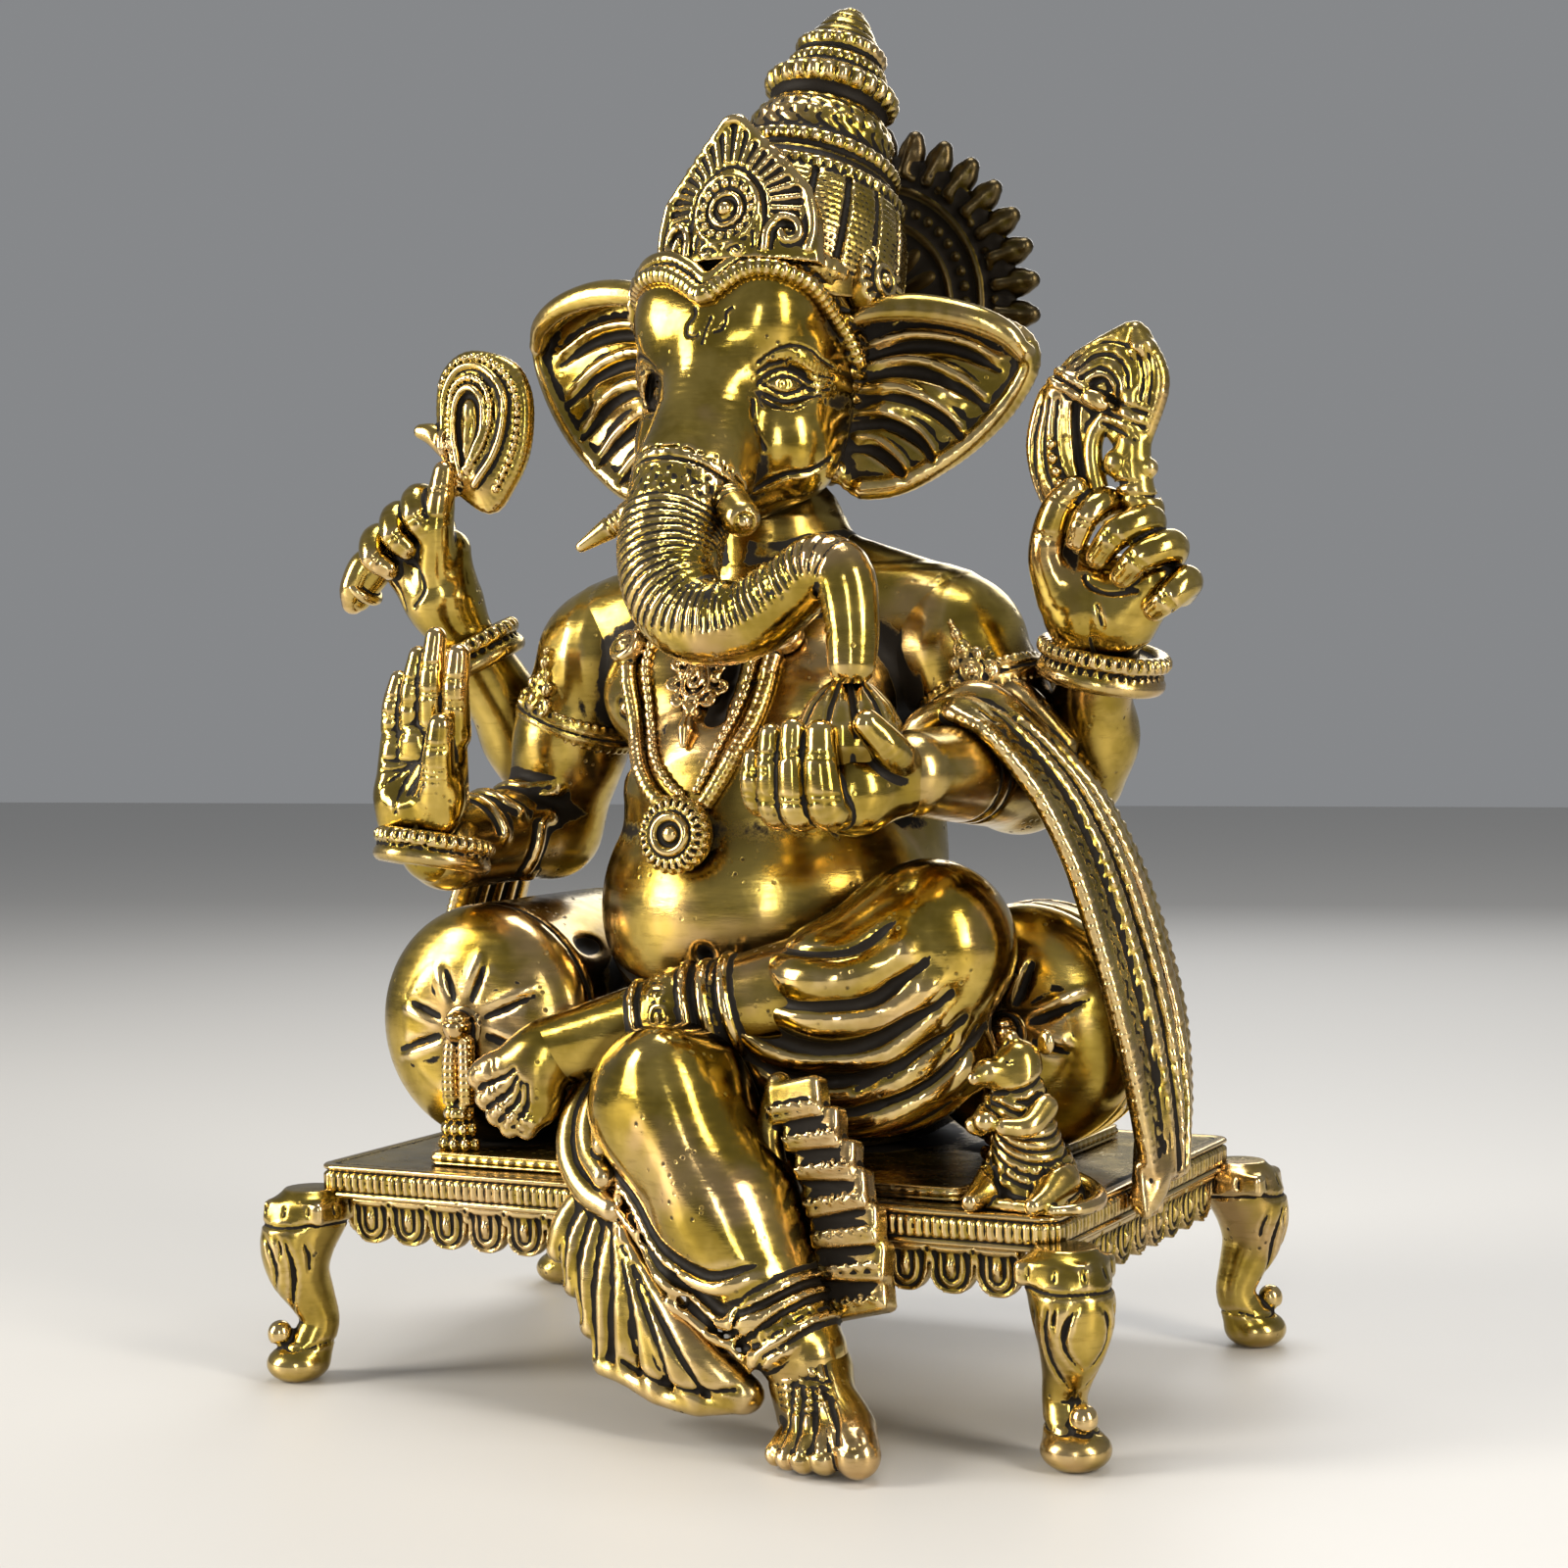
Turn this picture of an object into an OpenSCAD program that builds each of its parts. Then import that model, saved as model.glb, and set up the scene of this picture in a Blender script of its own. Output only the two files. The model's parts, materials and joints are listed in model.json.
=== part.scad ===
// Seated elephant-headed deity on a four-legged stool, a solid brass casting.
// The figure faces -Y, its own right side is at -X, and the stool stands on z = 0.
// The model is drawn about the middle of the stool, then moved so that the
// middle of the whole object's footprint is at the origin.

/* [Stool] */
// Width of the stool's top slab, along X
stool_w = 190; // [170:1:210]
// Depth of the stool's top slab, along Y
stool_d = 118; // [108:1:130]
// Height of the top of the slab above the table
stool_h = 52; // [46:1:58]
// Thickness of the top slab
slab_t = 8; // [6:0.5:10]
// Height of the aprons that hang under the slab
apron_h = 11; // [8:0.5:14]
// Radius of the flat sole under each foot
sole_r = 6; // [5:0.5:7]

/* [Bolsters] */
// Radius of the two bolsters
bolster_r = 29; // [26:0.5:31]
// How far forward of the stool's middle the right bolster's body reaches
bolster_front = 30; // [20:1:36]
// Length that the left bolster is shorter than the right one, at its front
bolster_setback = 33; // [25:1:38]

/* [Figure] */
// Half the distance between the two shoulder joints
shoulder_x = 46; // [42:0.5:50]
// Height of the shoulder joints
shoulder_z = 176; // [172:0.5:180]
// Half-width of the head
head_rx = 26; // [23:0.5:28]
// Height of the middle of the head
head_z = 237; // [233:0.5:241]
// Height of the top of the crown
crown_top = 330; // [322:1:336]
// Radius of the halo wheel behind the head
halo_r = 46; // [42:0.5:50]
// Thickness of the halo wheel
halo_t = 5; // [4:0.5:7]

/* [Hidden] */

// The footprint's middle is this far from the stool's middle
footprint_mid = [-3.5, -13.1, 0];
brass = [0.72, 0.55, 0.22];
brass_dark = [0.55, 0.41, 0.16];
brass_bright = [0.82, 0.66, 0.32];

slab_z = stool_h - slab_t;
leg_x = stool_w / 2 + 3;
leg_y = stool_d / 2 + 0.5;
apron_t = 5;
mat_w = 140;
mat_d = 100;
mat_t = 3;
seat_z = stool_h + mat_t;
bolster_x = stool_w / 2 - 31.5;
bolster_z = seat_z + bolster_r;
bolster_back_right = 24;
bolster_back_left = 15;
dome_h = 12;
facets = 12;
round_facets = 16;
fine_facets = 8;

ear_drop = 6.5;

// Joint points of the figure, chosen by hand about the middle of the stool
shoulder_y = 4;
elbow_front = [66, 4, 130];
wrist_front_right = [-69, -40, 126];
palm_right = [-71, -46, 146];
fingertips_right = [-66, -47, 176];
elbow_front_left = [64, 0, 143];
wrist_front_left = [60, -50, 145];
hand_left = [50, -64, 143];
elbow_rear = [72, 15, 143];
wrist_rear_right = [-84, -2, 174];
fist_right = [-93, -9, 197];
wrist_rear_left = [83, 1, 167];
fist_left = [94, -9, 187];
knee_crossed = [54, -30, 106];
hip_crossed = [24, 0, 84];
shin_top = [38, -44, 98];
ankle_crossed = [-30, -57, 81];
foot_crossed = [-33, -59, 75];
hip_hanging = [-18, -2, 76];
knee_hanging = [5, -62, 72];
ankle_hanging = [42, -72, 21];
heel_hanging = [43, -70, 8.5];
toes_hanging = [55, -87, 5.2];
crown_axis = [[2, 2, 262], [3, 7, 274], [4, 12, 287], [5, 16, 299], [6, 20, 311]];
crown_tip_y = 25;
bangle_r = 11.5;
bangle_w = 5;

// ---- building blocks ----

module place() {
    translate(-footprint_mid) children();
}

module ball(p, r, n = facets) {
    translate(p) sphere(r, $fn = n);
}

// A tapered round bar with ball ends
module limb(a, ra, b, rb, n = facets) {
    hull() {
        ball(a, ra, n);
        ball(b, rb, n);
    }
}

// A run of tapered bars through points, with a radius at each
module chain(points, radii, n = facets) {
    for (i = [0 : len(points) - 2])
        limb(points[i], radii[i], points[i + 1], radii[i + 1], n);
}

// An ellipsoid with half-axes size, turned by turn
module egg(p, size, turn = [0, 0, 0], n = round_facets) {
    hull() translate(p) rotate(turn) scale(size) sphere(1, $fn = n);
}

// A disc of radius r centred on a, w thick along the direction from a to b,
// drawn out by ahead past its b side
module band(a, b, r, w, ahead = 0) {
    d = b - a;
    tilt = acos(d[2] / norm(d));
    translate(a) rotate([0, tilt, atan2(d[1], d[0])])
        translate([0, 0, -w / 2]) cylinder(h = w + ahead, r = r, $fn = 24);
}

function mirrored(p, side) = [side * p[0], p[1], p[2]];
function midway(a, b, k) = a + (b - a) * k;

// ---- stool ----

module slab_outline(grow = 0) {
    corner = 5 + grow;
    for (sx = [-1, 1])
        for (sy = [-1, 1])
            translate([sx * (stool_w / 2 - 5), sy * (stool_d / 2 - 5)])
                circle(corner, $fn = 32);
    square([stool_w + 2 * grow, stool_d - 10], center = true);
    square([stool_w - 10, stool_d + 2 * grow], center = true);
}

module stool_slab() {
    moulding_t = 5.5;
    color(brass) place() {
        translate([0, 0, slab_z]) linear_extrude(slab_t) slab_outline(-1);
        translate([0, 0, slab_z + 1]) linear_extrude(moulding_t) slab_outline(0);
    }
}

// An apron plate of a given length, with a row of rounded petals on its lower edge
module apron(length, petals) {
    pitch = length / petals;
    rotate([90, 0, 0]) linear_extrude(apron_t, center = true) {
        translate([-length / 2, -apron_h + pitch / 2]) square([length, apron_h - pitch / 2]);
        for (i = [0 : petals - 1])
            translate([-length / 2 + (i + 0.5) * pitch, -apron_h + pitch / 2])
                circle(pitch / 2, $fn = 32);
    }
}

front_apron_len = stool_w - 18;
side_apron_len = stool_d - 18;

module apron_front() {
    color(brass_dark) place() translate([0, -stool_d / 2 + 4, slab_z]) apron(front_apron_len, 16);
}

module apron_back() {
    color(brass_dark) place() translate([0, stool_d / 2 - 4, slab_z]) apron(front_apron_len, 16);
}

module side_apron(side) {
    color(brass_dark) place() translate([side * (stool_w / 2 - 4), 0, slab_z])
        rotate([0, 0, 90]) apron(side_apron_len, 9);
}

module apron_right() side_apron(-1);
module apron_left() side_apron(1);

// A cabriole leg: a knee block under the slab's corner, a waist, and a ball foot
module leg(sx, sy) {
    knee = [sx * (leg_x - 1), sy * (leg_y - 1), slab_z - 9];
    waist = [sx * (leg_x - 1), sy * (leg_y - 1), 14];
    foot = [sx * (leg_x + 1), sy * (leg_y + 1), 7.5];
    color(brass) place() difference() {
        union() {
            hull() {
                ball(knee, 9);
                translate([knee[0], knee[1], slab_z - 3]) cylinder(h = 3, r = 8.5, $fn = facets);
            }
            limb(knee, 8, waist, 4.6);
            limb(waist, 4.6, foot, 6.5);
            translate([foot[0], foot[1], 0]) cylinder(h = 6, r = sole_r, $fn = 32);
        }
        translate([sx * leg_x, sy * leg_y, slab_z + 10]) cube([40, 40, 20], center = true);
        // room for the ends of the two aprons
        translate([0, 0, slab_z - 10])
            cube([front_apron_len + 0.2, stool_d - 1.8, 22], center = true);
        translate([0, 0, slab_z - 10])
            cube([stool_w - 1.8, side_apron_len + 0.2, 22], center = true);
    }
}

module leg_front_right() leg(-1, -1);
module leg_front_left() leg(1, -1);
module leg_back_right() leg(-1, 1);
module leg_back_left() leg(1, 1);

module seat_mat() {
    color(brass_dark) place() translate([0, 0, stool_h]) linear_extrude(mat_t)
        square([mat_w, mat_d], center = true);
}

// ---- bolsters ----

// Outline of a bolster from its axis outwards, with a domed end at each side
function bolster_outline(length) = concat(
    [for (t = [0 : 10 : 90]) [bolster_r * pow(sin(t), 0.7), -dome_h * cos(t)]],
    [for (t = [90 : -10 : 0]) [bolster_r * pow(sin(t), 0.7), length + dome_h * cos(t)]]
);

// A bolster lying along Y, its body reaching back from front
module bolster_shape(side, front) {
    back = side < 0 ? bolster_back_right : bolster_back_left;
    translate([side * bolster_x, back, bolster_z]) rotate([90, 0, 0])
        rotate_extrude($fn = 48) polygon(bolster_outline(back - front));
}

module bolster_right() {
    color(brass) place() bolster_shape(-1, -bolster_front);
}

module bolster_left() {
    color(brass) place() bolster_shape(1, -bolster_front + bolster_setback);
}

// A button on the bolster's end, with a beaded tassel hanging from it
module tassel(side, y) {
    drop = [bolster_z, bolster_z - 8, bolster_z - 16, bolster_z - 24];
    x = side * bolster_x;
    color(brass_bright) place() difference() {
        union() {
            translate([x, y + 1, bolster_z]) rotate([90, 0, 0]) cylinder(h = 5, r = 5, $fn = 32);
            for (i = [0 : 2])
                limb([x, y - 4, drop[i]], 3.2 - 0.2 * i, [x, y - 3, drop[i + 1]], 3.6);
        }
        bolster_shape(side, y + dome_h);
        under_seat();
    }
}

module tassel_right() tassel(-1, -bolster_front - dome_h);
module tassel_left() tassel(1, -bolster_front + bolster_setback - dome_h);

// ---- body ----

module torso_shape() {
    egg([2, -6, 112], [41, 39, 37]);
    egg([1, 2, 150], [36, 28, 30]);
    egg([0, 2, 172], [42, 22, 22]);
    egg([-17, -14, 163], [19, 14, 15]);
    egg([19, -14, 163], [19, 14, 15]);
    egg([0, 12, 130], [38, 26, 50]);
    for (side = [-1, 1])
        limb([side * 22, 4, 186], 13, [side * shoulder_x, shoulder_y, shoulder_z], 15);
    limb([0, 4, 180], 22, [0, 2, 200], 18);
}

module hips_shape() {
    egg([0, 10, 78], [50, 46, 30]);
    limb([-30, 16, 76], 17, [30, 16, 76], 17);
}

module under_seat() {
    translate([0, 0, seat_z / 2]) cube([300, 300, seat_z], center = true);
}

module both_bolsters() {
    bolster_shape(-1, -bolster_front);
    bolster_shape(1, -bolster_front + bolster_setback);
}

module torso() {
    color(brass) place() difference() {
        torso_shape();
        both_bolsters();
        under_seat();
    }
}

module hips() {
    color(brass_dark) place() difference() {
        hips_shape();
        torso_shape();
        both_bolsters();
        under_seat();
    }
}

module hanging_leg_shape() {
    calf = midway(knee_hanging, ankle_hanging, 0.45);
    limb(hip_hanging, 19, knee_hanging, 17.5);
    limb(knee_hanging, 17.5, calf, 16);
    limb(calf, 16, ankle_hanging, 8.5);
}

module stool_front_block() {
    translate([0, 0, stool_h / 2]) cube([stool_w + 30, stool_d + 0.4, stool_h + 0.1], center = true);
}

module seat_block() {
    translate([0, 0, seat_z / 2]) cube([mat_w, mat_d, seat_z], center = true);
}

module hanging_leg() {
    color(brass_bright) place() difference() {
        hanging_leg_shape();
        hips_shape();
        torso_shape();
        seat_block();
        stool_front_block();
        both_bolsters();
    }
}

module hanging_foot() {
    toe_spread = 4.4;
    color(brass) place() difference() {
        union() {
            limb(ankle_hanging - [0, 0, 3], 7, heel_hanging, 7.6);
            hull() {
                ball(heel_hanging, 7.6);
                ball(toes_hanging + [-5, 2, 0.6], 5);
                ball(toes_hanging + [5, 1, 0.6], 5);
            }
            for (i = [-2 : 2])
                limb(toes_hanging + [i * toe_spread, 0.6 * abs(i), 0], 3.2 - 0.1 * i,
                     toes_hanging + [i * toe_spread + 0.8, -3.6 + 1.2 * abs(i), -0.8],
                     3 - 0.1 * i, fine_facets);
        }
        hanging_leg_shape();
        translate([0, -75, -9.2]) cube([200, 100, 20], center = true);
    }
}

module hem_fan() {
    color(brass_dark) place() difference() {
        union() {
            hull() {
                ball([-14, -67, 48], 6);
                ball([-8, -70, 32], 6);
                ball([8, -70, 44], 6);
            }
            hull() {
                ball([-8, -70, 32], 6);
                ball([16, -78, 17], 5);
                ball([8, -70, 44], 6);
                ball([34, -76, 24], 6);
            }
        }
        hanging_leg_shape();
        stool_front_block();
        seat_block();
        hanging_foot_space();
    }
}

module hanging_foot_space() {
    limb(ankle_hanging - [0, 0, 3], 7.2, heel_hanging, 7.8);
    limb(heel_hanging, 7.8, toes_hanging, 8);
}

module waist_sash() {
    color(brass_dark) place() difference() {
        hull() {
            translate([28, -67, 70]) cube([20, 8, 4]);
            translate([40, -66, 31]) cube([22, 6, 4]);
        }
        hanging_leg_shape();
        stool_front_block();
        crossed_thigh_shape();
        hanging_foot_space();
        hips_shape();
    }
}

module crossed_thigh_shape() {
    limb(hip_crossed, 24, knee_crossed, 17);
    hull() {
        ball(knee_crossed, 16);
        ball(shin_top, 15);
        ball([48, -34, 84], 14);
        ball([24, -40, 86], 14);
        ball([8, -46, 90], 11);
    }
}

module crossed_thigh() {
    color(brass_bright) place() difference() {
        crossed_thigh_shape();
        torso_shape();
        hips_shape();
        hanging_leg_shape();
        both_bolsters();
        under_seat();
    }
}

module crossed_shin_shape() {
    limb(shin_top, 13, midway(shin_top, ankle_crossed, 0.5), 11);
    limb(midway(shin_top, ankle_crossed, 0.5), 11, ankle_crossed, 7.5);
}

module crossed_shin() {
    color(brass_bright) place() difference() {
        crossed_shin_shape();
        crossed_thigh_shape();
        torso_shape();
        hips_shape();
        hanging_leg_shape();
        both_bolsters();
    }
}

module crossed_foot() {
    color(brass) place() difference() {
        union() {
            limb(ankle_crossed, 9, foot_crossed + [4, 0, 0], 10);
            for (i = [0 : 4])
                limb(foot_crossed + [2, 0, 0], 6,
                     foot_crossed + [-11 + 3 * i, -2, 3 - 3.2 * i], 3, fine_facets);
        }
        crossed_shin_shape();
        hanging_leg_shape();
        hips_shape();
        both_bolsters();
        tassel_space();
    }
}

module tassel_space() {
    translate([-bolster_x, -bolster_front - 10, bolster_z - 14]) cube([9, 20, 42], center = true);
}

// ---- head ----

module head_shape() {
    egg([0, -4, head_z], [head_rx, 27, 31]);
    egg([0, -14, head_z + 6], [23, 22, 24]);
    egg([0, -16, head_z - 14], [20, 18, 20]);
    for (side = [-1, 1]) {
        egg([side * 11, -20, head_z + 14], [13, 13, 14]);
        egg([side * 15, -16, head_z - 16], [10, 14, 13]);
    }
    limb([0, -28, head_z - 6], 13, [0, -34, head_z - 20], 12.5);
}

module head() {
    color(brass_bright) place() difference() {
        head_shape();
        torso_shape();
    }
}

trunk_path = [
    [0, -33, 219], [-1, -42, 207], [0, -49, 195], [4, -54, 184], [12, -56, 178],
    [24, -57, 179], [35, -59, 185], [44, -61, 190], [50, -62, 186], [52, -63, 176], [52, -64, 168]
];
trunk_radii = [13, 12.6, 12.2, 11.4, 10.4, 9.4, 8.4, 7.2, 6.6, 6, 5.2];

module trunk_shape() {
    chain(trunk_path, trunk_radii);
}

module trunk() {
    color(brass_bright) place() difference() {
        trunk_shape();
        head_shape();
        torso_shape();
    }
}

module tusk_right() {
    color(brass) place() difference() {
        limb([-8, -38, 208], 5, [-27, -43, 197], 1.5);
        head_shape();
        trunk_shape();
    }
}

module tusk_left() {
    color(brass) place() difference() {
        limb([8, -38, 208], 5, [17, -47, 202], 4);
        head_shape();
        trunk_shape();
    }
}

// The ear on the +X side hangs a little lower
module ear_shape(side) {
    translate([0, 0, side > 0 ? -ear_drop : 0]) hull() {
        ball([side * 20, -2, 256], 4, fine_facets);
        ball([side * 44, 2, 262], 3, fine_facets);
        ball([side * 62, 5, 257], 3, fine_facets);
        ball([side * 65, 5, 246], 2.5, fine_facets);
        ball([side * 56, 2, 226], 2.5, fine_facets);
        ball([side * 38, -2, 211], 3, fine_facets);
        ball([side * 22, -4, 214], 4, fine_facets);
    }
}

module ear(side) {
    color(brass) place() difference() {
        ear_shape(side);
        head_shape();
        torso_shape();
        halo_shape();
        rosette_shape(side);
    }
}

module ear_right() ear(-1);
module ear_left() ear(1);

module crown_shape() {
    radii = [25, 25, 20, 14.5, 9];
    chain(crown_axis, radii, 16);
    limb(crown_axis[4], 7, [7, crown_tip_y, crown_top - 2.2], 2.2, 16);
    // the ledge under each tier
    for (i = [1 : 4])
        band(crown_axis[i], crown_axis[i] + [0.8, 3.2, 12], radii[i] + 1.6, 4);
}

module crown() {
    color(brass) place() difference() {
        crown_shape();
        head_shape();
        ear_shape(-1);
        ear_shape(1);
        halo_shape();
    }
}

module headband_shape() {
    translate([0, -4, 258]) rotate([-16, 0, 0]) rotate_extrude($fn = 28)
        translate([25.5, 0]) circle(4, $fn = 8);
}

module headband() {
    color(brass_bright) place() difference() {
        headband_shape();
        head_shape();
        crown_shape();
        ear_shape(-1);
        ear_shape(1);
        halo_shape();
    }
}

module crown_plaque() {
    color(brass_bright) place() difference() {
        hull() {
            translate([-15, -28, 264]) rotate([-12, 0, 0]) cube([40, 5, 6]);
            translate([-12, -26, 278]) rotate([-12, 0, 0]) cube([34, 4, 5]);
            translate([5, -17, 296]) rotate([100, 0, 0]) cylinder(h = 3, r = 4, $fn = facets);
        }
        crown_shape();
        head_shape();
        headband_shape();
    }
}

module rosette_shape(side) {
    translate([side * 27, -2, 258]) rotate([0, side * 82, 0]) cylinder(h = 7, r = 9, $fn = 32);
}

module rosette(side) {
    color(brass) place() difference() {
        rosette_shape(side);
        crown_shape();
        headband_shape();
        head_shape();
    }
}

module rosette_right() rosette(-1);
module rosette_left() rosette(1);

module halo_shape() {
    translate([8, 42 + halo_t, 259]) rotate([90, 0, 0]) cylinder(h = halo_t, r = halo_r, $fn = 64);
}

module halo() {
    color(brass_dark) place() {
        halo_shape();
        // short stay from the back of the crown to the wheel
        difference() {
            limb([5, 26, 262], 8, [8, 40, 262], 8);
            crown_shape();
            head_shape();
            translate([8, 42 + 20, 259]) cube([60, 40, 60], center = true);
        }
    }
}

// ---- arms ----

module front_arm_right_shape() {
    elbow = mirrored(elbow_front, -1);
    limb([-shoulder_x - 4, shoulder_y - 2, shoulder_z - 4], 15, elbow, 12.5);
    limb(elbow, 12.5, wrist_front_right, 9.5);
}

module front_arm_right() {
    color(brass) place() difference() {
        front_arm_right_shape();
        torso_shape();
        both_bolsters();
        bracelet_front_right_shape();
    }
}

// Four straight fingers side by side, from a palm's top edge
module straight_fingers(base, tip, spread, r) {
    for (i = [-1.5 : 1 : 1.5])
        limb(base + i * spread, r, tip + i * spread * 0.9 - [0, 0, 2 * abs(i)], r * 0.85, fine_facets);
}

module front_hand_right() {
    spread = [5.2, 0.6, -0.4];
    color(brass_bright) place() difference() {
        union() {
            hull() {
                ball(wrist_front_right + [0, -2, 4], 7);
                ball(palm_right + [-6, 0, 8], 5);
                ball(palm_right + [7, 0, 6], 5);
            }
            straight_fingers(palm_right + [0, 0, 9], fingertips_right, spread, 3.1);
            limb(palm_right + [8, -1, 0], 4, palm_right + [13, -3, 14], 3, fine_facets);
        }
        front_arm_right_shape();
        bracelet_front_right_shape();
    }
}

module bracelet_front_right_shape() {
    translate(wrist_front_right + [0, -4, 0]) rotate([8, 0, 0])
        translate([0, 0, -2.5]) cylinder(h = 5, r = 13, $fn = 32);
}

module bracelet_front_right() {
    color(brass_dark) place() bracelet_front_right_shape();
}

module front_arm_left_shape() {
    limb([shoulder_x + 4, shoulder_y - 2, shoulder_z - 4], 15, elbow_front_left, 13);
    limb(elbow_front_left, 13, wrist_front_left, 9);
}

module front_arm_left() {
    color(brass) place() difference() {
        front_arm_left_shape();
        torso_shape();
        trunk_shape();
        crossed_thigh_shape();
    }
}

module sweet_shape() {
    limb([49, -60, 155], 10.5, [49, -61, 164], 3, 20);
}

module sweet() {
    color(brass_bright) place() difference() {
        sweet_shape();
        trunk_shape();
        front_arm_left_shape();
        torso_shape();
    }
}

module front_hand_left() {
    color(brass_bright) place() difference() {
        union() {
            limb(wrist_front_left, 8.5, hand_left, 9);
            for (i = [0 : 3])
                chain([hand_left + [-9 + 5 * i, -2 - i, -2],
                       hand_left + [-11 + 5 * i, -9 - i, 2],
                       hand_left + [-11 + 5 * i, -9 - i, 9 + i]],
                      [4, 3.2, 2.6], fine_facets);
            limb(wrist_front_left + [2, -6, 4], 5, wrist_front_left + [0, -14, 10], 3.4, fine_facets);
        }
        front_arm_left_shape();
        sweet_shape();
        trunk_shape();
        crossed_thigh_shape();
    }
}

module rear_arm_shape(side, wrist) {
    elbow = mirrored(elbow_rear, side);
    limb([side * (shoulder_x - 2), shoulder_y + 10, shoulder_z - 4], 14, elbow, 11);
    limb(elbow, 11, wrist, 8);
}

module front_arm_shape(side) {
    if (side < 0)
        front_arm_right_shape();
    else
        front_arm_left_shape();
}

module rear_arm(side, wrist, fist) {
    color(brass) place() difference() {
        rear_arm_shape(side, wrist);
        front_arm_shape(side);
        torso_shape();
        both_bolsters();
        band(wrist, fist, bangle_r, bangle_w, fine_facets);
    }
}

module rear_arm_right() rear_arm(-1, wrist_rear_right, fist_right);
module rear_arm_left() rear_arm(1, wrist_rear_left, fist_left);

// A closed fist: a palm, four curled fingers and a thumb
module fist(side, wrist, centre) {
    limb(wrist, 7, centre, 10);
    for (i = [0 : 3])
        chain([centre + [side * (4 + 1 * i), -4, 9 - 6 * i],
               centre + [side * (8 + 1 * i), -10, 8 - 6 * i],
               centre + [side * (1 + 1 * i), -13, 7 - 6 * i]],
              [4.2, 3.6, 3], fine_facets);
    limb(centre + [-side * 5, -4, 0], 5, centre + [-side * 3, -7, 17], 3, fine_facets);
}

module rear_hand(side, wrist, centre) {
    color(brass_bright) place() difference() {
        fist(side, wrist, centre);
        rear_arm_shape(side, wrist);
        band(wrist, centre, bangle_r, bangle_w);
    }
}

module rear_hand_right() rear_hand(-1, wrist_rear_right, fist_right);
module rear_hand_left() rear_hand(1, wrist_rear_left, fist_left);

module bracelet_rear_right() {
    color(brass_dark) place() band(wrist_rear_right, fist_right, bangle_r, bangle_w);
}

module bracelet_rear_left() {
    color(brass_dark) place() band(wrist_rear_left, fist_left, bangle_r, bangle_w);
}

module armlet(side) {
    start = [side * (shoulder_x + 4), shoulder_y - 2, shoulder_z - 4];
    end = side < 0 ? mirrored(elbow_front, -1) : elbow_front_left;
    at = midway(start, end, 0.36);
    color(brass_dark) place() difference() {
        band(at, end, 17, 6);
        front_arm_shape(side);
        rear_arm_shape(side, side < 0 ? wrist_rear_right : wrist_rear_left);
        torso_shape();
        both_bolsters();
    }
}

module armlet_right() armlet(-1);
module armlet_left() armlet(1);

// ---- what the hands hold ----

module axe() {
    color(brass) place() difference() {
        union() {
            limb([-112, -14, 190], 3.6, [-84, -12, 216], 3.4, fine_facets);
            hull() {
                egg([-77, -11, 232], [11, 3, 15], [0, 12, 0]);
                egg([-82, -11, 218], [4, 3, 4]);
            }
            limb([-84, -11, 218], 3, [-89, -11, 219], 1.2, fine_facets);
        }
        fist(-1, wrist_rear_right, fist_right);
    }
}

module noose() {
    color(brass) place() difference() {
        union() {
            hull() {
                egg([80, -10, 216], [8, 3.5, 14], [0, 8, 0]);
                egg([90, -10, 232], [13, 3.5, 9], [0, -20, 0]);
            }
            limb([99, -10, 230], 4, [98, -10, 239], 1.4, fine_facets);
            limb([96, -10, 224], 5, [98, -10, 210], 4, fine_facets);
        }
        fist(1, wrist_rear_left, fist_left);
    }
}

// ---- trim ----

// Half of the chain, from the neck over the breast to the pendant
function chain_side(side) = [
    [side * 22, -19, 190], [side * 26, -27, 176], [side * 24, -31, 160],
    [side * 19, -36, 148], [side * 9, -43, 139]
];

module necklace() {
    color(brass_dark) place() difference() {
        union()
            for (side = [-1, 1])
                chain(chain_side(side), [3, 3, 3, 3, 3], fine_facets);
        torso_shape();
        trunk_shape();
        head_shape();
        pendant_space();
    }
}

module pendant_space() {
    translate([-2, -52, 131]) rotate([-68, 0, 0]) cylinder(h = 14, r = 11, $fn = 32, center = true);
}

module pendant() {
    color(brass) place() difference() {
        union() {
            translate([-2, -44.5, 131]) rotate([-78, 0, 0])
                cylinder(h = 6, r = 11, $fn = 32, center = true);
            egg([1, -30, 165], [9, 5, 12]);
        }
        torso_shape();
        trunk_shape();
    }
}

// ---- shawl ----

// One stretch of cloth between two rungs, each a bar from front to back
module cloth(a, wa, b, wb, r) {
    hull() {
        ball(a - [0, wa, 0], r, fine_facets);
        ball(a + [0, wa, 0], r, fine_facets);
        ball(b - [0, wb, 0], r, fine_facets);
        ball(b + [0, wb, 0], r, fine_facets);
    }
}

module shawl_left() {
    rungs = [[62, -22, 158], [74, -16, 146], [83, -10, 128], [89, -6, 108],
             [94, -3, 88], [96.5, -4, 68], [97.5, -6, 50]];
    widths = [13, 15, 16, 17, 17, 13, 8];
    color(brass_dark) place() difference() {
        union()
            for (i = [0 : len(rungs) - 2])
                cloth(rungs[i], widths[i], rungs[i + 1], widths[i + 1], 4);
        front_arm_left_shape();
        rear_arm_shape(1, wrist_rear_left);
        torso_shape();
        both_bolsters();
        crossed_thigh_shape();
        translate([0, 0, stool_h / 2]) cube([stool_w + 0.4, 300, stool_h], center = true);
    }
}

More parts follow.
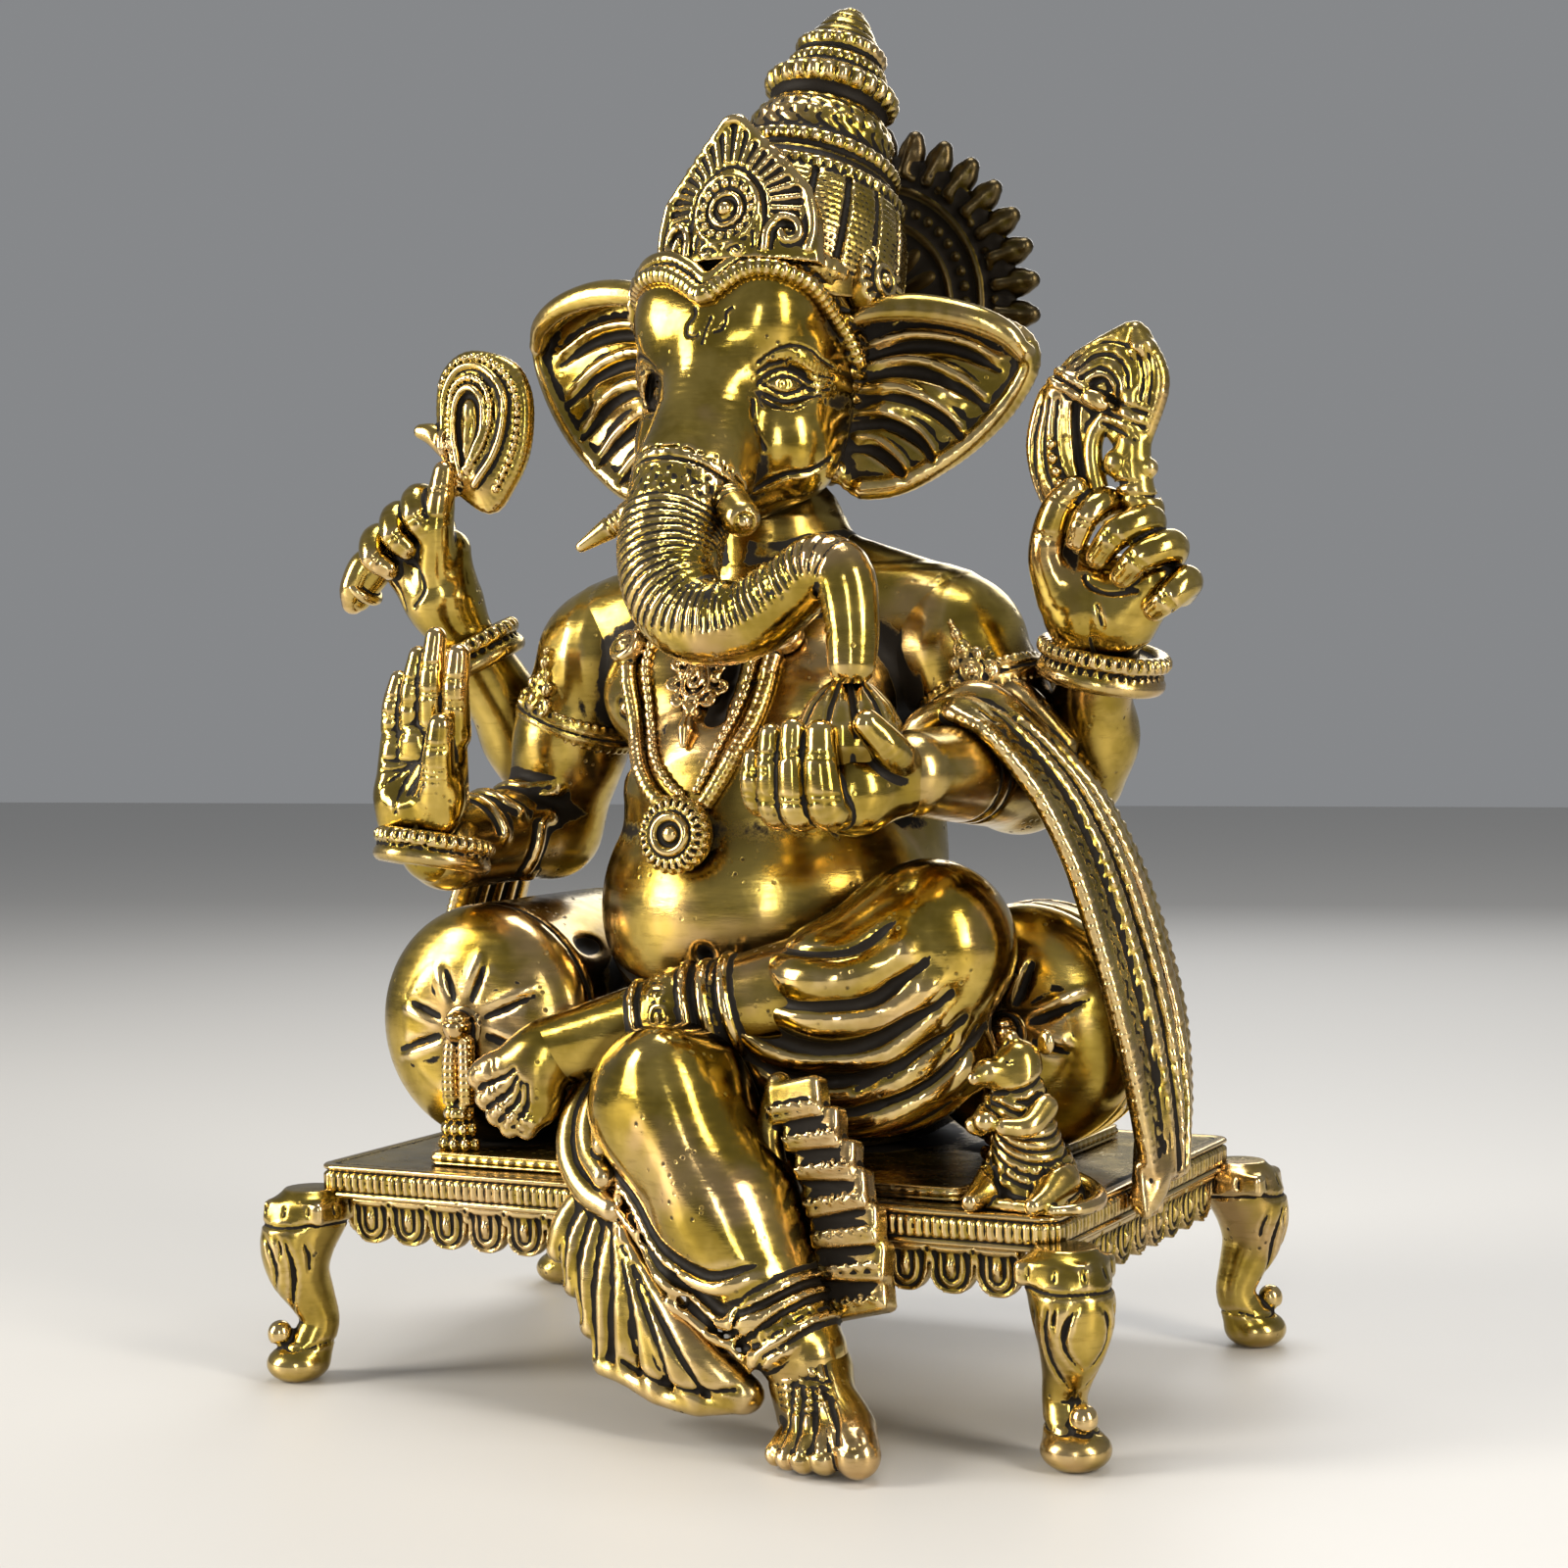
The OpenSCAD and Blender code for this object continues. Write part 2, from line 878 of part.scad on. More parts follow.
module shawl_right() {
    rungs = [[-74, 14, 136], [-84, 14, 120], [-92, 14, 104], [-95, 14, 84], [-95, 14, 62]];
    widths = [10, 12, 13, 13, 11];
    color(brass_dark) place() difference() {
        union()
            for (i = [0 : len(rungs) - 2])
                cloth(rungs[i], widths[i], rungs[i + 1], widths[i + 1], 3);
        front_arm_right_shape();
        rear_arm_shape(-1, wrist_rear_right);
        torso_shape();
        both_bolsters();
        translate([0, 0, stool_h / 2]) cube([300, 300, stool_h], center = true);
    }
}

// ---- mouse ----

module mouse() {
    color(brass) place() difference() {
        union() {
            hull() {
                translate([84, -46, stool_h]) cylinder(h = 3, r = 9, $fn = facets);
                ball([84, -47, stool_h + 10], 8);
            }
            limb([84, -47, stool_h + 12], 8, [83, -50, stool_h + 24], 6);
            limb([83, -50, stool_h + 29], 5.6, [80, -57, stool_h + 30], 2.8);
            for (side = [-1, 1]) {
                ball([83 + side * 4, -48, stool_h + 35], 2.6, fine_facets);
                limb([84 + side * 6, -52, stool_h + 20], 2.4, [80, -58, stool_h + 18], 2, fine_facets);
                limb([84 + side * 6, -50, stool_h + 3], 3, [84 + side * 6, -56, stool_h + 2.6], 2.4, fine_facets);
            }
        }
        translate([0, 0, stool_h / 2]) cube([300, 300, stool_h], center = true);
        seat_block();
        crossed_thigh_shape();
        both_bolsters();
    }
}

stool_slab();
apron_front();
apron_back();
apron_right();
apron_left();
leg_front_right();
leg_front_left();
leg_back_right();
leg_back_left();
seat_mat();
bolster_right();
bolster_left();
tassel_right();
tassel_left();
torso();
hips();
hanging_leg();
hanging_foot();
hem_fan();
waist_sash();
crossed_thigh();
crossed_shin();
crossed_foot();
head();
trunk();
tusk_right();
tusk_left();
ear_right();
ear_left();
crown();
crown_plaque();
headband();
rosette_right();
rosette_left();
halo();
front_arm_right();
front_hand_right();
front_arm_left();
front_hand_left();
rear_arm_right();
rear_hand_right();
rear_arm_left();
rear_hand_left();
bracelet_front_right();
bracelet_rear_right();
bracelet_rear_left();
armlet_right();
armlet_left();
axe();
noose();
sweet();
necklace();
pendant();
shawl_left();
shawl_right();
mouse();
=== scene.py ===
"""Seated elephant-headed deity on a stool, in antique brass, modelled in clay-like blocks of distances."""

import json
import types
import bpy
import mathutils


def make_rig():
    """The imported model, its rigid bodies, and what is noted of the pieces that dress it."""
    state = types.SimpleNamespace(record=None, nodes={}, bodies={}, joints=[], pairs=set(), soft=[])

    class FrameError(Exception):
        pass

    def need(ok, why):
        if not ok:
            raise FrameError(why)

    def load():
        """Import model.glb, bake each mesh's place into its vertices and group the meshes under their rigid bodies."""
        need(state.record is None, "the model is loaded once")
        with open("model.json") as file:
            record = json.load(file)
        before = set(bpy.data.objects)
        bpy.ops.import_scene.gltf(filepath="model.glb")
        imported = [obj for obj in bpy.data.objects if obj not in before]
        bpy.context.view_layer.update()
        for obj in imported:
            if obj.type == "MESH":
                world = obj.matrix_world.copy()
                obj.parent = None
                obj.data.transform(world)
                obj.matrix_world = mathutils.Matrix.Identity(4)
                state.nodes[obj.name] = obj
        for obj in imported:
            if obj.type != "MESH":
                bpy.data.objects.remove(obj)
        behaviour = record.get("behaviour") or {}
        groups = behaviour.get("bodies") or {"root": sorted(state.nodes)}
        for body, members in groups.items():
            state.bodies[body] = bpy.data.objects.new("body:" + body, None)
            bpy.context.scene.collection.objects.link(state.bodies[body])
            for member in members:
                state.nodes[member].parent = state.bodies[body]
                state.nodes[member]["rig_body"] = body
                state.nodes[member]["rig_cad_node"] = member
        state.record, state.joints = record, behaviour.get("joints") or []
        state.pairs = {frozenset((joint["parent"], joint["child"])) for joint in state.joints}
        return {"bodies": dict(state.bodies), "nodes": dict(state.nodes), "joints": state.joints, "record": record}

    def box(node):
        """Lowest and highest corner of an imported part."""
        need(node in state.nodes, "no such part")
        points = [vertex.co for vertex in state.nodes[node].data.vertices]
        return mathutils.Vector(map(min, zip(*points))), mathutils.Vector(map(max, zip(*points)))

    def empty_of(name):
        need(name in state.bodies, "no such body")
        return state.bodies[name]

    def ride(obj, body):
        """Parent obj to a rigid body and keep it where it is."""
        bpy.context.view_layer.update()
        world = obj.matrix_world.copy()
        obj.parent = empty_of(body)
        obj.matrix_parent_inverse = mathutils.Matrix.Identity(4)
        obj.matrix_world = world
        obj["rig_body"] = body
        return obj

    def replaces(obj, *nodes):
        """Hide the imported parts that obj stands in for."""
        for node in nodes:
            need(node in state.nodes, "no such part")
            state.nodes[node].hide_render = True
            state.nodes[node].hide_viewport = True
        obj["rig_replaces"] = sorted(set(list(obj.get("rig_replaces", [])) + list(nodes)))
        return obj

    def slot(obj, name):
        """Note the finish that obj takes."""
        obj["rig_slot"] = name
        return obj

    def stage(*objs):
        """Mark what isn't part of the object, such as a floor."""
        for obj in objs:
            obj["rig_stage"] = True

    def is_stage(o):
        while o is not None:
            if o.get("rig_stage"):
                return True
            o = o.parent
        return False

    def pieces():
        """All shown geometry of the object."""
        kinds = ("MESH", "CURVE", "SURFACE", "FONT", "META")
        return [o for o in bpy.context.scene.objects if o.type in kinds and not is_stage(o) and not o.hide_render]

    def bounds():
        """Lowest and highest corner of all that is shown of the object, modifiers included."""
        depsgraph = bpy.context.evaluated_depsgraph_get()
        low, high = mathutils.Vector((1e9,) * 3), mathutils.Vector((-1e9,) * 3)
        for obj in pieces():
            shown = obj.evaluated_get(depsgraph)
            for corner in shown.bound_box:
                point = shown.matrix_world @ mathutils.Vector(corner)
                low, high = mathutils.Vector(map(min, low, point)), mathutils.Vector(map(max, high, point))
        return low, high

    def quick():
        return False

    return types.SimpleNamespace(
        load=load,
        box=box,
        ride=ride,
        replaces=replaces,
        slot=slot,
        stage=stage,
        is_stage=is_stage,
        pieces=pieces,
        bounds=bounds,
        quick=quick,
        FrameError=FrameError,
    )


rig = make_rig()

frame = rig.load()

import json
import math
from concurrent.futures import ThreadPoolExecutor
from functools import partial
from threading import Lock

import bpy
import numpy as np
import openvdb
from mathutils import Matrix

CAD_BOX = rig.bounds()

# ---- the frame
# Every length below is in millimetres about the middle of the stool, z = 0 at the soles.
SLAB_LO, SLAB_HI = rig.box("stool_slab")
SLAB_W = 190.0
MM = (SLAB_HI[0] - SLAB_LO[0]) / SLAB_W
MIDDLE = np.array([(SLAB_LO[0] + SLAB_HI[0]) / 2, (SLAB_LO[1] + SLAB_HI[1]) / 2, 0.0])
FAR = 8.0
COARSE = 1.9 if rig.quick() else 1.25


def to_frame(points):
    return np.asarray(points, float) * MM + MIDDLE


# ---- shapes
def vec(*p):
    return np.array(p[0] if len(p) == 1 else p, float)


def unit(v):
    v = vec(v)
    return v / np.linalg.norm(v)


def turned(rx=0.0, ry=0.0, rz=0.0):
    """Rotation about X, then Y, then Z, in degrees."""
    out = np.eye(3)
    for axis, angle in ((0, rx), (1, ry), (2, rz)):
        c, s = math.cos(math.radians(angle)), math.sin(math.radians(angle))
        i, j = (axis + 1) % 3, (axis + 2) % 3
        m = np.eye(3)
        m[i, i], m[i, j], m[j, i], m[j, j] = c, -s, s, c
        out = m @ out
    return out


def facing(axis, up=(0, 0, 1)):
    """Rotation whose local Z points along axis and whose local Y is nearest to up."""
    z = unit(axis)
    x = np.cross(up, z)
    x = unit(x) if np.linalg.norm(x) > 1e-6 else vec(1, 0, 0)
    return np.stack([x, np.cross(z, x), z], axis=1)


class Shape:
    """A distance rule and the box it fills."""

    def __init__(self, rule, lo, hi):
        self.rule, self.lo, self.hi = rule, vec(lo), vec(hi)


def local(x, y, z, c, m):
    """Coordinates about c along the columns of m."""
    x, y, z = x - c[0], y - c[1], z - c[2]
    return [x * m[0, i] + y * m[1, i] + z * m[2, i] for i in range(3)]


def hypot3(a, b, c):
    return np.sqrt(a * a + b * b + c * c)


def egg(c, size, turn=None):
    c, size = vec(c), vec(size)
    m = np.eye(3) if turn is None else turn
    half = np.sqrt(((m * size) ** 2).sum(1))

    def rule(x, y, z):
        a, b, e = local(x, y, z, c, m)
        k0 = hypot3(a / size[0], b / size[1], e / size[2])
        k1 = hypot3(a / size[0] ** 2, b / size[1] ** 2, e / size[2] ** 2)
        return k0 * (k0 - 1) / np.maximum(k1, 1e-9)
    return Shape(rule, c - half, c + half)


def bar(a, ra, b=None, rb=None):
    """A tapered round bar, or a ball when only one end is given."""
    a = vec(a)
    b, rb = (a, ra) if b is None else (vec(b), rb)
    ab = b - a
    ll = max(float(ab @ ab), 1e-9)

    def rule(x, y, z):
        px, py, pz = x - a[0], y - a[1], z - a[2]
        t = np.clip((px * ab[0] + py * ab[1] + pz * ab[2]) / ll, 0, 1)
        return hypot3(px - t * ab[0], py - t * ab[1], pz - t * ab[2]) - (ra + t * (rb - ra))
    return Shape(rule, np.minimum(a - ra, b - rb), np.maximum(a + ra, b + rb))


def block(c, half, turn=None, soft=0.6):
    """A box with rounded edges."""
    c, half = vec(c), vec(half)
    m = np.eye(3) if turn is None else turn
    reach = np.abs(m) @ half

    def rule(x, y, z):
        q = [np.abs(v) - h + soft for v, h in zip(local(x, y, z, c, m), half)]
        outside = hypot3(*[np.maximum(v, 0) for v in q])
        return outside + np.minimum(np.maximum(np.maximum(q[0], q[1]), q[2]), 0) - soft
    return Shape(rule, c - reach, c + reach)


def disc(c, r, half_t, turn=None, soft=0.6):
    """A round plate whose axis is its local Z."""
    c = vec(c)
    m = np.eye(3) if turn is None else turn
    reach = np.abs(m) @ vec(r, r, half_t)

    def rule(x, y, z):
        a, b, e = local(x, y, z, c, m)
        q0, q1 = np.sqrt(a * a + b * b) - r + soft, np.abs(e) - half_t + soft
        outside = np.sqrt(np.maximum(q0, 0) ** 2 + np.maximum(q1, 0) ** 2)
        return outside + np.minimum(np.maximum(q0, q1), 0) - soft
    return Shape(rule, c - reach, c + reach)


def ring(c, big, small, turn=None, squash=1.0):
    """A torus about its local Z, its section squashed along that axis."""
    c = vec(c)
    m = np.eye(3) if turn is None else turn
    reach = np.abs(m) @ vec(big + small, big + small, small)

    def rule(x, y, z):
        a, b, e = local(x, y, z, c, m)
        return np.sqrt((np.sqrt(a * a + b * b) - big) ** 2 + (e / squash) ** 2) - small
    return Shape(rule, c - reach, c + reach)


# ---- curves
def curve(points, step=1.0, closed=False):
    """A smooth curve through the points (Catmull-Rom), resampled to an even step."""
    p = np.asarray(points, float)
    p = np.vstack([p[-1], p, p[:2]]) if closed else np.vstack([2 * p[0] - p[1], p, 2 * p[-1] - p[-2]])
    t = np.linspace(0, 1, 13)[:-1, None]
    out = []
    for i in range(1, len(p) - 2):
        a, b, c, d = p[i - 1:i + 3]
        out.append(0.5 * (2 * b + (c - a) * t + (2 * a - 5 * b + 4 * c - d) * t ** 2
                          + (3 * b - a - 3 * c + d) * t ** 3))
    out = np.vstack(out + [p[-2][None]])
    run = np.concatenate([[0], np.cumsum(np.linalg.norm(np.diff(out[:, :3], axis=0), axis=1))])
    n = max(2, int(round(run[-1] / step)) + 1)
    at = np.linspace(0, run[-1], n)
    return np.stack([np.interp(at, run, out[:, k]) for k in range(p.shape[1])], 1)


def arc(c, r, start, end, n, turn=None):
    """Points on a circle about the local Z of turn, angles in degrees from its local X."""
    a = np.radians(np.linspace(start, end, n))
    p = np.stack([r * np.cos(a), r * np.sin(a), 0 * a], 1)
    return p @ (np.eye(3) if turn is None else turn).T + vec(c)


def mix(a, b, t):
    return vec(a) * (1 - t) + vec(b) * t


def rod(points, step=2.0):
    """A smooth run of tapered bars through points given as x, y, z, radius."""
    p = curve(points, step)
    return links(p[:, :3], p[:, 3])


def profile(c, turn, outline, wave=None):
    """A turned shape about its local Z.

    The outline is (height, radius) points, and wave(angle, height) is added to the radius.
    """
    c, outline = vec(c), np.asarray(outline, float)
    at, r = outline[:, 0], outline[:, 1]
    fine = np.linspace(at[0], at[-1], 400)
    width = np.interp(fine, at, r)
    lean = np.abs(np.gradient(width, fine))
    lean = np.convolve(lean, np.ones(9) / 9, "same")
    bound = r.max() + 2
    reach = np.abs(turn) @ vec(bound, bound, max(abs(at[0]), abs(at[-1])))

    def rule(x, y, z):
        a, b, e = local(x, y, z, c, turn)
        rho = np.sqrt(a * a + b * b)
        wide = np.interp(e, fine, width)
        if wave is not None:
            wide = wide + wave(np.arctan2(b, a), e)
        side = (rho - wide) / np.sqrt(1 + np.interp(e, fine, lean) ** 2)
        return np.maximum(side, np.maximum(at[0] - e, e - at[-1]))
    return Shape(rule, c - reach, c + reach)


# ---- clay
def smin(a, b, k):
    if k <= 0:
        return np.minimum(a, b)
    h = np.maximum(k - np.abs(a - b), 0)
    return np.minimum(a, b) - h * h / (4 * k)


class Clay:
    """A block of signed distances that shapes are added to and cut from."""

    def __init__(self, lo, hi, step):
        step = step * COARSE
        self.step = step
        self.lo = np.floor(vec(lo) / step - 2) * step
        self.n = np.ceil((vec(hi) + 2 * step - self.lo) / step).astype(int) + 1
        self.d = np.full(self.n, FAR, np.float32)
        self.skin = None

    def window(self, lo, hi, margin):
        a = np.clip(np.floor((lo - margin - self.lo) / self.step).astype(int), 0, self.n)
        b = np.clip(np.ceil((hi + margin - self.lo) / self.step).astype(int) + 1, 0, self.n)
        if (b - a < 1).any():
            return None
        axes = [(self.lo[i] + self.step * np.arange(a[i], b[i])).astype(np.float32) for i in range(3)]
        x, y, z = axes[0][:, None, None], axes[1][None, :, None], axes[2][None, None, :]
        return tuple(slice(a[i], b[i]) for i in range(3)), x, y, z

    def field(self, shapes, margin):
        """The union of shapes over their common window."""
        margin = max(margin, FAR if len(shapes) < 4 else 0)
        lo = np.min([s.lo for s in shapes], 0)
        hi = np.max([s.hi for s in shapes], 0)
        w = self.window(lo, hi, margin)
        if w is None:
            return None, None
        where = w[0]
        out = np.full(self.d[where].shape, FAR, np.float32)
        start = [s.start for s in where]
        for s in shapes:
            v = self.window(s.lo, s.hi, margin)
            if v is None:
                continue
            sub = tuple(slice(q.start - o, q.stop - o) for q, o in zip(v[0], start))
            out[sub] = np.minimum(out[sub], s.rule(*v[1:]))
        return where, out

    def add(self, shapes, k=0.0):
        """Adds the shapes, blended over k millimetres."""
        shapes = shapes if isinstance(shapes, (list, tuple)) else [shapes]
        where, f = self.field(shapes, k + 2.5 * self.step)
        if where is not None:
            self.d[where] = smin(self.d[where], f, k)
        return self

    def cut(self, shapes, k=0.0, grow=0.0):
        """Cuts away the shapes, each larger by grow, with an edge softened over k millimetres."""
        shapes = shapes if isinstance(shapes, (list, tuple)) else [shapes]
        where, f = self.field(shapes, k + grow + 2.5 * self.step)
        if where is not None:
            self.d[where] = -smin(-self.d[where], f - grow, k)
        return self

    def keep(self, shapes, k=0.0):
        """Keeps only what is inside the shapes."""
        shapes = shapes if isinstance(shapes, (list, tuple)) else [shapes]
        whole = np.full(self.n, FAR, np.float32)
        where, f = self.field(shapes, k + 2.5 * self.step)
        whole[where] = f
        self.d = -smin(-self.d, -whole, k)
        return self

    def sample(self, p):
        q = (np.asarray(p) - self.lo) / self.step
        i = np.clip(np.floor(q).astype(int), 0, self.n - 2)
        f = np.clip(q - i, 0, 1)
        out = 0
        for dx in (0, 1):
            for dy in (0, 1):
                for dz in (0, 1):
                    w = (f[:, 0] if dx else 1 - f[:, 0]) * (f[:, 1] if dy else 1 - f[:, 1]) * (
                        f[:, 2] if dz else 1 - f[:, 2])
                    out = out + w * self.d[i[:, 0] + dx, i[:, 1] + dy, i[:, 2] + dz]
        return out

    def drop(self, points, way, reach=70.0, sink=0.0):
        """Moves points along way until they meet the surface; those that miss it are left out."""
        way = unit(way)
        p = np.asarray(points, float).copy()
        hit = np.zeros(len(p), bool)
        for _ in range(140):
            d = self.sample(p)
            hit |= d < 0.15 * self.step
            move = np.where(hit, 0, np.clip(d * 0.8, 0.3 * self.step, 3.0))
            p += move[:, None] * way
            if hit.all() or np.linalg.norm(p - points, axis=1).min() > reach:
                break
        return p[hit] + sink * way

    def slope(self, p):
        h = self.step
        g = np.stack([self.sample(p + h * v) - self.sample(p - h * v) for v in np.eye(3)], 1)
        return g / np.maximum(np.linalg.norm(g, axis=1, keepdims=True), 1e-9)

    def hug(self, points, lift=0.0):
        """Moves points to the nearest place on the surface, then lift off it."""
        p = np.asarray(points, float).copy()
        for _ in range(6):
            p -= self.sample(p)[:, None] * self.slope(p) * 0.9
        return p + lift * self.slope(p) if lift else p

    def part(self, where_axes):
        """Distances of this clay at another clay's grid, blended between its own voxels."""
        out = self.d
        for k, at in enumerate(where_axes):
            q = np.clip((at - self.lo[k]) / self.step, 0, self.n[k] - 1.001)
            i = q.astype(int)
            f = (q - i).reshape([-1 if j == k else 1 for j in range(3)]).astype(np.float32)
            out = np.take(out, i, axis=k) * (1 - f) + np.take(out, i + 1, axis=k) * f
        return out

    def axes(self):
        return [self.lo[k] + self.step * np.arange(self.n[k]) for k in range(3)]

    def join(self, other, k, sink=0.25):
        """Runs this shape smoothly into another one, whose skin it stays just under elsewhere."""
        own = self.d
        lo, hi = other.lo + 3 * other.step, other.lo + (other.n - 4) * other.step
        field = np.full(self.n, FAR, np.float32)
        axes = self.axes()
        inside = [np.where((a > lo[i]) & (a < hi[i]))[0] for i, a in enumerate(axes)]
        if all(len(i) for i in inside):
            cut = tuple(slice(i[0], i[-1] + 1) for i in inside)
            field[cut] = other.part([a[s] for a, s in zip(axes, cut)])
        self.d = np.maximum(smin(own, field + sink, k), own - 1.1 * k)
        return self

    # strokes
    def rope(self, points, r, k=0.0):
        if len(points) > 1:
            self.add(links(points, r), k)
        return self

    def groove(self, points, r, k=0.0):
        if len(points) > 1:
            self.cut(links(points, r), k)
        return self

    def beads(self, points, gap, r, k=0.0):
        self.add([bar(p, r) for p in curve(points, gap)], k)
        return self

    def mesh(self):
        if self.skin:
            return self.skin
        grid = openvdb.FloatGrid(FAR)
        grid.copyFromArray(np.clip(self.d, -FAR, FAR), tolerance=0.0)
        p, q = grid.convertToQuads(0.0)
        return p.astype(np.float64) * self.step + self.lo, q.astype(np.int64)


def links(points, r):
    """Tapered bars along a run of points."""
    points = np.asarray(points, float)
    r = np.broadcast_to(np.asarray(r, float), len(points))
    return [bar(points[i], r[i], points[i + 1], r[i + 1]) for i in range(len(points) - 1)]


# ---- meshes
CRUMB = 60  # a loose part with fewer vertices than this is dropped
SHRINK, SWELL = 0.5, 0.52  # one smoothing pass inwards, then one outwards
FINE_PASSES, BROAD_PASSES = 3, 12  # how far a vertex looks for a small and for a wide hollow


def edges_of(quads):
    e = np.concatenate([quads[:, [0, 1]], quads[:, [1, 2]], quads[:, [2, 3]], quads[:, [3, 0]]])
    e.sort(axis=1)
    return np.unique(e, axis=0)


def averaged(values, e, count):
    """Mean of each vertex's neighbours."""
    out = np.empty_like(values)
    for k in range(values.shape[1]):
        v = values[:, k]
        out[:, k] = np.bincount(e[:, 0], v[e[:, 1]], len(v)) + np.bincount(e[:, 1], v[e[:, 0]], len(v))
    return out / count[:, None]


def normals_of(p, q):
    n = np.cross(p[q[:, 2]] - p[q[:, 0]], p[q[:, 3]] - p[q[:, 1]])
    out = np.stack([np.bincount(q.ravel(), np.repeat(n[:, k], 4), len(p)) for k in range(3)], 1)
    return out / np.maximum(np.linalg.norm(out, axis=1, keepdims=True), 1e-12)


def largest_parts(p, q, e):
    """Drops loose crumbs."""
    label = np.arange(len(p))
    while True:
        low = np.minimum(label[e[:, 0]], label[e[:, 1]])
        new = label.copy()
        np.minimum.at(new, e[:, 0], low)
        np.minimum.at(new, e[:, 1], low)
        new = new[new]
        if (new == label).all():
            break
        label = new
    size = np.bincount(label, minlength=len(p))
    keep = size[label] >= CRUMB
    if keep.all():
        return p, q, e
    index = np.cumsum(keep) - 1
    return p[keep], index[q[keep[q].all(1)]], index[e[keep[e].all(1)]]


def finish_mesh(clay):
    """The smoothed mesh of a clay, and how hollow each vertex is at two sizes."""
    p, q = clay.mesh()
    e = edges_of(q)
    p, q, e = largest_parts(p, q, e)
    count = np.maximum(np.bincount(e.ravel(), minlength=len(p)), 1)
    p = p + SHRINK * (averaged(p, e, count) - p)
    p = p - SWELL * (averaged(p, e, count) - p)
    n = normals_of(p, q)
    if np.einsum("ij,ij->i", n, clay.slope(p)).mean() < 0:
        q, n = q[:, ::-1], -n
    cavity = np.zeros((len(p), 2))
    s = p
    for i in range(1, BROAD_PASSES + 1):
        s = averaged(s, e, count)
        if i == FINE_PASSES:
            cavity[:, 0] = np.einsum("ij,ij->i", n, s - p)
    cavity[:, 1] = np.einsum("ij,ij->i", n, s - p)
    for _ in range(2):
        cavity = 0.5 * cavity + 0.5 * averaged(cavity, e, count)
    return p, q, cavity


# ---- pieces
PIECES = {}
UP, FRONT = vec(0, 0, 1), vec(0, -1, 0)


def piece(name, finish):
    def keep(maker):
        PIECES[name] = (maker, finish)
        return maker
    return keep


def pair(name, finish):
    """Registers a maker that takes a side: -1 is the figure's own right, 1 its left."""
    def keep(maker):
        for side, word in ((-1, "right"), (1, "left")):
            PIECES[f"{name}_{word}"] = (partial(maker, side), finish)
        return maker
    return keep


def flip(points, side):
    p = np.array(points, float)
    p[..., 0] *= side
    return p


# ---- trunk of the body ----
def torso_clay():
    c = Clay((-64, -54, 76), (64, 46, 216), 0.7)
    c.add(egg((2, -6, 112), (41, 39, 37)))
    c.add(egg((1, 2, 150), (36, 28, 30)), 8)
    c.add(egg((0, 2, 172), (42, 22, 22)), 8)
    c.add(egg((0, 12, 130), (38, 26, 50)), 10)
    for side in (-1, 1):
        c.add(egg((18 * side, -13, 163), (19, 14, 15)), 7)
        c.add(bar((22 * side, 4, 186), 13, (46 * side, 4, 176), 15), 8)
    c.add(bar((0, 4, 180), 22, (0, 2, 200), 18), 8)
    # the fullness that joins the chest to the belly
    c.add(egg((0, -19, 149), (24, 15, 15)), 8)
    c.add(egg((1, -22, 139), (27, 16, 15)), 8)
    # creases under the chest, the hollow between the breasts, the lower belly line
    c.groove(c.hug(curve([(-40, -6, 147), (-31, -20, 146), (-24, -27, 148)], 2)), 1.6, 3)
    c.groove(c.hug(curve([(24, -27, 148), (34, -20, 146), (42, -4, 147)], 2)), 1.6, 3)
    c.groove(c.hug(curve([(0, -26, 176), (1, -27, 164), (1, -26, 154)], 2)), 1.6, 4)
    c.groove(c.hug(curve([(-36, -28, 96), (-18, -42, 90), (2, -46, 88), (24, -42, 91), (38, -28, 97)], 2)),
             1.3, 3)
    # spine, shoulder blades and the fold above the waist
    c.groove(c.hug(curve([(0, 34, 190), (0, 38, 160), (0, 39, 130), (0, 38, 100)], 3)), 2.2, 6)
    for side in (-1, 1):
        c.add(egg((20 * side, 27, 168), (13, 6, 16), turned(rz=12 * side)), 8)
        c.groove(c.hug(curve([(34 * side, 30, 120), (18 * side, 38, 114), (4 * side, 39, 112)], 2)), 1.2, 4)
        # nipple
        at = c.hug([(25.5 * side, -24, 160)])[0]
        turn = facing(c.slope(at[None])[0])
        c.groove(arc(at, 2.6, 0, 360, 15, turn), 0.55)
        c.add(bar(at, 1.2), 0.5)
    at = c.hug([(4, -45, 103)])[0]
    c.cut(bar(at, 2.0, at + vec(0, 3, 0), 1.0), 2)
    return c


TORSO = torso_clay()


@piece("torso", "cast_brass")
def torso():
    return TORSO


@piece("hips", "patinated_brass")
def hips():
    c = Clay((-56, -42, 54.5), (56, 60, 112), 0.8)
    c.add(egg((0, 10, 78), (50, 46, 30)))
    c.add(bar((-30, 16, 76), 17, (30, 16, 76), 17), 6)
    # a rolled waist cord and the gathered folds below it, all round the back
    for k in range(26):
        a = math.radians(-20 + 220 * k / 25)
        top = vec(46 * math.cos(a), 10 + 42 * math.sin(a), 92)
        low = vec(52 * math.cos(a + 0.10), 10 + 48 * math.sin(a + 0.10), 58)
        c.groove(c.hug(curve([top, mix(top, low, 0.5) + vec(2 * math.cos(a), 2 * math.sin(a), -3), low], 3)),
                 1.3, 2)
    cord = [(46 * math.cos(a), 10 + 42 * math.sin(a), 96) for a in np.radians(np.linspace(-30, 210, 25))]
    c.beads(c.hug(curve(cord, 2)), 2.6, 2.3, 0.8)
    c.cut(block((0, 0, 27.5), (100, 100, 27.2)))
    return c


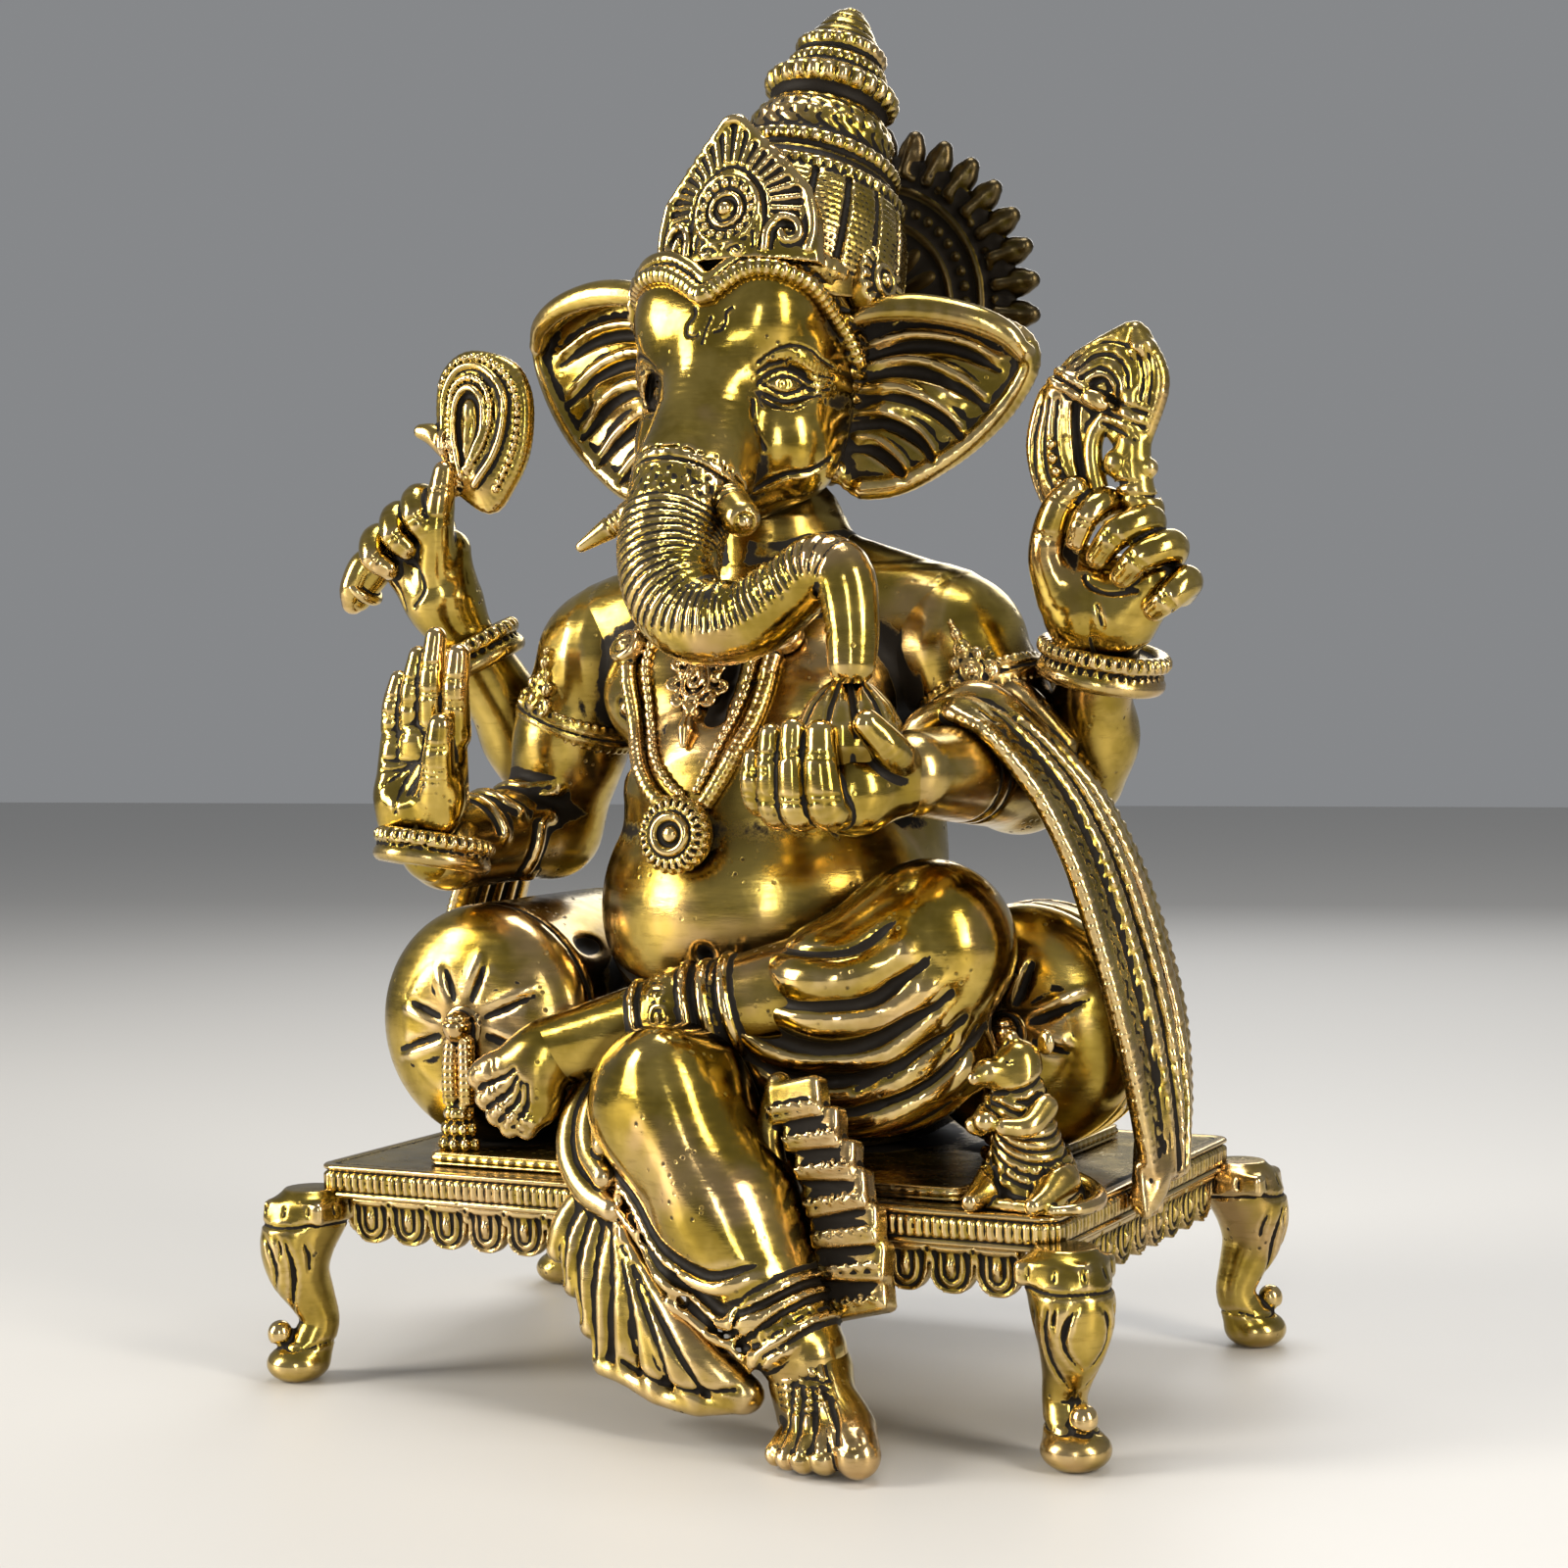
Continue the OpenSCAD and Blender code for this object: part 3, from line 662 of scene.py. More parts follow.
# ---- head ----
EYES = ((17.4, -25.8, 233.8), (-15.6, -25.8, 234.0))


def face_plane(side, n):
    """Across and up directions of the plane an eye is drawn on, with its outward normal."""
    n = unit(n)
    across = unit(np.cross(UP, n)) * side
    return across, UP, n


def draw(c, plane, origin, points, r, raised=0.0):
    """Cuts a smooth line, drawn in a plane, into the surface behind it, or adds it when raised is set."""
    across, up, n = plane
    p = curve([(a, b, 0) for a, b in points], 0.7)
    p = vec(origin) + p[:, :1] * across + p[:, 1:2] * up + 9 * n
    p = c.drop(p, -n, sink=-raised)
    (c.rope if raised else c.groove)(p, r)
    return p


@piece("head", "polished_brass")
def head():
    c = Clay((-30, -50, 196), (30, 26, 272), 0.36)
    c.add(egg((0, -4, 237), (26, 27, 31)))
    c.add(egg((0, -14, 243), (22.5, 21.5, 24)), 5)
    c.add(egg((0, -16, 223), (20, 18, 20)), 5)
    for side in (-1, 1):
        c.add(egg((10.5 * side, -20, 250.5), (12.5, 13, 13.5)), 4)
        c.add(egg((15.5 * side, -15.5, 221), (10, 13, 13)), 5)
        c.add(egg((18 * side, -14, 238), (7, 12, 8)), 4)
    c.add(rod([(1.5, -22, 250, 9), (1.2, -26, 240, 10), (0.6, -29, 230, 11.5), (0, -33, 219, 12.8),
               (-0.5, -37, 213, 13)]), 5)
    for side, eye in ((1, EYES[0]), (-1, EYES[1])):
        eye = vec(eye)
        plane = face_plane(side, (0.8 * side, -0.6, 0))
        across, up, n = plane
        # the socket is sunk, the ball of the eye rises in it
        c.cut(egg(eye + 1.0 * n + 0.3 * across, (6.4, 1.1, 4.2), np.stack([across, n, up], 1)), 3)
        at = c.hug([eye])[0]
        c.add(egg(at - 0.5 * n + 0.4 * across, (5.4, 1.5, 2.7), np.stack([across, n, up], 1)), 0.8)
        for line, r in (([(-4.6, -0.2), (-2.2, 1.3), (0.6, 1.8), (3.2, 1.2), (5.6, -0.3)], 0.42),
                        ([(-4.6, -0.2), (-2.0, -1.7), (0.6, -2.2), (3.4, -1.6), (5.6, -0.3)], 0.42),
                        ([(-6.0, -0.2), (-3.4, 2.4), (0.2, 3.4), (3.8, 2.3), (6.6, 0.7), (12.4, 0.5)], 0.40),
                        ([(6.2, -0.9), (9.0, -1.2), (12.2, -0.8)], 0.40),
                        ([(-4.0, -2.6), (-1.4, -3.7), (1.2, -4.0), (4.6, -3.2), (9.6, -2.4)], 0.42),
                        ([(-4.4, -3.9), (-1.6, -5.4), (1.6, -5.8), (5.2, -4.6)], 0.40),
                        ([(-5.8, 2.6), (-3.2, 4.2), (0.4, 4.9), (4.4, 3.4), (7.8, 2.0), (13.0, 1.6)], 0.45),
                        ([(-6.0, 4.8), (-2.6, 7.4), (2.0, 8.6), (6.4, 7.7), (9.2, 5.8), (13.2, 4.2)], 0.48)):
            draw(c, plane, eye, line, r)
        for k in range(14):
            a = -3.6 + 1.05 * k
            low = 4.6 - 0.012 * (a - 1) ** 2 - 0.18 * max(a - 1, 0)
            draw(c, plane, eye, [(a, low), (a + 0.25, low + 1.9 - 0.04 * k)], 0.28)
        c.groove(arc(c.hug([eye + 0.3 * across])[0], 1.0, 0, 360, 13, facing(n)), 0.34)
        # fold of the cheek below the eye and the mouth's corner
        draw(c, plane, eye, [(-7.5, -4), (-7.8, -9), (-5.0, -15)], 0.55)
        draw(c, plane, eye, [(-5, -24), (0, -21), (6, -20), (12, -17)], 0.9)
    # three curved strokes on the forehead
    plane = (vec(1, 0, 0), UP, FRONT)
    for line, r in (([(-3.0, 4.6), (-2.6, 2.8), (-4.4, 0.6), (-4.2, -1.6), (-2.2, -2.2), (-1.2, -1.6)], 0.48),
                    ([(1.6, 2.2), (0.6, -1.0), (0.0, -3.8)], 0.50),
                    ([(6.6, 4.2), (5.2, 3.2), (5.2, 1.4), (4.4, -0.8), (2.8, -1.4)], 0.48)):
        draw(c, plane, (2.4, -36, 247), line, r)
    return c


TRUNK = [(0, -30, 222, 12.6), (-0.6, -37, 213, 12.9), (-1, -42.5, 205, 12.6), (0, -49, 195, 12.2),
         (4, -54, 185.5, 11.4), (12, -56.5, 179.5, 10.4),
         (24, -57.5, 179.5, 9.2), (35, -59, 185, 8.2), (43.5, -61, 190, 7.2), (49.5, -62, 187.5, 6.8),
         (51.8, -63, 178, 6.1), (52.2, -64, 168, 5.2)]


def banded(c, path, spots, depth, way=None, limit=2.0):
    """Ring grooves around a path. A way and a limit leave a strip smooth on that side."""
    for s in spots:
        i = int(np.clip(s, 1, len(path) - 2))
        at, r = path[i, :3], path[i, 3]
        axis = unit(path[i + 1, :3] - path[i - 1, :3])
        turn = facing(axis, (0.3, -1, 0.2))
        a = np.radians(np.arange(0, 361, 12))
        spoke = np.stack([np.cos(a), np.sin(a), 0 * a], 1) @ turn.T
        p = at + r * spoke
        size = np.full(len(a), float(depth))
        if way is not None:
            size *= np.clip((limit - spoke @ unit(way)) * 5, 0, 1)
        for j in range(len(a) - 1):
            if size[j] > 0.12 or size[j + 1] > 0.12:
                c.cut(bar(p[j], size[j], p[j + 1], size[j + 1]))


@piece("trunk", "polished_brass")
def trunk():
    c = Clay((-17, -74, 160), (62, -16, 234), 0.45)
    path = curve(TRUNK, 0.5)
    c.add(links(path[::4, :3], path[::4, 3]))
    c.join(MADE["head"](), 3.5, 0.35)
    under = vec(0.1, -0.25, -1)
    a = int(np.argmin(np.abs(path[:60, 2] - 211.5)))
    banded(c, path, [a, a + 5], 0.55)
    for k in range(30):
        i = a + 2
        turn = facing(unit(path[i + 1, :3] - path[i - 1, :3]), (0.3, -1, 0.2))
        t = math.radians(12 * k)
        c.add(bar(path[i, :3] + (path[i, 3] - 0.1) * (turn @ vec(math.cos(t), math.sin(t), 0)), 0.95), 0.2)
    # a band of scallops, three rows deep
    for row in range(3):
        i = a + 9 + 5 * row
        turn = facing(unit(path[i + 1, :3] - path[i - 1, :3]), (0, -1, 0))
        for k in range(9):
            t = 90 + 21 * (k - 4 + 0.5 * (row % 2))
            mid = path[i, :3] + path[i, 3] * (turn @ vec(math.cos(math.radians(t)), math.sin(math.radians(t)),
                                                         0))
            n = unit(mid - path[i, :3])
            side = facing(n, unit(path[i + 1, :3] - path[i - 1, :3]))
            c.groove(c.hug(arc(mid, 2.3, 0, 180, 9, side)), 0.42)
            c.groove(c.hug(arc(mid, 1.2, 0, 180, 7, side)), 0.36)
    b = a + 24
    banded(c, path, [b], 0.55, under, 0.9)
    spots, s = [], b + 4.0
    while s < len(path) - 44:
        spots.append(s)
        s += 4.1 - 1.0 * (s - b) / len(path)
    banded(c, path, spots, 0.62, under, 0.62)
    banded(c, path, np.arange(len(path) - 42, len(path) - 12, 3.4), 0.42, (1.0, -0.35, 0.1), 0.0)
    tip = path[-1, :3]
    c.cut(bar(tip + vec(0, 0, -4.6), 2.2, tip, 1.2), 1)
    return c


def tusk(start, end, r0, r1, rings):
    c = Clay(np.minimum(start, end) - 7, np.maximum(start, end) + 7, 0.4)
    path = curve([(*start, r0), (*(mix(start, end, 0.5) + vec(0, -0.6, 0.3)), (r0 + r1) / 2), (*end, r1)],
                 0.5)
    c.add(links(path[:, :3], path[:, 3]))
    banded(c, path, [int(len(path) * f) for f in rings], 0.5)
    return c


@piece("tusk_right", "cast_brass")
def tusk_right():
    return tusk((-8, -38, 208), (-27, -43, 197.5), 5.0, 1.3, (0.46, 0.53, 0.60))


@piece("tusk_left", "cast_brass")
def tusk_left():
    c = tusk((8, -38, 208), (17, -46.6, 202.2), 5.0, 4.3, (0.35, 0.5, 0.65))
    at = vec(18.5, -48.2, 201.2)
    turn = facing((0.6, -0.7, -0.35))
    c.groove(arc(at + 1.2 * turn[:, 2], 2.2, 0, 360, 15, turn), 0.5)
    c.add(bar(at + 1.0 * turn[:, 2], 1.5), 0.4)
    return c


def flap(points, side):
    """Ear points for one side. The ear on the +X side is shorter and droops more towards its tip."""
    low, tall, droop = (236, 0.78, 0.10) if side > 0 else (240.3, 0.93, 0.0)
    tuck = 0.0035 if side > 0 else 0.0015
    return flip([(p[0] - tuck * (p[0] - 20) * max(0, 250 - p[2]), p[1],
                  low + tall * (p[2] - 240) - droop * (p[0] - 20), *p[3:]) for p in points], side)


@pair("ear", "cast_brass")
def ear(side):
    left, right = (16, 72) if side > 0 else (-72, -16)
    c = Clay((left, -14, 200), (right, 16, 272), 0.5)
    rim = [(20, -3, 257), (32, 0, 262.5), (45, 3, 263.5), (57, 5, 260.5), (64.5, 6.5, 256), (66.5, 6, 248),
           (63, 5, 236), (56, 3, 225), (47, 0.5, 216), (38, -2, 210), (28, -4, 208), (21, -5, 213)]
    rim = flap(rim, side)
    c.add([bar(rim[0], 3), bar(rim[-1], 3)])
    mid = flap([(34, -0.5, 236)], side)[0]
    # the leaf of the ear: thin wedges from its root to its rim
    edge = curve(rim, 2.0)
    root = flap([(19, -4, 236)], side)[0]
    c.add([s for p in edge for s in links(curve([root, mix(root, p, 0.5) + vec(0, 2.2, 0), p], 3.0), 2.1)], 0)
    c.add(bar(mid, 3, mid + vec(side * 12, 2, 0), 2.4), 6)
    # the folded rim along the top, and the rolled edge down the outside
    top = flap([(21, -6, 254.5, 2.4), (30, -6, 260.5, 3.3), (42, -4.5, 262.4, 3.8), (54, -2.5, 260.6, 3.6),
                (62, 0, 256.6, 3.2), (65.4, 2, 251.5, 2.2)], side)
    c.add(rod(top, 1.5), 1.2)
    c.add(rod(flap([(66, 3.5, 252, 1.9), (66, 4, 246, 1.8), (62.5, 3.4, 236, 1.9), (56, 1.6, 225.5, 1.9),
                    (47, -0.8, 216.5, 2.0), (38, -3, 210.5, 2.2), (29, -5, 208.5, 2.4)], side), 1.5), 1.4)
    # long curved folds that fan out from the root
    folds = [[(26, -6, 247), (38, -2.5, 252), (50, 0, 251), (60, 2, 246)],
             [(25, -6, 241), (37, -3, 244.5), (48, -1, 242), (58, 1.5, 235)],
             [(25, -6.5, 234), (36, -4, 236), (46, -2, 232), (53.5, 0, 225.5)],
             [(25, -7, 227), (34, -5, 228), (42, -3, 224), (47.5, -1.5, 218)],
             [(25, -7, 220), (31, -6, 220), (37, -4.5, 216), (40.5, -3.5, 212.5)]]
    for line in folds:
        p = curve(flap(line, side), 1.2)
        p = c.drop(p + vec(0, -9, 0), (0, 1, 0))
        if len(p) > 3:
            taper = 1.5 * np.sin(np.linspace(0.25, math.pi - 0.35, len(p)))
            c.groove(p, taper, 0.9)
            up = p + vec(0, 0, 3.0) - vec(0, 0.2, 0)
            up = c.drop(up + vec(0, -6, 0), (0, 1, 0), sink=-0.1)
            if len(up) > 3:
                c.rope(up, 0.9 * np.sin(np.linspace(0.2, math.pi - 0.3, len(up))), 1.2)
    # the hollow under the folded rim
    c.cut(rod(flap([(27, -6.5, 256.5, 1.6), (38, -4.2, 258.6, 2.3), (50, -2.4, 257.2, 2.2),
                    (60, -0.2, 252.6, 1.4)], side), 1.5), 0.8)
    # the back of the ear keeps two soft folds
    for line in ([(24, 3, 250), (40, 8, 252), (56, 9, 248)], [(24, 3, 226), (38, 6, 230), (52, 8, 230)]):
        p = curve(flap(line, side), 2.0)
        p = c.drop(p + vec(0, 9, 0), (0, -1, 0))
        if len(p) > 3:
            c.groove(p, 1.0, 2)
    return c


# ---- crown ----
CROWN_FOOT, CROWN_TIP = vec(4.6, 1.5, 258), vec(12.6, 25, 330)
CROWN_TURN = facing(CROWN_TIP - CROWN_FOOT, FRONT)


def ripple(n, at, half, height, sharp):
    """A band of n bumps around a turned shape, at a height along its axis."""
    def wave(angle, e):
        bump = np.abs(np.cos(angle * n / 2)) ** sharp
        return height * bump * np.clip(1 - ((e - at) / half) ** 2, 0, 1) ** 0.5
    return wave


@piece("crown", "cast_brass")
def crown():
    c = Clay((-30, -30, 256), (38, 38, 334), 0.42)
    length = float(np.linalg.norm(CROWN_TIP - CROWN_FOOT))
    outline = [(-6, 26.0), (0, 27.4), (8, 27.6), (16, 26.4), (22, 24.6), (25, 23.2), (26.5, 23.4),
               (27.5, 22.4), (29, 20.8), (31, 20.2),
               (33, 20.6), (34.6, 20.2), (36, 17.8), (38, 17.4), (42, 17.0), (46, 15.0), (47.5, 13.6),
               (49, 13.8), (51, 15.2), (53.5, 15.4), (55.5, 14.2),
               (56.6, 12.2), (58.2, 11.8), (60, 11.4), (61.2, 10.4), (62.5, 10.8), (64.5, 10.8), (66, 9.4),
               (68, 8.0), (72, 5.6), (75.0, 3.2), (length + 0.2, 0.6)]
    waves = [ripple(54, 25.8, 1.6, 0.9, 0.7), ripple(44, 33.4, 1.9, 1.0, 0.7), ripple(30, 42, 3.2, 0.7, 0.5),
             ripple(26, 52.8, 2.9, 1.5, 0.7), ripple(34, 58.8, 1.3, 0.9, 0.8),
             ripple(26, 63.8, 1.6, 0.7, 0.7)]

    def wave(angle, e):
        # hair or cloth bound in upright ribbed strips below the first rope
        strip = np.abs(np.sin(angle * 9))
        ribs = np.abs(np.sin(e * 2.05 + 2.0 * (strip > 0.45)))
        low = ((e > 1) & (e < 24)).astype(np.float32)
        out = low * (np.where(strip > 0.30, 0.55 * ribs, -0.9 + strip * 1.0))
        # slanting cuts on the tip
        out = out - 0.55 * (e > 66.5) * (np.sin(e * 2.1 + angle) > 0.80)
        # rough leaves between the ropes
        rough = (e > 36.5) & (e < 47)
        out = out + 0.5 * rough * np.abs(np.sin(angle * 11 + e * 0.9)) * np.abs(np.sin(e * 1.1))
        for w in waves:
            out = out + w(angle, e)
        return out
    c.add(profile(CROWN_FOOT, CROWN_TURN, outline, wave))
    for at, r, size in ((28.6, 22.0, 0.7), (35.6, 19.2, 0.8), (30.9, 20.6, 0.6), (48.0, 14.6, 0.9),
                        (57.2, 13.0, 0.6), (61.3, 10.9, 0.6), (66.4, 9.2, 0.5)):
        c.cut(ring(CROWN_FOOT + at * CROWN_TURN[:, 2], r, size, CROWN_TURN))
    # a plait down the back of the hair
    back = CROWN_TURN[:, 1] * -1
    for k in range(7):
        at = CROWN_FOOT + (22 - 3.6 * k) * CROWN_TURN[:, 2] + 25.5 * back
        for s in (-1, 1):
            c.add(egg(at + vec(3.0 * s, 0, 0), (3.8, 2.4, 1.8), turned(ry=28 * s)), 0.5)
    return c


PLAQUE_MID = vec(4.6, -27.6, 274.5)


def plaque_plane():
    n = unit((-0.02, -0.95, 0.22))
    across = unit(np.cross(UP, n))
    return across, np.cross(n, across), n


@piece("crown_plaque", "polished_brass")
def crown_plaque():
    c = Clay((-22, -36, 256), (32, -6, 302), 0.4)
    across, up, n = plaque_plane()

    # an arched plate that wraps a little round the crown
    def rule(x, y, z):
        a, b, e = local(x, y, z, PLAQUE_MID, np.stack([across, up, n], 1))
        bend = e + a * a / 62.0
        half = 21.5 - 0.10 * np.clip(b + 12, 0, 99) - 0.0175 * np.clip(b + 4, 0, 99) ** 2.1
        out = np.maximum(np.abs(a) - half, np.maximum(b - 23.0, -12.0 - b)) * 0.8
        plate = np.abs(bend + 1.6) - 2.2
        return np.maximum(out, plate)
    c.add(Shape(rule, PLAQUE_MID - vec(25, 14, 16), PLAQUE_MID + vec(25, 14, 26)))

    def bent(points):
        p = curve([(a, b, 0) for a, b in points], 0.8)
        p = PLAQUE_MID + p[:, :1] * across + p[:, 1:2] * up + 8 * n
        return c.drop(p, -n)
    # flutes that radiate between the rosette and the rim
    for k in range(21):
        t = math.radians(-14 + 208 * k / 20)
        ax, bx = math.cos(t), math.sin(t)
        r1 = 1 / max(abs(ax) / 18.6, 1e-3) if abs(bx) < 0.35 else min(18.6 / max(abs(ax), 1e-3), 20.5)
        r1 = min(r1, 16.5 + 3.8 * max(bx, 0))
        p = bent([(11.0 * ax, 11.0 * bx), (r1 * ax, r1 * bx)])
        if len(p) > 2:
            c.groove(p, np.linspace(0.6, 1.05, len(p)))
    rim = [(-19.5, -9), (-20, -4), (-19, 2), (-16.6, 8.5), (-12.5, 14.5), (-7, 19.2), (0, 22), (7, 19.2),
           (12.5, 14.5), (16.6, 8.5), (19, 2), (20, -4), (19.5, -9)]
    c.rope(bent(rim), 1.15, 0.6)
    # the rosette: a pointed border, a ring of beads, two rings and a boss
    arch = [(-9.2, -9.5), (-9.8, -3), (-8.6, 4), (-4.8, 8.8), (0, 10.6), (4.8, 8.8), (8.6, 4), (9.8, -3),
            (9.2, -9.5)]
    c.groove(bent(arch), 0.75)
    at = c.drop([PLAQUE_MID + 8 * n], -n)[0]
    turn = facing(n)
    c.rope(c.hug(arc(at, 8.2, 0, 360, 37, turn)), 0.7, 0.3)
    for k in range(15):
        c.add(bar(c.hug(arc(at, 6.4, 24 * k, 24 * k, 1, turn))[0], 1.05), 0.1)
    c.groove(c.hug(arc(at, 4.9, 0, 360, 31, turn)), 0.5)
    c.rope(c.hug(arc(at, 3.9, 0, 360, 25, turn)), 0.65, 0.2)
    c.groove(c.hug(arc(at, 2.8, 0, 360, 21, turn)), 0.5)
    c.add(bar(at + 0.1 * n, 1.7), 0.3)
    # two small scrolls under it and one at each lower corner
    for s in (-1, 1):
        c.rope(bent([(0.6 * s, -9.6), (2.4 * s, -8.6), (4.6 * s, -8.4), (5.6 * s, -9.8), (4.4 * s, -11),
                     (3.2 * s, -10.2)]), 0.62, 0.2)
        c.groove(bent([(7.6 * s, -9.4), (7.4 * s, -6)]), 0.5)
        c.rope(bent([(10.4 * s, -9.6), (10.6 * s, -5), (13.2 * s, -1.8), (16.4 * s, -2.6), (17.4 * s, -6.0),
                     (15.0 * s, -7.6), (13.4 * s, -5.6)]), 0.95, 0.3)
        c.groove(bent([(11.8 * s, -9.6), (12.4 * s, -5.2), (14.2 * s, -3.6)]), 0.6)
    return c


BROWBAND = [(-25.6, -5, 240), (-25.0, -12, 250), (-18.5, -25, 258.4), (-9.5, -31.5, 261),
            (-3.5, -34.5, 258.6), (1.6, -36.5, 255.2), (6.4, -34.5, 258.6), (11.5, -31.5, 261),
            (19.5, -25, 258.2), (25.4, -12, 250), (26.2, -5, 240)]


@piece("headband", "polished_brass")
def headband():
    c = Clay((-31, -42, 232), (31, 26, 272), 0.42)
    base = MADE["head"]()
    p = base.hug(curve(BROWBAND, 1.0), 1.0)
    up = unit(vec(0, 0.5, 1))
    c.add(links(p, 2.0))
    for a, b in zip(curve(p, 1.9)[:-1], curve(p, 1.9)[1:]):
        c.add(ring(mix(a, b, 0.5), 1.5, 0.85, facing(b - a)))
    # a second, plain roll above it, and the roll that goes round the back of the head
    q = p[8:-8] + 4.2 * up + 1.4 * vec(0, 1, 0)
    c.add(links(q, 2.2), 0.3)
    c.groove((p[8:-8] + q) / 2 + 1.2 * base.slope(q), 0.45)
    turn = turned(rx=-16)
    ring_at = arc((0, -4, 258), 26.2, -35, 215, 90, turn)
    c.add(links(ring_at, 3.0), 0.5)
    c.add([bar(s, 3.5) for s in curve(ring_at, 2.6)], 0.2)
    # bound side locks in front of each ear
    for side in (-1, 1):
        for k in range(9):
            z = 249.5 - 3.1 * k
            x = 25.6 - 0.06 * k * k * 0.4
            c.add(rod(flip([(x - 2.0, -13 + 1.0 * k, z + 1.2, 1.0), (x + 0.8, -9 + 1.1 * k, z + 0.4, 1.5),
                            (x + 1.2, -4 + 1.1 * k, z - 0.6, 1.6), (x - 0.6, 1 + k, z - 0.6, 1.2)], side),
                      1.2), 0.25)
    return c


@pair("rosette", "cast_brass")
def rosette(side):
    turn = facing((side * 0.99, -0.1, 0.14))
    at = vec(27 * side, -2, 258)
    c = Clay(at - 13, at + 13, 0.42)
    c.add(disc(at + 3 * turn[:, 2], 8.8, 3.2, turn, 1.2))
    top = at + 6.2 * turn[:, 2]
    for k in range(16):
        ray = turn @ vec(math.cos(math.radians(22.5 * k)), math.sin(math.radians(22.5 * k)), 0)
        c.groove(np.stack([top + 5.4 * ray, top - 0.5 * turn[:, 2] + 9.4 * ray]), 0.62)
    c.groove(arc(top, 5.0, 0, 360, 31, turn), 0.7)
    c.add(ring(top, 3.6, 0.9, turn), 0.2)
    c.add(bar(top, 1.9), 0.3)
    return c


PETALS = 32


@piece("halo", "blackened_brass")
def halo():
    mid = vec(8, 44.5, 259)
    c = Clay(mid - vec(49, 22, 49), mid + vec(49, 9, 49), 0.6)
    turn = facing(FRONT)
    c.add(disc(mid, 38.5, 2.0, turn, 1.0))
    for k in range(PETALS):
        t = 2 * math.pi * (k + 0.5) / PETALS
        ray = vec(math.cos(t), 0, math.sin(t))
        across = vec(-math.sin(t), 0, math.cos(t))
        root, tip = mid + 35 * ray, mid + 43.4 * ray
        c.add(egg(mid + 40.0 * ray + vec(0, -0.4, 0), (4.6, 2.9, 3.6),
                  np.stack([ray, vec(0, 1, 0), across], 1)), 0.5)
        c.add(bar(tip + vec(0, -0.6, 0), 2.3), 0.4)
        c.add(bar(root + vec(0, -2.4, 0), 1.9, mid + 40 * ray + vec(0, -2.2, 0), 1.3), 0.4)
        for s in (-1, 1):
            c.groove(np.stack([mid + 37.5 * ray + s * 1.7 * across + vec(0, -3.4, 0),
                               tip + s * 1.4 * across + vec(0, -2.8, 0)]), 0.5)
            c.groove(np.stack([mid + 37.5 * ray + s * 1.7 * across + vec(0, 2.6, 0),
                               tip + s * 1.4 * across + vec(0, 2.4, 0)]), 0.4)
    for face in (-2.0, 2.0):
        y = vec(0, face, 0)
        c.add(ring(mid + y, 30.5, 1.3, turn), 0.3)
        c.add(ring(mid + y, 22.0, 1.0, turn), 0.3)
        c.add([bar(mid + y + r * vec(math.cos(t), 0, math.sin(t)), 1.15) for r,
               n in ((26.3, 42), (34.0, 52)) for t in np.linspace(0, 2 * math.pi, n, endpoint=False)], 0.1)
        for k in range(16):
            t = 2 * math.pi * k / 16
            ray = vec(math.cos(t), 0, math.sin(t))
            c.add(egg(mid + y + 14.5 * ray, (5.6, 1.0, 2.2),
                      np.stack([ray, vec(0, 1, 0), vec(-math.sin(t), 0, math.cos(t))], 1)), 0.3)
        c.add(egg(mid + y, (7, 1.6, 7)), 0.6)
    c.add(bar((5, 26, 262), 8, (8, 41, 260), 7), 2)
    return c


# ---- bolster outlines, shared by what lies against them ----
BOLSTER_X, BOLSTER_Z, DRUM_R = 63.5, 84, 29


def drum_ends(side):
    """Where the straight part of a bolster starts and ends, front to back."""
    return (-30, 24) if side < 0 else (3, 15)


def bolster_shape(side):
    """The plain cushion: a drum with soft ends, along the depth of the seat."""
    near, far = drum_ends(side)
    t = np.linspace(0.02, math.pi / 2, 12)
    end = [(12 * math.cos(a), DRUM_R * math.sin(a) ** 0.7) for a in t]
    length = far - near
    outline = [(-length - h, r) for h, r in end] + [(h, r) for h, r in end[::-1]]
    return profile((BOLSTER_X * side, near, BOLSTER_Z), facing(FRONT), outline)


# ---- legs and drapery ----
HIP, KNEE, ANKLE = vec(-18, -2, 76), vec(5, -62, 72), vec(42, -72, 21)


def thigh_base(c):
    c.add(bar((24, 0, 84), 24, (54, -30, 106), 17.5))
    c.add(bar((54, -30, 106), 16.5, (38, -44, 98), 15), 8)
    c.add([bar((48, -34, 84), 14.5, (54, -30, 104), 16), bar((48, -34, 84), 14.5, (24, -38, 86), 14.5)], 8)
    c.add(bar((24, -38, 86), 14, (8, -45, 91), 12), 8)
    return c


SWAGS = [  # troughs of the cloth over the raised thigh: three or four places on each, and how deep it is
    ([(24, -50, 108), (33, -55, 105.5), (45, -54, 105.5), (55, -45, 112)], 1.0),
    ([(9, -51, 105), (21, -57, 99), (31, -59, 95), (42, -57, 94), (52, -52, 96), (60, -44, 105)], 1.45),
    ([(7, -55, 99), (17, -59, 93), (28, -57, 86.5), (40, -55, 84), (52, -51, 87), (63, -42, 98)], 1.6),
    ([(12, -58, 91), (22, -55, 82), (31, -52, 77.5), (43, -50, 77), (54, -47, 82), (64, -38, 92)], 1.0),
    ([(26, -52, 76), (36, -48, 70.5), (46, -47, 71), (57, -42, 78), (65, -34, 86)], 1.2),
    ([(36, -44, 66), (48, -42, 66), (60, -36, 73)], 1.0),
]
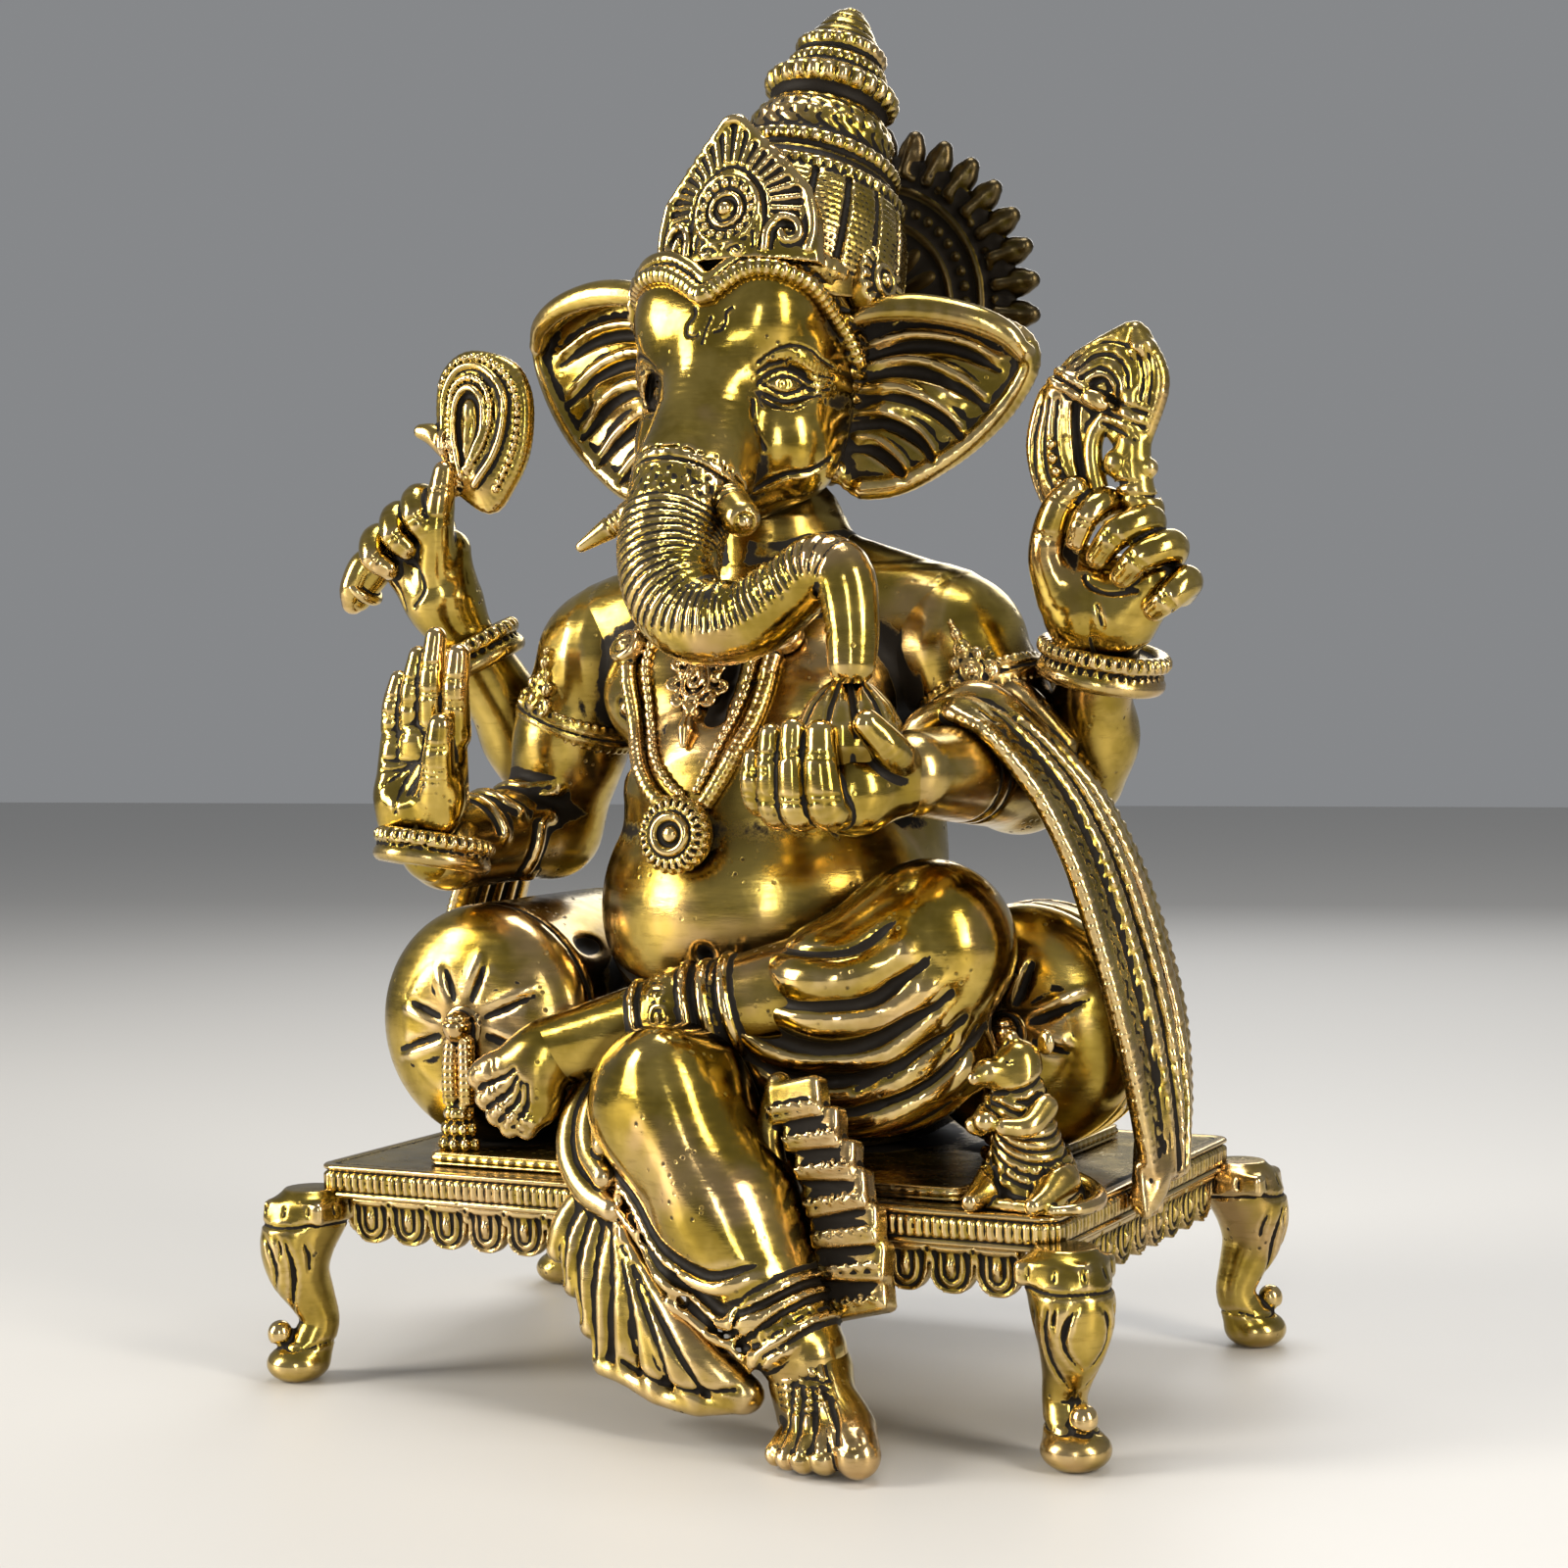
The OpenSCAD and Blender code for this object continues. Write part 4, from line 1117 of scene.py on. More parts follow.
SWELLS = [  # the rounded ridges between them
    ([(16, -52, 106), (26, -57, 102.5), (38, -59, 100.5), (50, -54, 102), (58, -46, 108)], 3.9),
    ([(10, -55, 102), (20, -60, 95), (31, -60, 90.5), (43, -58, 89.5), (54, -52, 92), (62, -43, 101)], 4.4),
    ([(10, -58, 95), (20, -59, 87.5), (31, -56, 81.5), (43, -54, 80.5), (54, -50, 84.5), (64, -40, 95)], 4.2),
    ([(20, -55, 79.5), (32, -51, 73.5), (45, -49, 73.5), (57, -43, 80), (65, -36, 89)], 3.7),
    ([(30, -48, 68), (44, -45, 67.5), (58, -40, 74), (66, -32, 82)], 3.4),
]


@piece("crossed_thigh", "polished_brass")
def crossed_thigh():
    c = Clay((-2, -66, 54.5), (76, 30, 128), 0.6)
    thigh_base(c)
    c.add(rod([(24, -44, 78, 6), (38, -42, 70, 6), (52, -36, 72, 7), (60, -26, 80, 8)], 3), 6)
    for line, r in SWELLS:
        p = c.hug(curve(line, 1.5), -0.5 * r)
        c.rope(p, r * np.clip(3.0 * np.sin(np.linspace(0.12, math.pi - 0.1, len(p))), 0.15, 1), 2.8)
    for line, r in SWAGS:
        p = c.hug(curve(line, 1.5), 0.3)
        c.groove(p, r * np.clip(2.0 * np.sin(np.linspace(0.1, math.pi - 0.05, len(p))), 0.1, 1), 1.0)
    # thin creases that run off the knee
    for line in ([(60, -40, 88), (54, -46, 79), (44, -49, 75)], [(66, -30, 88), (60, -38, 78), (50, -43, 71)],
                 [(67, -27, 94), (69, -24, 84), (66, -22, 74)]):
        c.groove(c.hug(curve(line, 1.5)), 0.55, 0.5)
    c.cut(block((0, 0, 27.4), (120, 120, 27.5)))
    return c


@piece("crossed_shin", "polished_brass")
def crossed_shin():
    c = Clay((-44, -76, 66), (54, -28, 114), 0.55)
    c.add(bar((38, -44, 98), 13, (4, -50.5, 89.5), 11))
    c.add(bar((4, -50.5, 89.5), 11, (-30, -57, 81), 7.6), 3)
    c.add(bar((4, -51.5, 93), 8, (-28, -58.5, 83.5), 5.5), 3)
    # the patterned hem: an inner cord, a band of curls and the gathered outer cords
    axis = unit(vec(38, -44, 98) - vec(-30, -57, 81))
    turn = facing(axis, (0, -1, 0))

    def hoop(t, r):
        return arc(mix((-30, -57, 81), (38, -44, 98), t), r, 0, 360, 40, turn)
    for t, r, size in ((0.36, 12.0, 1.1), (0.535, 13.2, 1.2), (0.60, 13.8, 1.3), (0.67, 14.2, 1.4)):
        c.rope(c.hug(hoop(t, r)), size, 0.6)
    for t, r in ((0.385, 12.2), (0.51, 13.2), (0.568, 13.7), (0.635, 14.3)):
        c.groove(c.hug(hoop(t, r)), 0.8)
    for k in range(14):
        a = 2 * math.pi * k / 14
        spot = mix((-30, -57, 81), (38, -44, 98), 0.448) + 12.4 * (turn @ vec(math.cos(a), math.sin(a), 0))
        spot = c.hug([spot])[0]
        side = facing(c.slope(spot[None])[0], axis)
        c.rope(c.hug(arc(spot, 2.1, 20, 300, 13, side)), 0.55)
        c.add(bar(c.hug([spot + 0.5 * side[:, 0]])[0], 0.85))
    return c


@piece("crossed_foot", "cast_brass")
def crossed_foot():
    c = Clay((-54, -74, 55), (-12, -48, 96), 0.42)
    ankle = vec(-29, -57, 81)
    c.add(bar(ankle, 8.6, (-34, -59.5, 77.5), 8.2))
    toes = [((-36.5, -62.5, 78, 5.4), (-40.5, -64, 77.2, 4.6), (-43.2, -64.4, 76.2, 3.6)),
            ((-35.5, -62.5, 74.6, 4.6), (-39.2, -64.5, 72.6, 3.7), (-41.6, -65, 71.2, 2.9)),
            ((-33.6, -62.5, 72, 4.4), (-36.8, -64.8, 69.4, 3.5), (-39, -65, 67.6, 2.7)),
            ((-31.4, -62, 70.4, 4.4), (-34, -64.5, 67.2, 3.4), (-35.8, -64.6, 65, 2.6)),
            ((-28.8, -61, 70.4, 4.2), (-30.6, -63.6, 67, 3.2), (-32, -63.6, 64.4, 2.4))]
    c.add(rod([(*(ankle + vec(-2, -3, 0)), 6), (-30, -61, 73, 6), (-31, -61.5, 69, 4)], 2), 3)
    for toe in toes:
        c.add(rod([(*(ankle + vec(0, -3, -1)), 5.5), *toe], 1.5), 0.7)
    for a, b in zip(toes[:-1], toes[1:]):
        p = curve([mix(ankle, mix(a[0][:3], b[0][:3], 0.5), 0.55), mix(a[0][:3], b[0][:3], 0.5),
                   mix(a[1][:3], b[1][:3], 0.5), mix(a[2][:3], b[2][:3], 0.5)], 1.0)
        c.groove(c.drop(p + vec(0, -10, 0), (0, 1, 0)), 0.75, 0.3)
    for i, toe in enumerate(toes):
        tip = vec(toe[2][:3])
        way = unit(vec(toe[2][:3]) - vec(toe[1][:3]))
        nail = c.drop([tip - 0.6 * way + vec(0, -9, 0)], (0, 1, 0))
        if len(nail):
            turn = facing((0, -1, 0), way)
            size = 2.1 if i == 0 else 1.35
            c.groove(c.hug(arc(nail[0], size, -60, 240, 13, turn)), 0.38)
        for back in (4.0, 5.2):
            mid = tip - (back + (1.6 if i == 0 else 0)) * way
            across = unit(np.cross(way, (0, -1, 0)))
            p = c.drop(curve([mid - 2.2 * across, mid + 0.5 * way, mid + 2.2 * across], 0.7) + vec(0, -9, 0),
                       (0, 1, 0))
            c.groove(p, 0.36)
    return c


@piece("hanging_leg", "polished_brass")
def hanging_leg():
    c = Clay((-40, -92, 14), (58, 18, 98), 0.6)
    calf = mix(KNEE, ANKLE, 0.45)
    c.add(bar(HIP, 19, KNEE, 17.5))
    c.add(bar(KNEE, 17.5, calf, 16), 5)
    c.add(bar(calf, 16, ANKLE, 9.5), 5)
    # shin bone and the flat beside it
    c.add(rod([(8, -72, 82, 8), (17, -75, 62, 8), (28, -75.5, 44, 7), (38, -76, 28, 5)], 4), 6)
    # cloth drawn down across the calf: each fold laps over the next
    folds = [([(-10, -71, 56), (2, -79, 47.5), (13, -82, 41.5), (25, -82.5, 39), (37, -81, 42)], 1.6),
             ([(-12, -68, 51), (-2, -77, 38), (10, -81.5, 31), (24, -81.5, 30.5), (39, -80, 35)], 1.8),
             ([(-2, -75, 30), (12, -80, 23.5), (26, -81, 22), (36, -80.5, 24), (44, -78, 30)], 1.7)]
    for line, r in folds:
        p = c.hug(curve(line, 1.5))
        p = p[np.abs(c.sample(p)) < 0.5]
        fade = np.clip(2.2 * np.sin(np.linspace(0.1, math.pi - 0.1, len(p))), 0.1, 1)
        c.rope(p + vec(0, 0, -r * 1.5) + c.slope(p) * -0.2, r * fade, 2.5)
        c.groove(c.hug(p, 0.3), r * 0.8 * fade, 0.5)
    # ankle cuff
    axis = unit(ANKLE - KNEE)
    turn = facing(axis, (0, -1, 0))
    for t, r, size in ((0.80, 12.2, 1.1), (0.855, 12.0, 1.0), (0.95, 11.2, 1.4)):
        c.rope(c.hug(arc(mix(KNEE, ANKLE, t), r, 0, 360, 37, turn)), size, 0.8)
    for t, r in ((0.828, 12.6), (0.885, 12.0), (0.975, 11.2)):
        c.groove(c.hug(arc(mix(KNEE, ANKLE, t), r, 0, 360, 37, turn)), 0.9, 0.2)
    for k in range(12):
        a = 2 * math.pi * k / 12
        spot = mix(KNEE, ANKLE, 0.912) + 11.6 * (turn @ vec(math.cos(a), math.sin(a), 0))
        side = facing(turn @ vec(math.cos(a), math.sin(a), 0), axis)
        c.rope(c.hug(arc(spot, 1.3, 0, 290, 10, side)), 0.45)
    c.cut(block((0, 0, 27.4), (68, 48, 27.4)))
    c.cut(block((0, 0, 25.8), (110, 58.8, 26)))
    return c


@piece("hanging_foot", "cast_brass")
def hanging_foot():
    c = Clay((32, -94, 0), (72, -58, 28), 0.42)
    c.add(bar((43, -71, 18), 8.6, (43, -70, 8.2), 8.0))
    c.add([bar((44, -73, 16), 7.6, (50, -82, 8), 5.5), bar((45, -74, 15), 7.5, (57, -82, 8.5), 6.0)], 5)
    toes = [((55, -80, 9.5, 6.2), (60, -86, 7.4, 5.4), (62.2, -88.4, 5.6, 4.9)),
            ((51, -80, 9, 4.8), (54, -86.5, 6.8, 4.0), (55.2, -89.4, 4.6, 3.6)),
            ((48, -79, 8.5, 4.4), (49.8, -86, 6, 3.6), (50.4, -89.4, 4.0, 3.2)),
            ((45.5, -78, 8, 4.2), (46, -84.5, 5.4, 3.3), (46, -88, 3.6, 2.9)),
            ((43, -76, 7.5, 4.0), (42.4, -82, 4.8, 3.0), (42, -85.4, 3.2, 2.7))]
    for toe in toes:
        c.add(rod([(44.5, -73, 14, 6.5), *toe], 1.5), 0.8)
    for a, b in zip(toes[:-1], toes[1:]):
        p = curve([mix(vec(45, -75, 18), mix(a[0][:3], b[0][:3], 0.5), 0.75), mix(a[0][:3], b[0][:3], 0.6),
                   mix(a[1][:3], b[1][:3], 0.5), mix(a[2][:3], b[2][:3], 0.5) + vec(0, -1, 0)], 1.0)
        c.groove(c.drop(p + vec(0, -4, 12), (0, 0.3, -1)), 0.95, 0.3)
    for toe in toes:
        tip, knuckle = vec(toe[2][:3]), vec(toe[1][:3])
        n = unit((0, -0.45, 0.9))
        nail = c.drop([tip + vec(0, -1.4, 0) + 10 * n], -n)
        if len(nail):
            c.groove(c.hug(arc(nail[0], 0.55 * toe[2][3], 150, 390, 13, facing(n, unit(knuckle - tip)))), 0.4)
    # cords of the instep
    for x in (44, 46.5, 49, 51.5):
        p = curve([(x - 2.5, -77, 22), (x + 0.5, -80, 18), (x + 3.2, -83, 15)], 1.0)
        c.groove(c.hug(p), 0.5, 0.3)
    for k in range(5):
        c.groove(c.hug(curve([(40, -78 - 0.8 * k, 17.5 - 1.4 * k), (46, -81 - 1.0 * k, 19 - 1.7 * k),
                              (52, -79 - 1.0 * k, 17.5 - 1.5 * k)], 1.0)), 0.42, 0.3)
    c.cut(block((50, -75, -5), (60, 60, 5)))
    return c


@piece("hem_fan", "patinated_brass")
def hem_fan():
    c = Clay((-34, -84, 4), (46, -56, 80), 0.55)
    pleats = [((-17, -62.5, 51, 2.6), (-21, -64, 44, 3.8), (-23, -64.5, 38, 3.4)),
              ((-13, -64, 51, 2.6), (-17, -66, 40, 4.0), (-17.5, -66.5, 31, 3.6)),
              ((-10, -65.5, 50, 2.6), (-12.5, -68, 35, 4.0), (-12, -68.5, 22.5, 3.6)),
              ((-7, -67, 48, 2.6), (-7, -70, 31, 4.0), (-8, -70, 15.5, 3.6)),
              ((-5, -69, 46, 2.6), (-1, -72, 28, 4.2), (-1, -72, 14.5, 3.8)),
              ((-3, -71, 44, 2.6), (6, -74, 25, 4.6), (8.5, -75, 12, 4.0)),
              ((0, -72, 40, 2.6), (13, -76, 21, 5.0), (19, -76.5, 11, 4.2)),
              ((4, -73, 36, 2.6), (20, -77.5, 20, 5.0), (30, -76.5, 12.5, 4.2))]
    for p in pleats:
        c.add(rod(p, 2), 0.9)
    for a, b in zip(pleats[:-1], pleats[1:]):
        line = curve([mix(a[0][:3], b[0][:3], 0.5), mix(a[1][:3], b[1][:3], 0.5),
                      mix(a[2][:3], b[2][:3], 0.5) + vec(0, 0, -3)], 1.2)
        for way in (1, -1):
            p = c.drop(line + vec(0, -11 * way, 0), (0, way, 0))
            c.groove(p, np.linspace(0.8, 1.35, len(p)), 0.3)
    # the rolled lower edge, with a small flute at each pleat
    low = [vec(p[2][:3]) + vec(0, -1.5, -1.4) for p in pleats]
    c.rope(curve(low[3:], 1.5), 2.4, 1.0)
    c.groove(c.hug(curve([q + vec(0, -3, 3.4) for q in low[4:]], 1.2)), 0.8)
    # cloth that spills off the lap beside the knee
    for spill in ([(-18, -54, 76, 3), (-21.5, -59, 68, 3.4), (-20.5, -63, 59, 3.6), (-14, -67, 52, 3.4),
                   (-6, -70, 49, 3)],
                  [(-13, -56, 77, 3), (-16, -61, 69, 3.2), (-14.5, -65, 61, 3.2), (-8, -70, 56, 2.8)],
                  [(-9, -60, 78, 2.6), (-11, -64, 70, 3), (-8.5, -69, 63, 2.8)]):
        c.add(rod(spill, 2), 0.8)
    c.cut(block((0, 0, 25.8), (110, 58.6, 26)))
    c.cut(block((0, 0, 27.4), (68, 48, 27.4)))
    return c


@piece("waist_sash", "patinated_brass")
def waist_sash():
    c = Clay((20, -76, 26), (72, -54, 84), 0.5)
    spine = curve([(36.5, -61.6, 74, 6.6), (42.5, -62.4, 65, 7.0), (47, -63.2, 54, 7.8), (50, -64, 43, 8.6),
                   (50.5, -64.4, 33, 9)], 7.6)
    for k, (x, y, z, w) in enumerate(spine):
        c.add(block((x, y, z), (w, 3.2, 4.6), turned(ry=-14 + 5 * (k % 3), rx=-17), 1.4), 0.4)
        for s in np.linspace(-0.72, 0.72, 5):
            at = vec(x + s * w, y - 3.9, z + 0.2 * s * w)
            c.rope(arc(at, 1.35, 200, 340, 7, facing(FRONT)), 0.5, 0.1)
            c.add(bar(at, 0.6))
    c.add(rod([(31, -60, 77, 3), (30, -63, 66, 3), (34, -65, 52, 3), (38, -66, 40, 3)], 2), 0.6)
    c.cut(block((0, 0, 25.8), (110, 58.8, 26)))
    return c


# ---- arms and hands ----
def creases(c, at, way, n, half, count=2, gap=1.1):
    """Short curved lines across a finger, seen from side n."""
    across = unit(np.cross(way, n))
    for k in range(count):
        mid = vec(at) + gap * (k - (count - 1) / 2) * unit(way)
        p = c.drop(curve([mid - half * across, mid - 0.35 * unit(way), mid + half * across],
                         0.6) + 9 * unit(n), -unit(n))
        c.groove(p, 0.36)


@piece("front_arm_right", "cast_brass")
def front_arm_right():
    c = Clay((-86, -52, 112), (-30, 26, 192), 0.65)
    c.add(bar((-50, 2, 172), 15, (-66, 4, 130), 12.5))
    c.add(bar((-66, 4, 130), 12.5, (-69, -38, 127), 10.5), 4)
    c.add(egg((-58, 0, 152), (13, 13, 16)), 5)
    c.join(TORSO, 5, 0.3)
    # gathered sleeve folds that wind round the elbow
    for line in ([(-56, -8, 141), (-64, -12, 139), (-74, -8, 138), (-78, 2, 136)],
                 [(-54, -12, 134), (-60, -16, 130), (-62, -18, 122), (-60, -14, 117)],
                 [(-57, -22, 136), (-63, -24, 137), (-72, -20, 136), (-78, -10, 133)],
                 [(-58, -30, 130), (-64, -30, 136), (-73, -28, 135), (-79, -22, 130)]):
        p = c.hug(curve(line, 1.5))
        c.rope(p, 1.5, 2.0)
        c.groove(c.hug(p + vec(0.5, -2.4, 0.3)), 0.8, 0.6)
    return c


@piece("front_hand_right", "polished_brass")
def front_hand_right():
    c = Clay((-92, -62, 118), (-50, -34, 184), 0.42)
    y = -46.0
    c.add(bar((-70, -42, 127), 8.5, (-71.5, y, 140), 8.5))
    c.add([bar((-77.5, y, 141), 5.6, (-77, y, 152), 4.6), bar((-72, y, 138), 6.5, (-71, y, 153), 5),
           bar((-65, y, 139), 6.5, (-63.5, y, 152), 5)], 3.5)
    c.add(egg((-63.5, y - 3, 139), (6.2, 4.6, 10), turned(ry=14)), 2.5)
    c.add(egg((-77, y - 2, 136), (5, 4.4, 9), turned(ry=-6)), 2.5)
    c.cut(egg((-71.5, y - 8.6, 146), (5.6, 4.2, 7)), 3)
    fingers = [((-78.6, y, 153, 3.1), (-77.6, y - 1, 161, 2.9), (-76.2, y - 0.5, 167.5, 2.3)),
               ((-73.4, y, 154, 3.4), (-71.8, y - 1.4, 164.5, 3.1), (-70.4, y - 0.6, 173, 2.5)),
               ((-67.2, y, 155, 3.5), (-66.2, y - 1.6, 167, 3.2), (-65.4, y - 0.6, 177.4, 2.6)),
               ((-60.8, y + 0.4, 154, 3.5), (-59.6, y - 1.4, 164.5, 3.3), (-58.6, y - 1.4, 173, 2.8))]
    for f in fingers:
        c.add(rod(f, 1.2), 0.5)
    c.add(rod([(-63, y - 4, 140, 5), (-61.2, y - 7, 148, 3.9), (-59.6, y - 8, 156.5, 3.1)], 1.2), 1.6)
    n = unit((0.15, -1, 0.05))
    for f in fingers:
        a, tip = vec(f[0][:3]), vec(f[-1][:3])
        way = unit(tip - a)
        creases(c, a + 0.6 * way, way, n, 3.0)
        creases(c, mix(a, tip, 0.40), way, n, 3.0)
        creases(c, mix(a, tip, 0.70), way, n, 2.6)
    creases(c, (-60.6, y - 8, 151.5), (0.15, 0, 1), n, 3.0)
    creases(c, (-62.4, y - 6, 145), (0.15, 0, 1), n, 3.4, 3, 1.3)
    plane = (vec(1, 0, 0), UP, n)
    for line in ([(-8, 4.2), (-4, 4.0), (-1, 3.6), (1.2, 4.4)], [(-8.6, 1.8), (-4.6, 1.8), (-0.6, 3.0)],
                 [(-8, -2.2), (-4.2, 0.4), (0.4, 3.4)],
                 [(-3.4, -8.4), (-2.9, -4), (-1.2, 0.4), (2.2, 4.2)], [(-0.2, -3.6), (1.0, -1.2), (2.8, 0.6)],
                 [(3.2, -4.6), (4.4, -2.2), (6.2, -1.2)]):
        draw(c, plane, (-71, y, 144), line, 0.48)
    return c


def cuff(c, at, axis, r, w, teeth, flare):
    """A bracelet: a rope between two ribbed lips."""
    turn = facing(axis)
    z = turn[:, 2]
    c.add(disc(at, r, w / 2, turn, 1.0))
    for s, big in ((-1, r + flare * 0.4), (1, r + flare)):
        c.add(ring(at + s * (w / 2 - 0.4) * z, big - 0.8, 2.1, turn), 0.3)
    for k in range(teeth):
        a = 2 * math.pi * k / teeth
        ray = turn @ vec(math.cos(a), math.sin(a), 0)
        c.groove(np.stack([at + (w / 2 + 1.4) * z + (r + flare + 0.4) * ray,
                           at + 0.25 * w * z + (r + flare + 1.4) * ray]), 0.6)
        c.add(bar(at - 0.1 * w * z + (r + 0.2) * ray, 0.85))
    c.groove(arc(at + 0.22 * w * z, r + 0.6, 0, 360, 45, turn), 0.6)
    c.groove(arc(at - 0.30 * w * z, r + 0.4, 0, 360, 45, turn), 0.6)
    return c


@piece("bracelet_front_right", "patinated_brass")
def bracelet_front_right():
    at = vec(-69.5, -43.5, 126.5)
    c = Clay(at - (18, 18, 12), at + (18, 18, 12), 0.42)
    return cuff(c, at, (0.10, 0.16, 1), 12.6, 5, 34, 0.8)


@piece("bracelet_rear_right", "patinated_brass")
def bracelet_rear_right():
    at = vec(-84, -2, 174)
    c = Clay(at - 18, at + 18, 0.42)
    return cuff(c, at, vec(-93, -9, 197) - at, 11.6, 5.5, 30, 1.0)


@piece("bracelet_rear_left", "patinated_brass")
def bracelet_rear_left():
    at = vec(84.5, 1, 168)
    c = Clay(at - 19, at + 19, 0.42)
    return cuff(c, at, (0.24, -0.10, 0.97), 13.4, 6, 38, 1.0)


@pair("rear_arm", "cast_brass")
def rear_arm(side):
    wrist = vec(84, 1, 168) if side > 0 else vec(-84, -2, 174)
    low = np.minimum((side * 34, -12, 128), (side * 100, -12, 128))
    high = np.maximum((side * 34, 34, 196), (side * 100, 34, 196))
    c = Clay(low, high, 0.65)
    elbow = vec(72 * side, 15, 143)
    c.add(bar((44 * side, 14, 172), 14, elbow, 11))
    c.add(bar(elbow, 11, wrist, 8.5), 4)
    c.add(egg(mix(elbow, wrist, 0.35) + (2 * side, 2, 0), (10.5, 10.5, 12)), 4)
    c.join(TORSO, 5, 0.3)
    for t in (0.3, 0.36, 0.72, 0.8):
        turn = facing(elbow - vec(44 * side, 14, 172))
        at = mix((44 * side, 14, 172), elbow, t)
        c.groove(c.hug(arc(at, 13.4 - 3 * t, 0, 360, 33, turn)), 0.5, 0.4)
    return c


@piece("rear_hand_right", "polished_brass")
def rear_hand_right():
    c = Clay((-120, -30, 168), (-72, 4, 228), 0.42)
    c.add(bar((-84, -2, 174), 7.4, (-89.5, -7, 188), 8.8))
    c.add([bar((-89.5, -7, 188), 9.2, (-96, -9, 196), 8.0), bar((-88, -8, 190), 8, (-86, -9, 200), 5.5)], 4)
    c.add(bar((-96, -6, 197), 7.0, (-93, -6, 206), 6.0), 4)
    knuckles = [((-89, -8, 211, 3.6), (-91.2, -14.5, 213, 4.0), (-89.6, -18.6, 208.5, 3.4),
                 (-87.4, -17.6, 204.5, 2.8)),
                ((-95, -8, 207, 3.8), (-97.4, -14.6, 208.8, 4.1), (-95.8, -19, 204, 3.5),
                 (-92.8, -18, 200.4, 2.8)),
                ((-100.5, -8, 202, 3.8), (-103.6, -14.6, 203.4, 4.1), (-102, -19, 198.6, 3.5),
                 (-98.4, -18, 195.6, 2.8))]
    for k in knuckles:
        c.add(rod(k, 1.2), 0.35)
    c.add(rod([(-102, -8, 196, 3.8), (-107, -14, 197.6, 4.0), (-110.4, -16, 191.6, 3.6),
               (-112.0, -14.4, 187.6, 3.0)], 1.2), 0.4)
    thumb = [(-88, -12, 194, 5.4), (-85.6, -15, 203, 4.2), (-84.2, -15.4, 212, 3.7),
             (-83.2, -14.6, 219.2, 3.0)]
    c.add(rod(thumb, 1.2), 1.4)
    n = vec(0.35, -0.93, 0)
    for k in knuckles:
        e, f = (vec(q[:3]) for q in k[2:])
        creases(c, mix(e, f, 0.2), e - f, n, 3.2)
    creases(c, (-84.8, -15, 207.5), (0.1, 0, 1), n, 3.4)
    creases(c, (-83.7, -15, 215.0), (0.1, 0, 1), n, 3.0)
    for line in ([(-93, -17, 197), (-90, -17, 195.5), (-88.5, -17, 190), (-92, -16, 186)],
                 [(-98, -15, 193), (-96, -15, 189), (-95.5, -14, 186)]):
        c.groove(c.hug(curve(line, 1.2)), 0.6, 0.3)
    return c


@piece("rear_hand_left", "polished_brass")
def rear_hand_left():
    c = Clay((68, -30, 162), (118, 6, 216), 0.42)
    c.add(bar((84.5, 1, 168), 8.5, (86, -6, 180), 10))
    c.add([bar((83, -8, 180), 8.5, (80, -9, 192), 6.0), bar((93, -8, 179), 8.5, (100, -9, 186), 6.5)], 4)
    c.add(egg((88, -7, 184), (13, 8, 9)), 4)
    knuckles = [((90, -6, 201, 3.4), (91, -13, 204, 3.7), (88.6, -18.4, 200.5, 3.2), (86, -18, 195.8, 2.7)),
                ((98, -6, 197, 3.8), (100.6, -13, 199.4, 4.1), (95.8, -18.8, 196.6, 3.6),
                 (91.0, -18, 191.8, 2.9)),
                ((103, -6, 191, 3.8), (106, -13, 193.6, 4.0), (101.2, -18.6, 191.2, 3.5),
                 (96.6, -17.8, 187.4, 2.9)),
                ((106, -6, 184, 3.6), (109.2, -12, 185.8, 3.8), (107.0, -16.8, 182.4, 3.3),
                 (103.4, -16.4, 179.8, 2.7))]
    for k in knuckles:
        c.add(rod(k, 1.2), 0.35)
    c.add(rod([(80, -11, 184, 6.4), (77.6, -14, 193, 4.6), (80.4, -15, 202, 4.2), (84.4, -15, 207, 3.3)],
              1.2), 1.4)
    n = vec(0.45, -0.89, 0)
    for k in knuckles:
        e, f = (vec(q[:3]) for q in k[2:])
        creases(c, mix(e, f, 0.25), e - f, n, 3.2)
    creases(c, (78.4, -15, 196.5), (0.15, 0, 1), n, 3.8)
    creases(c, (82.2, -15, 204.4), (0.5, 0, 0.8), n, 3.2)
    for line in ([(86, -17, 192), (88, -17, 186), (93, -16, 183.5), (99, -15, 184)],
                 [(90, -16, 181), (91, -15, 177)]):
        c.groove(c.hug(curve(line, 1.2)), 0.55, 0.3)
    return c


@piece("front_arm_left", "cast_brass")
def front_arm_left():
    c = Clay((30, -62, 124), (82, 24, 192), 0.65)
    c.add(bar((50, 2, 172), 15, (64, 0, 143), 13))
    c.add(bar((64, 0, 143), 13, (60, -50, 145), 9.5), 4)
    c.add(egg((57, 0, 158), (13.5, 13, 15)), 5)
    c.join(TORSO, 5, 0.3)
    for t in (0.50, 0.58):
        turn = facing((0.1, 1, 0))
        c.groove(c.hug(arc(mix((64, 0, 143), (60, -50, 145), t), 11, 0, 360, 33, turn)), 0.6, 0.4)
    return c


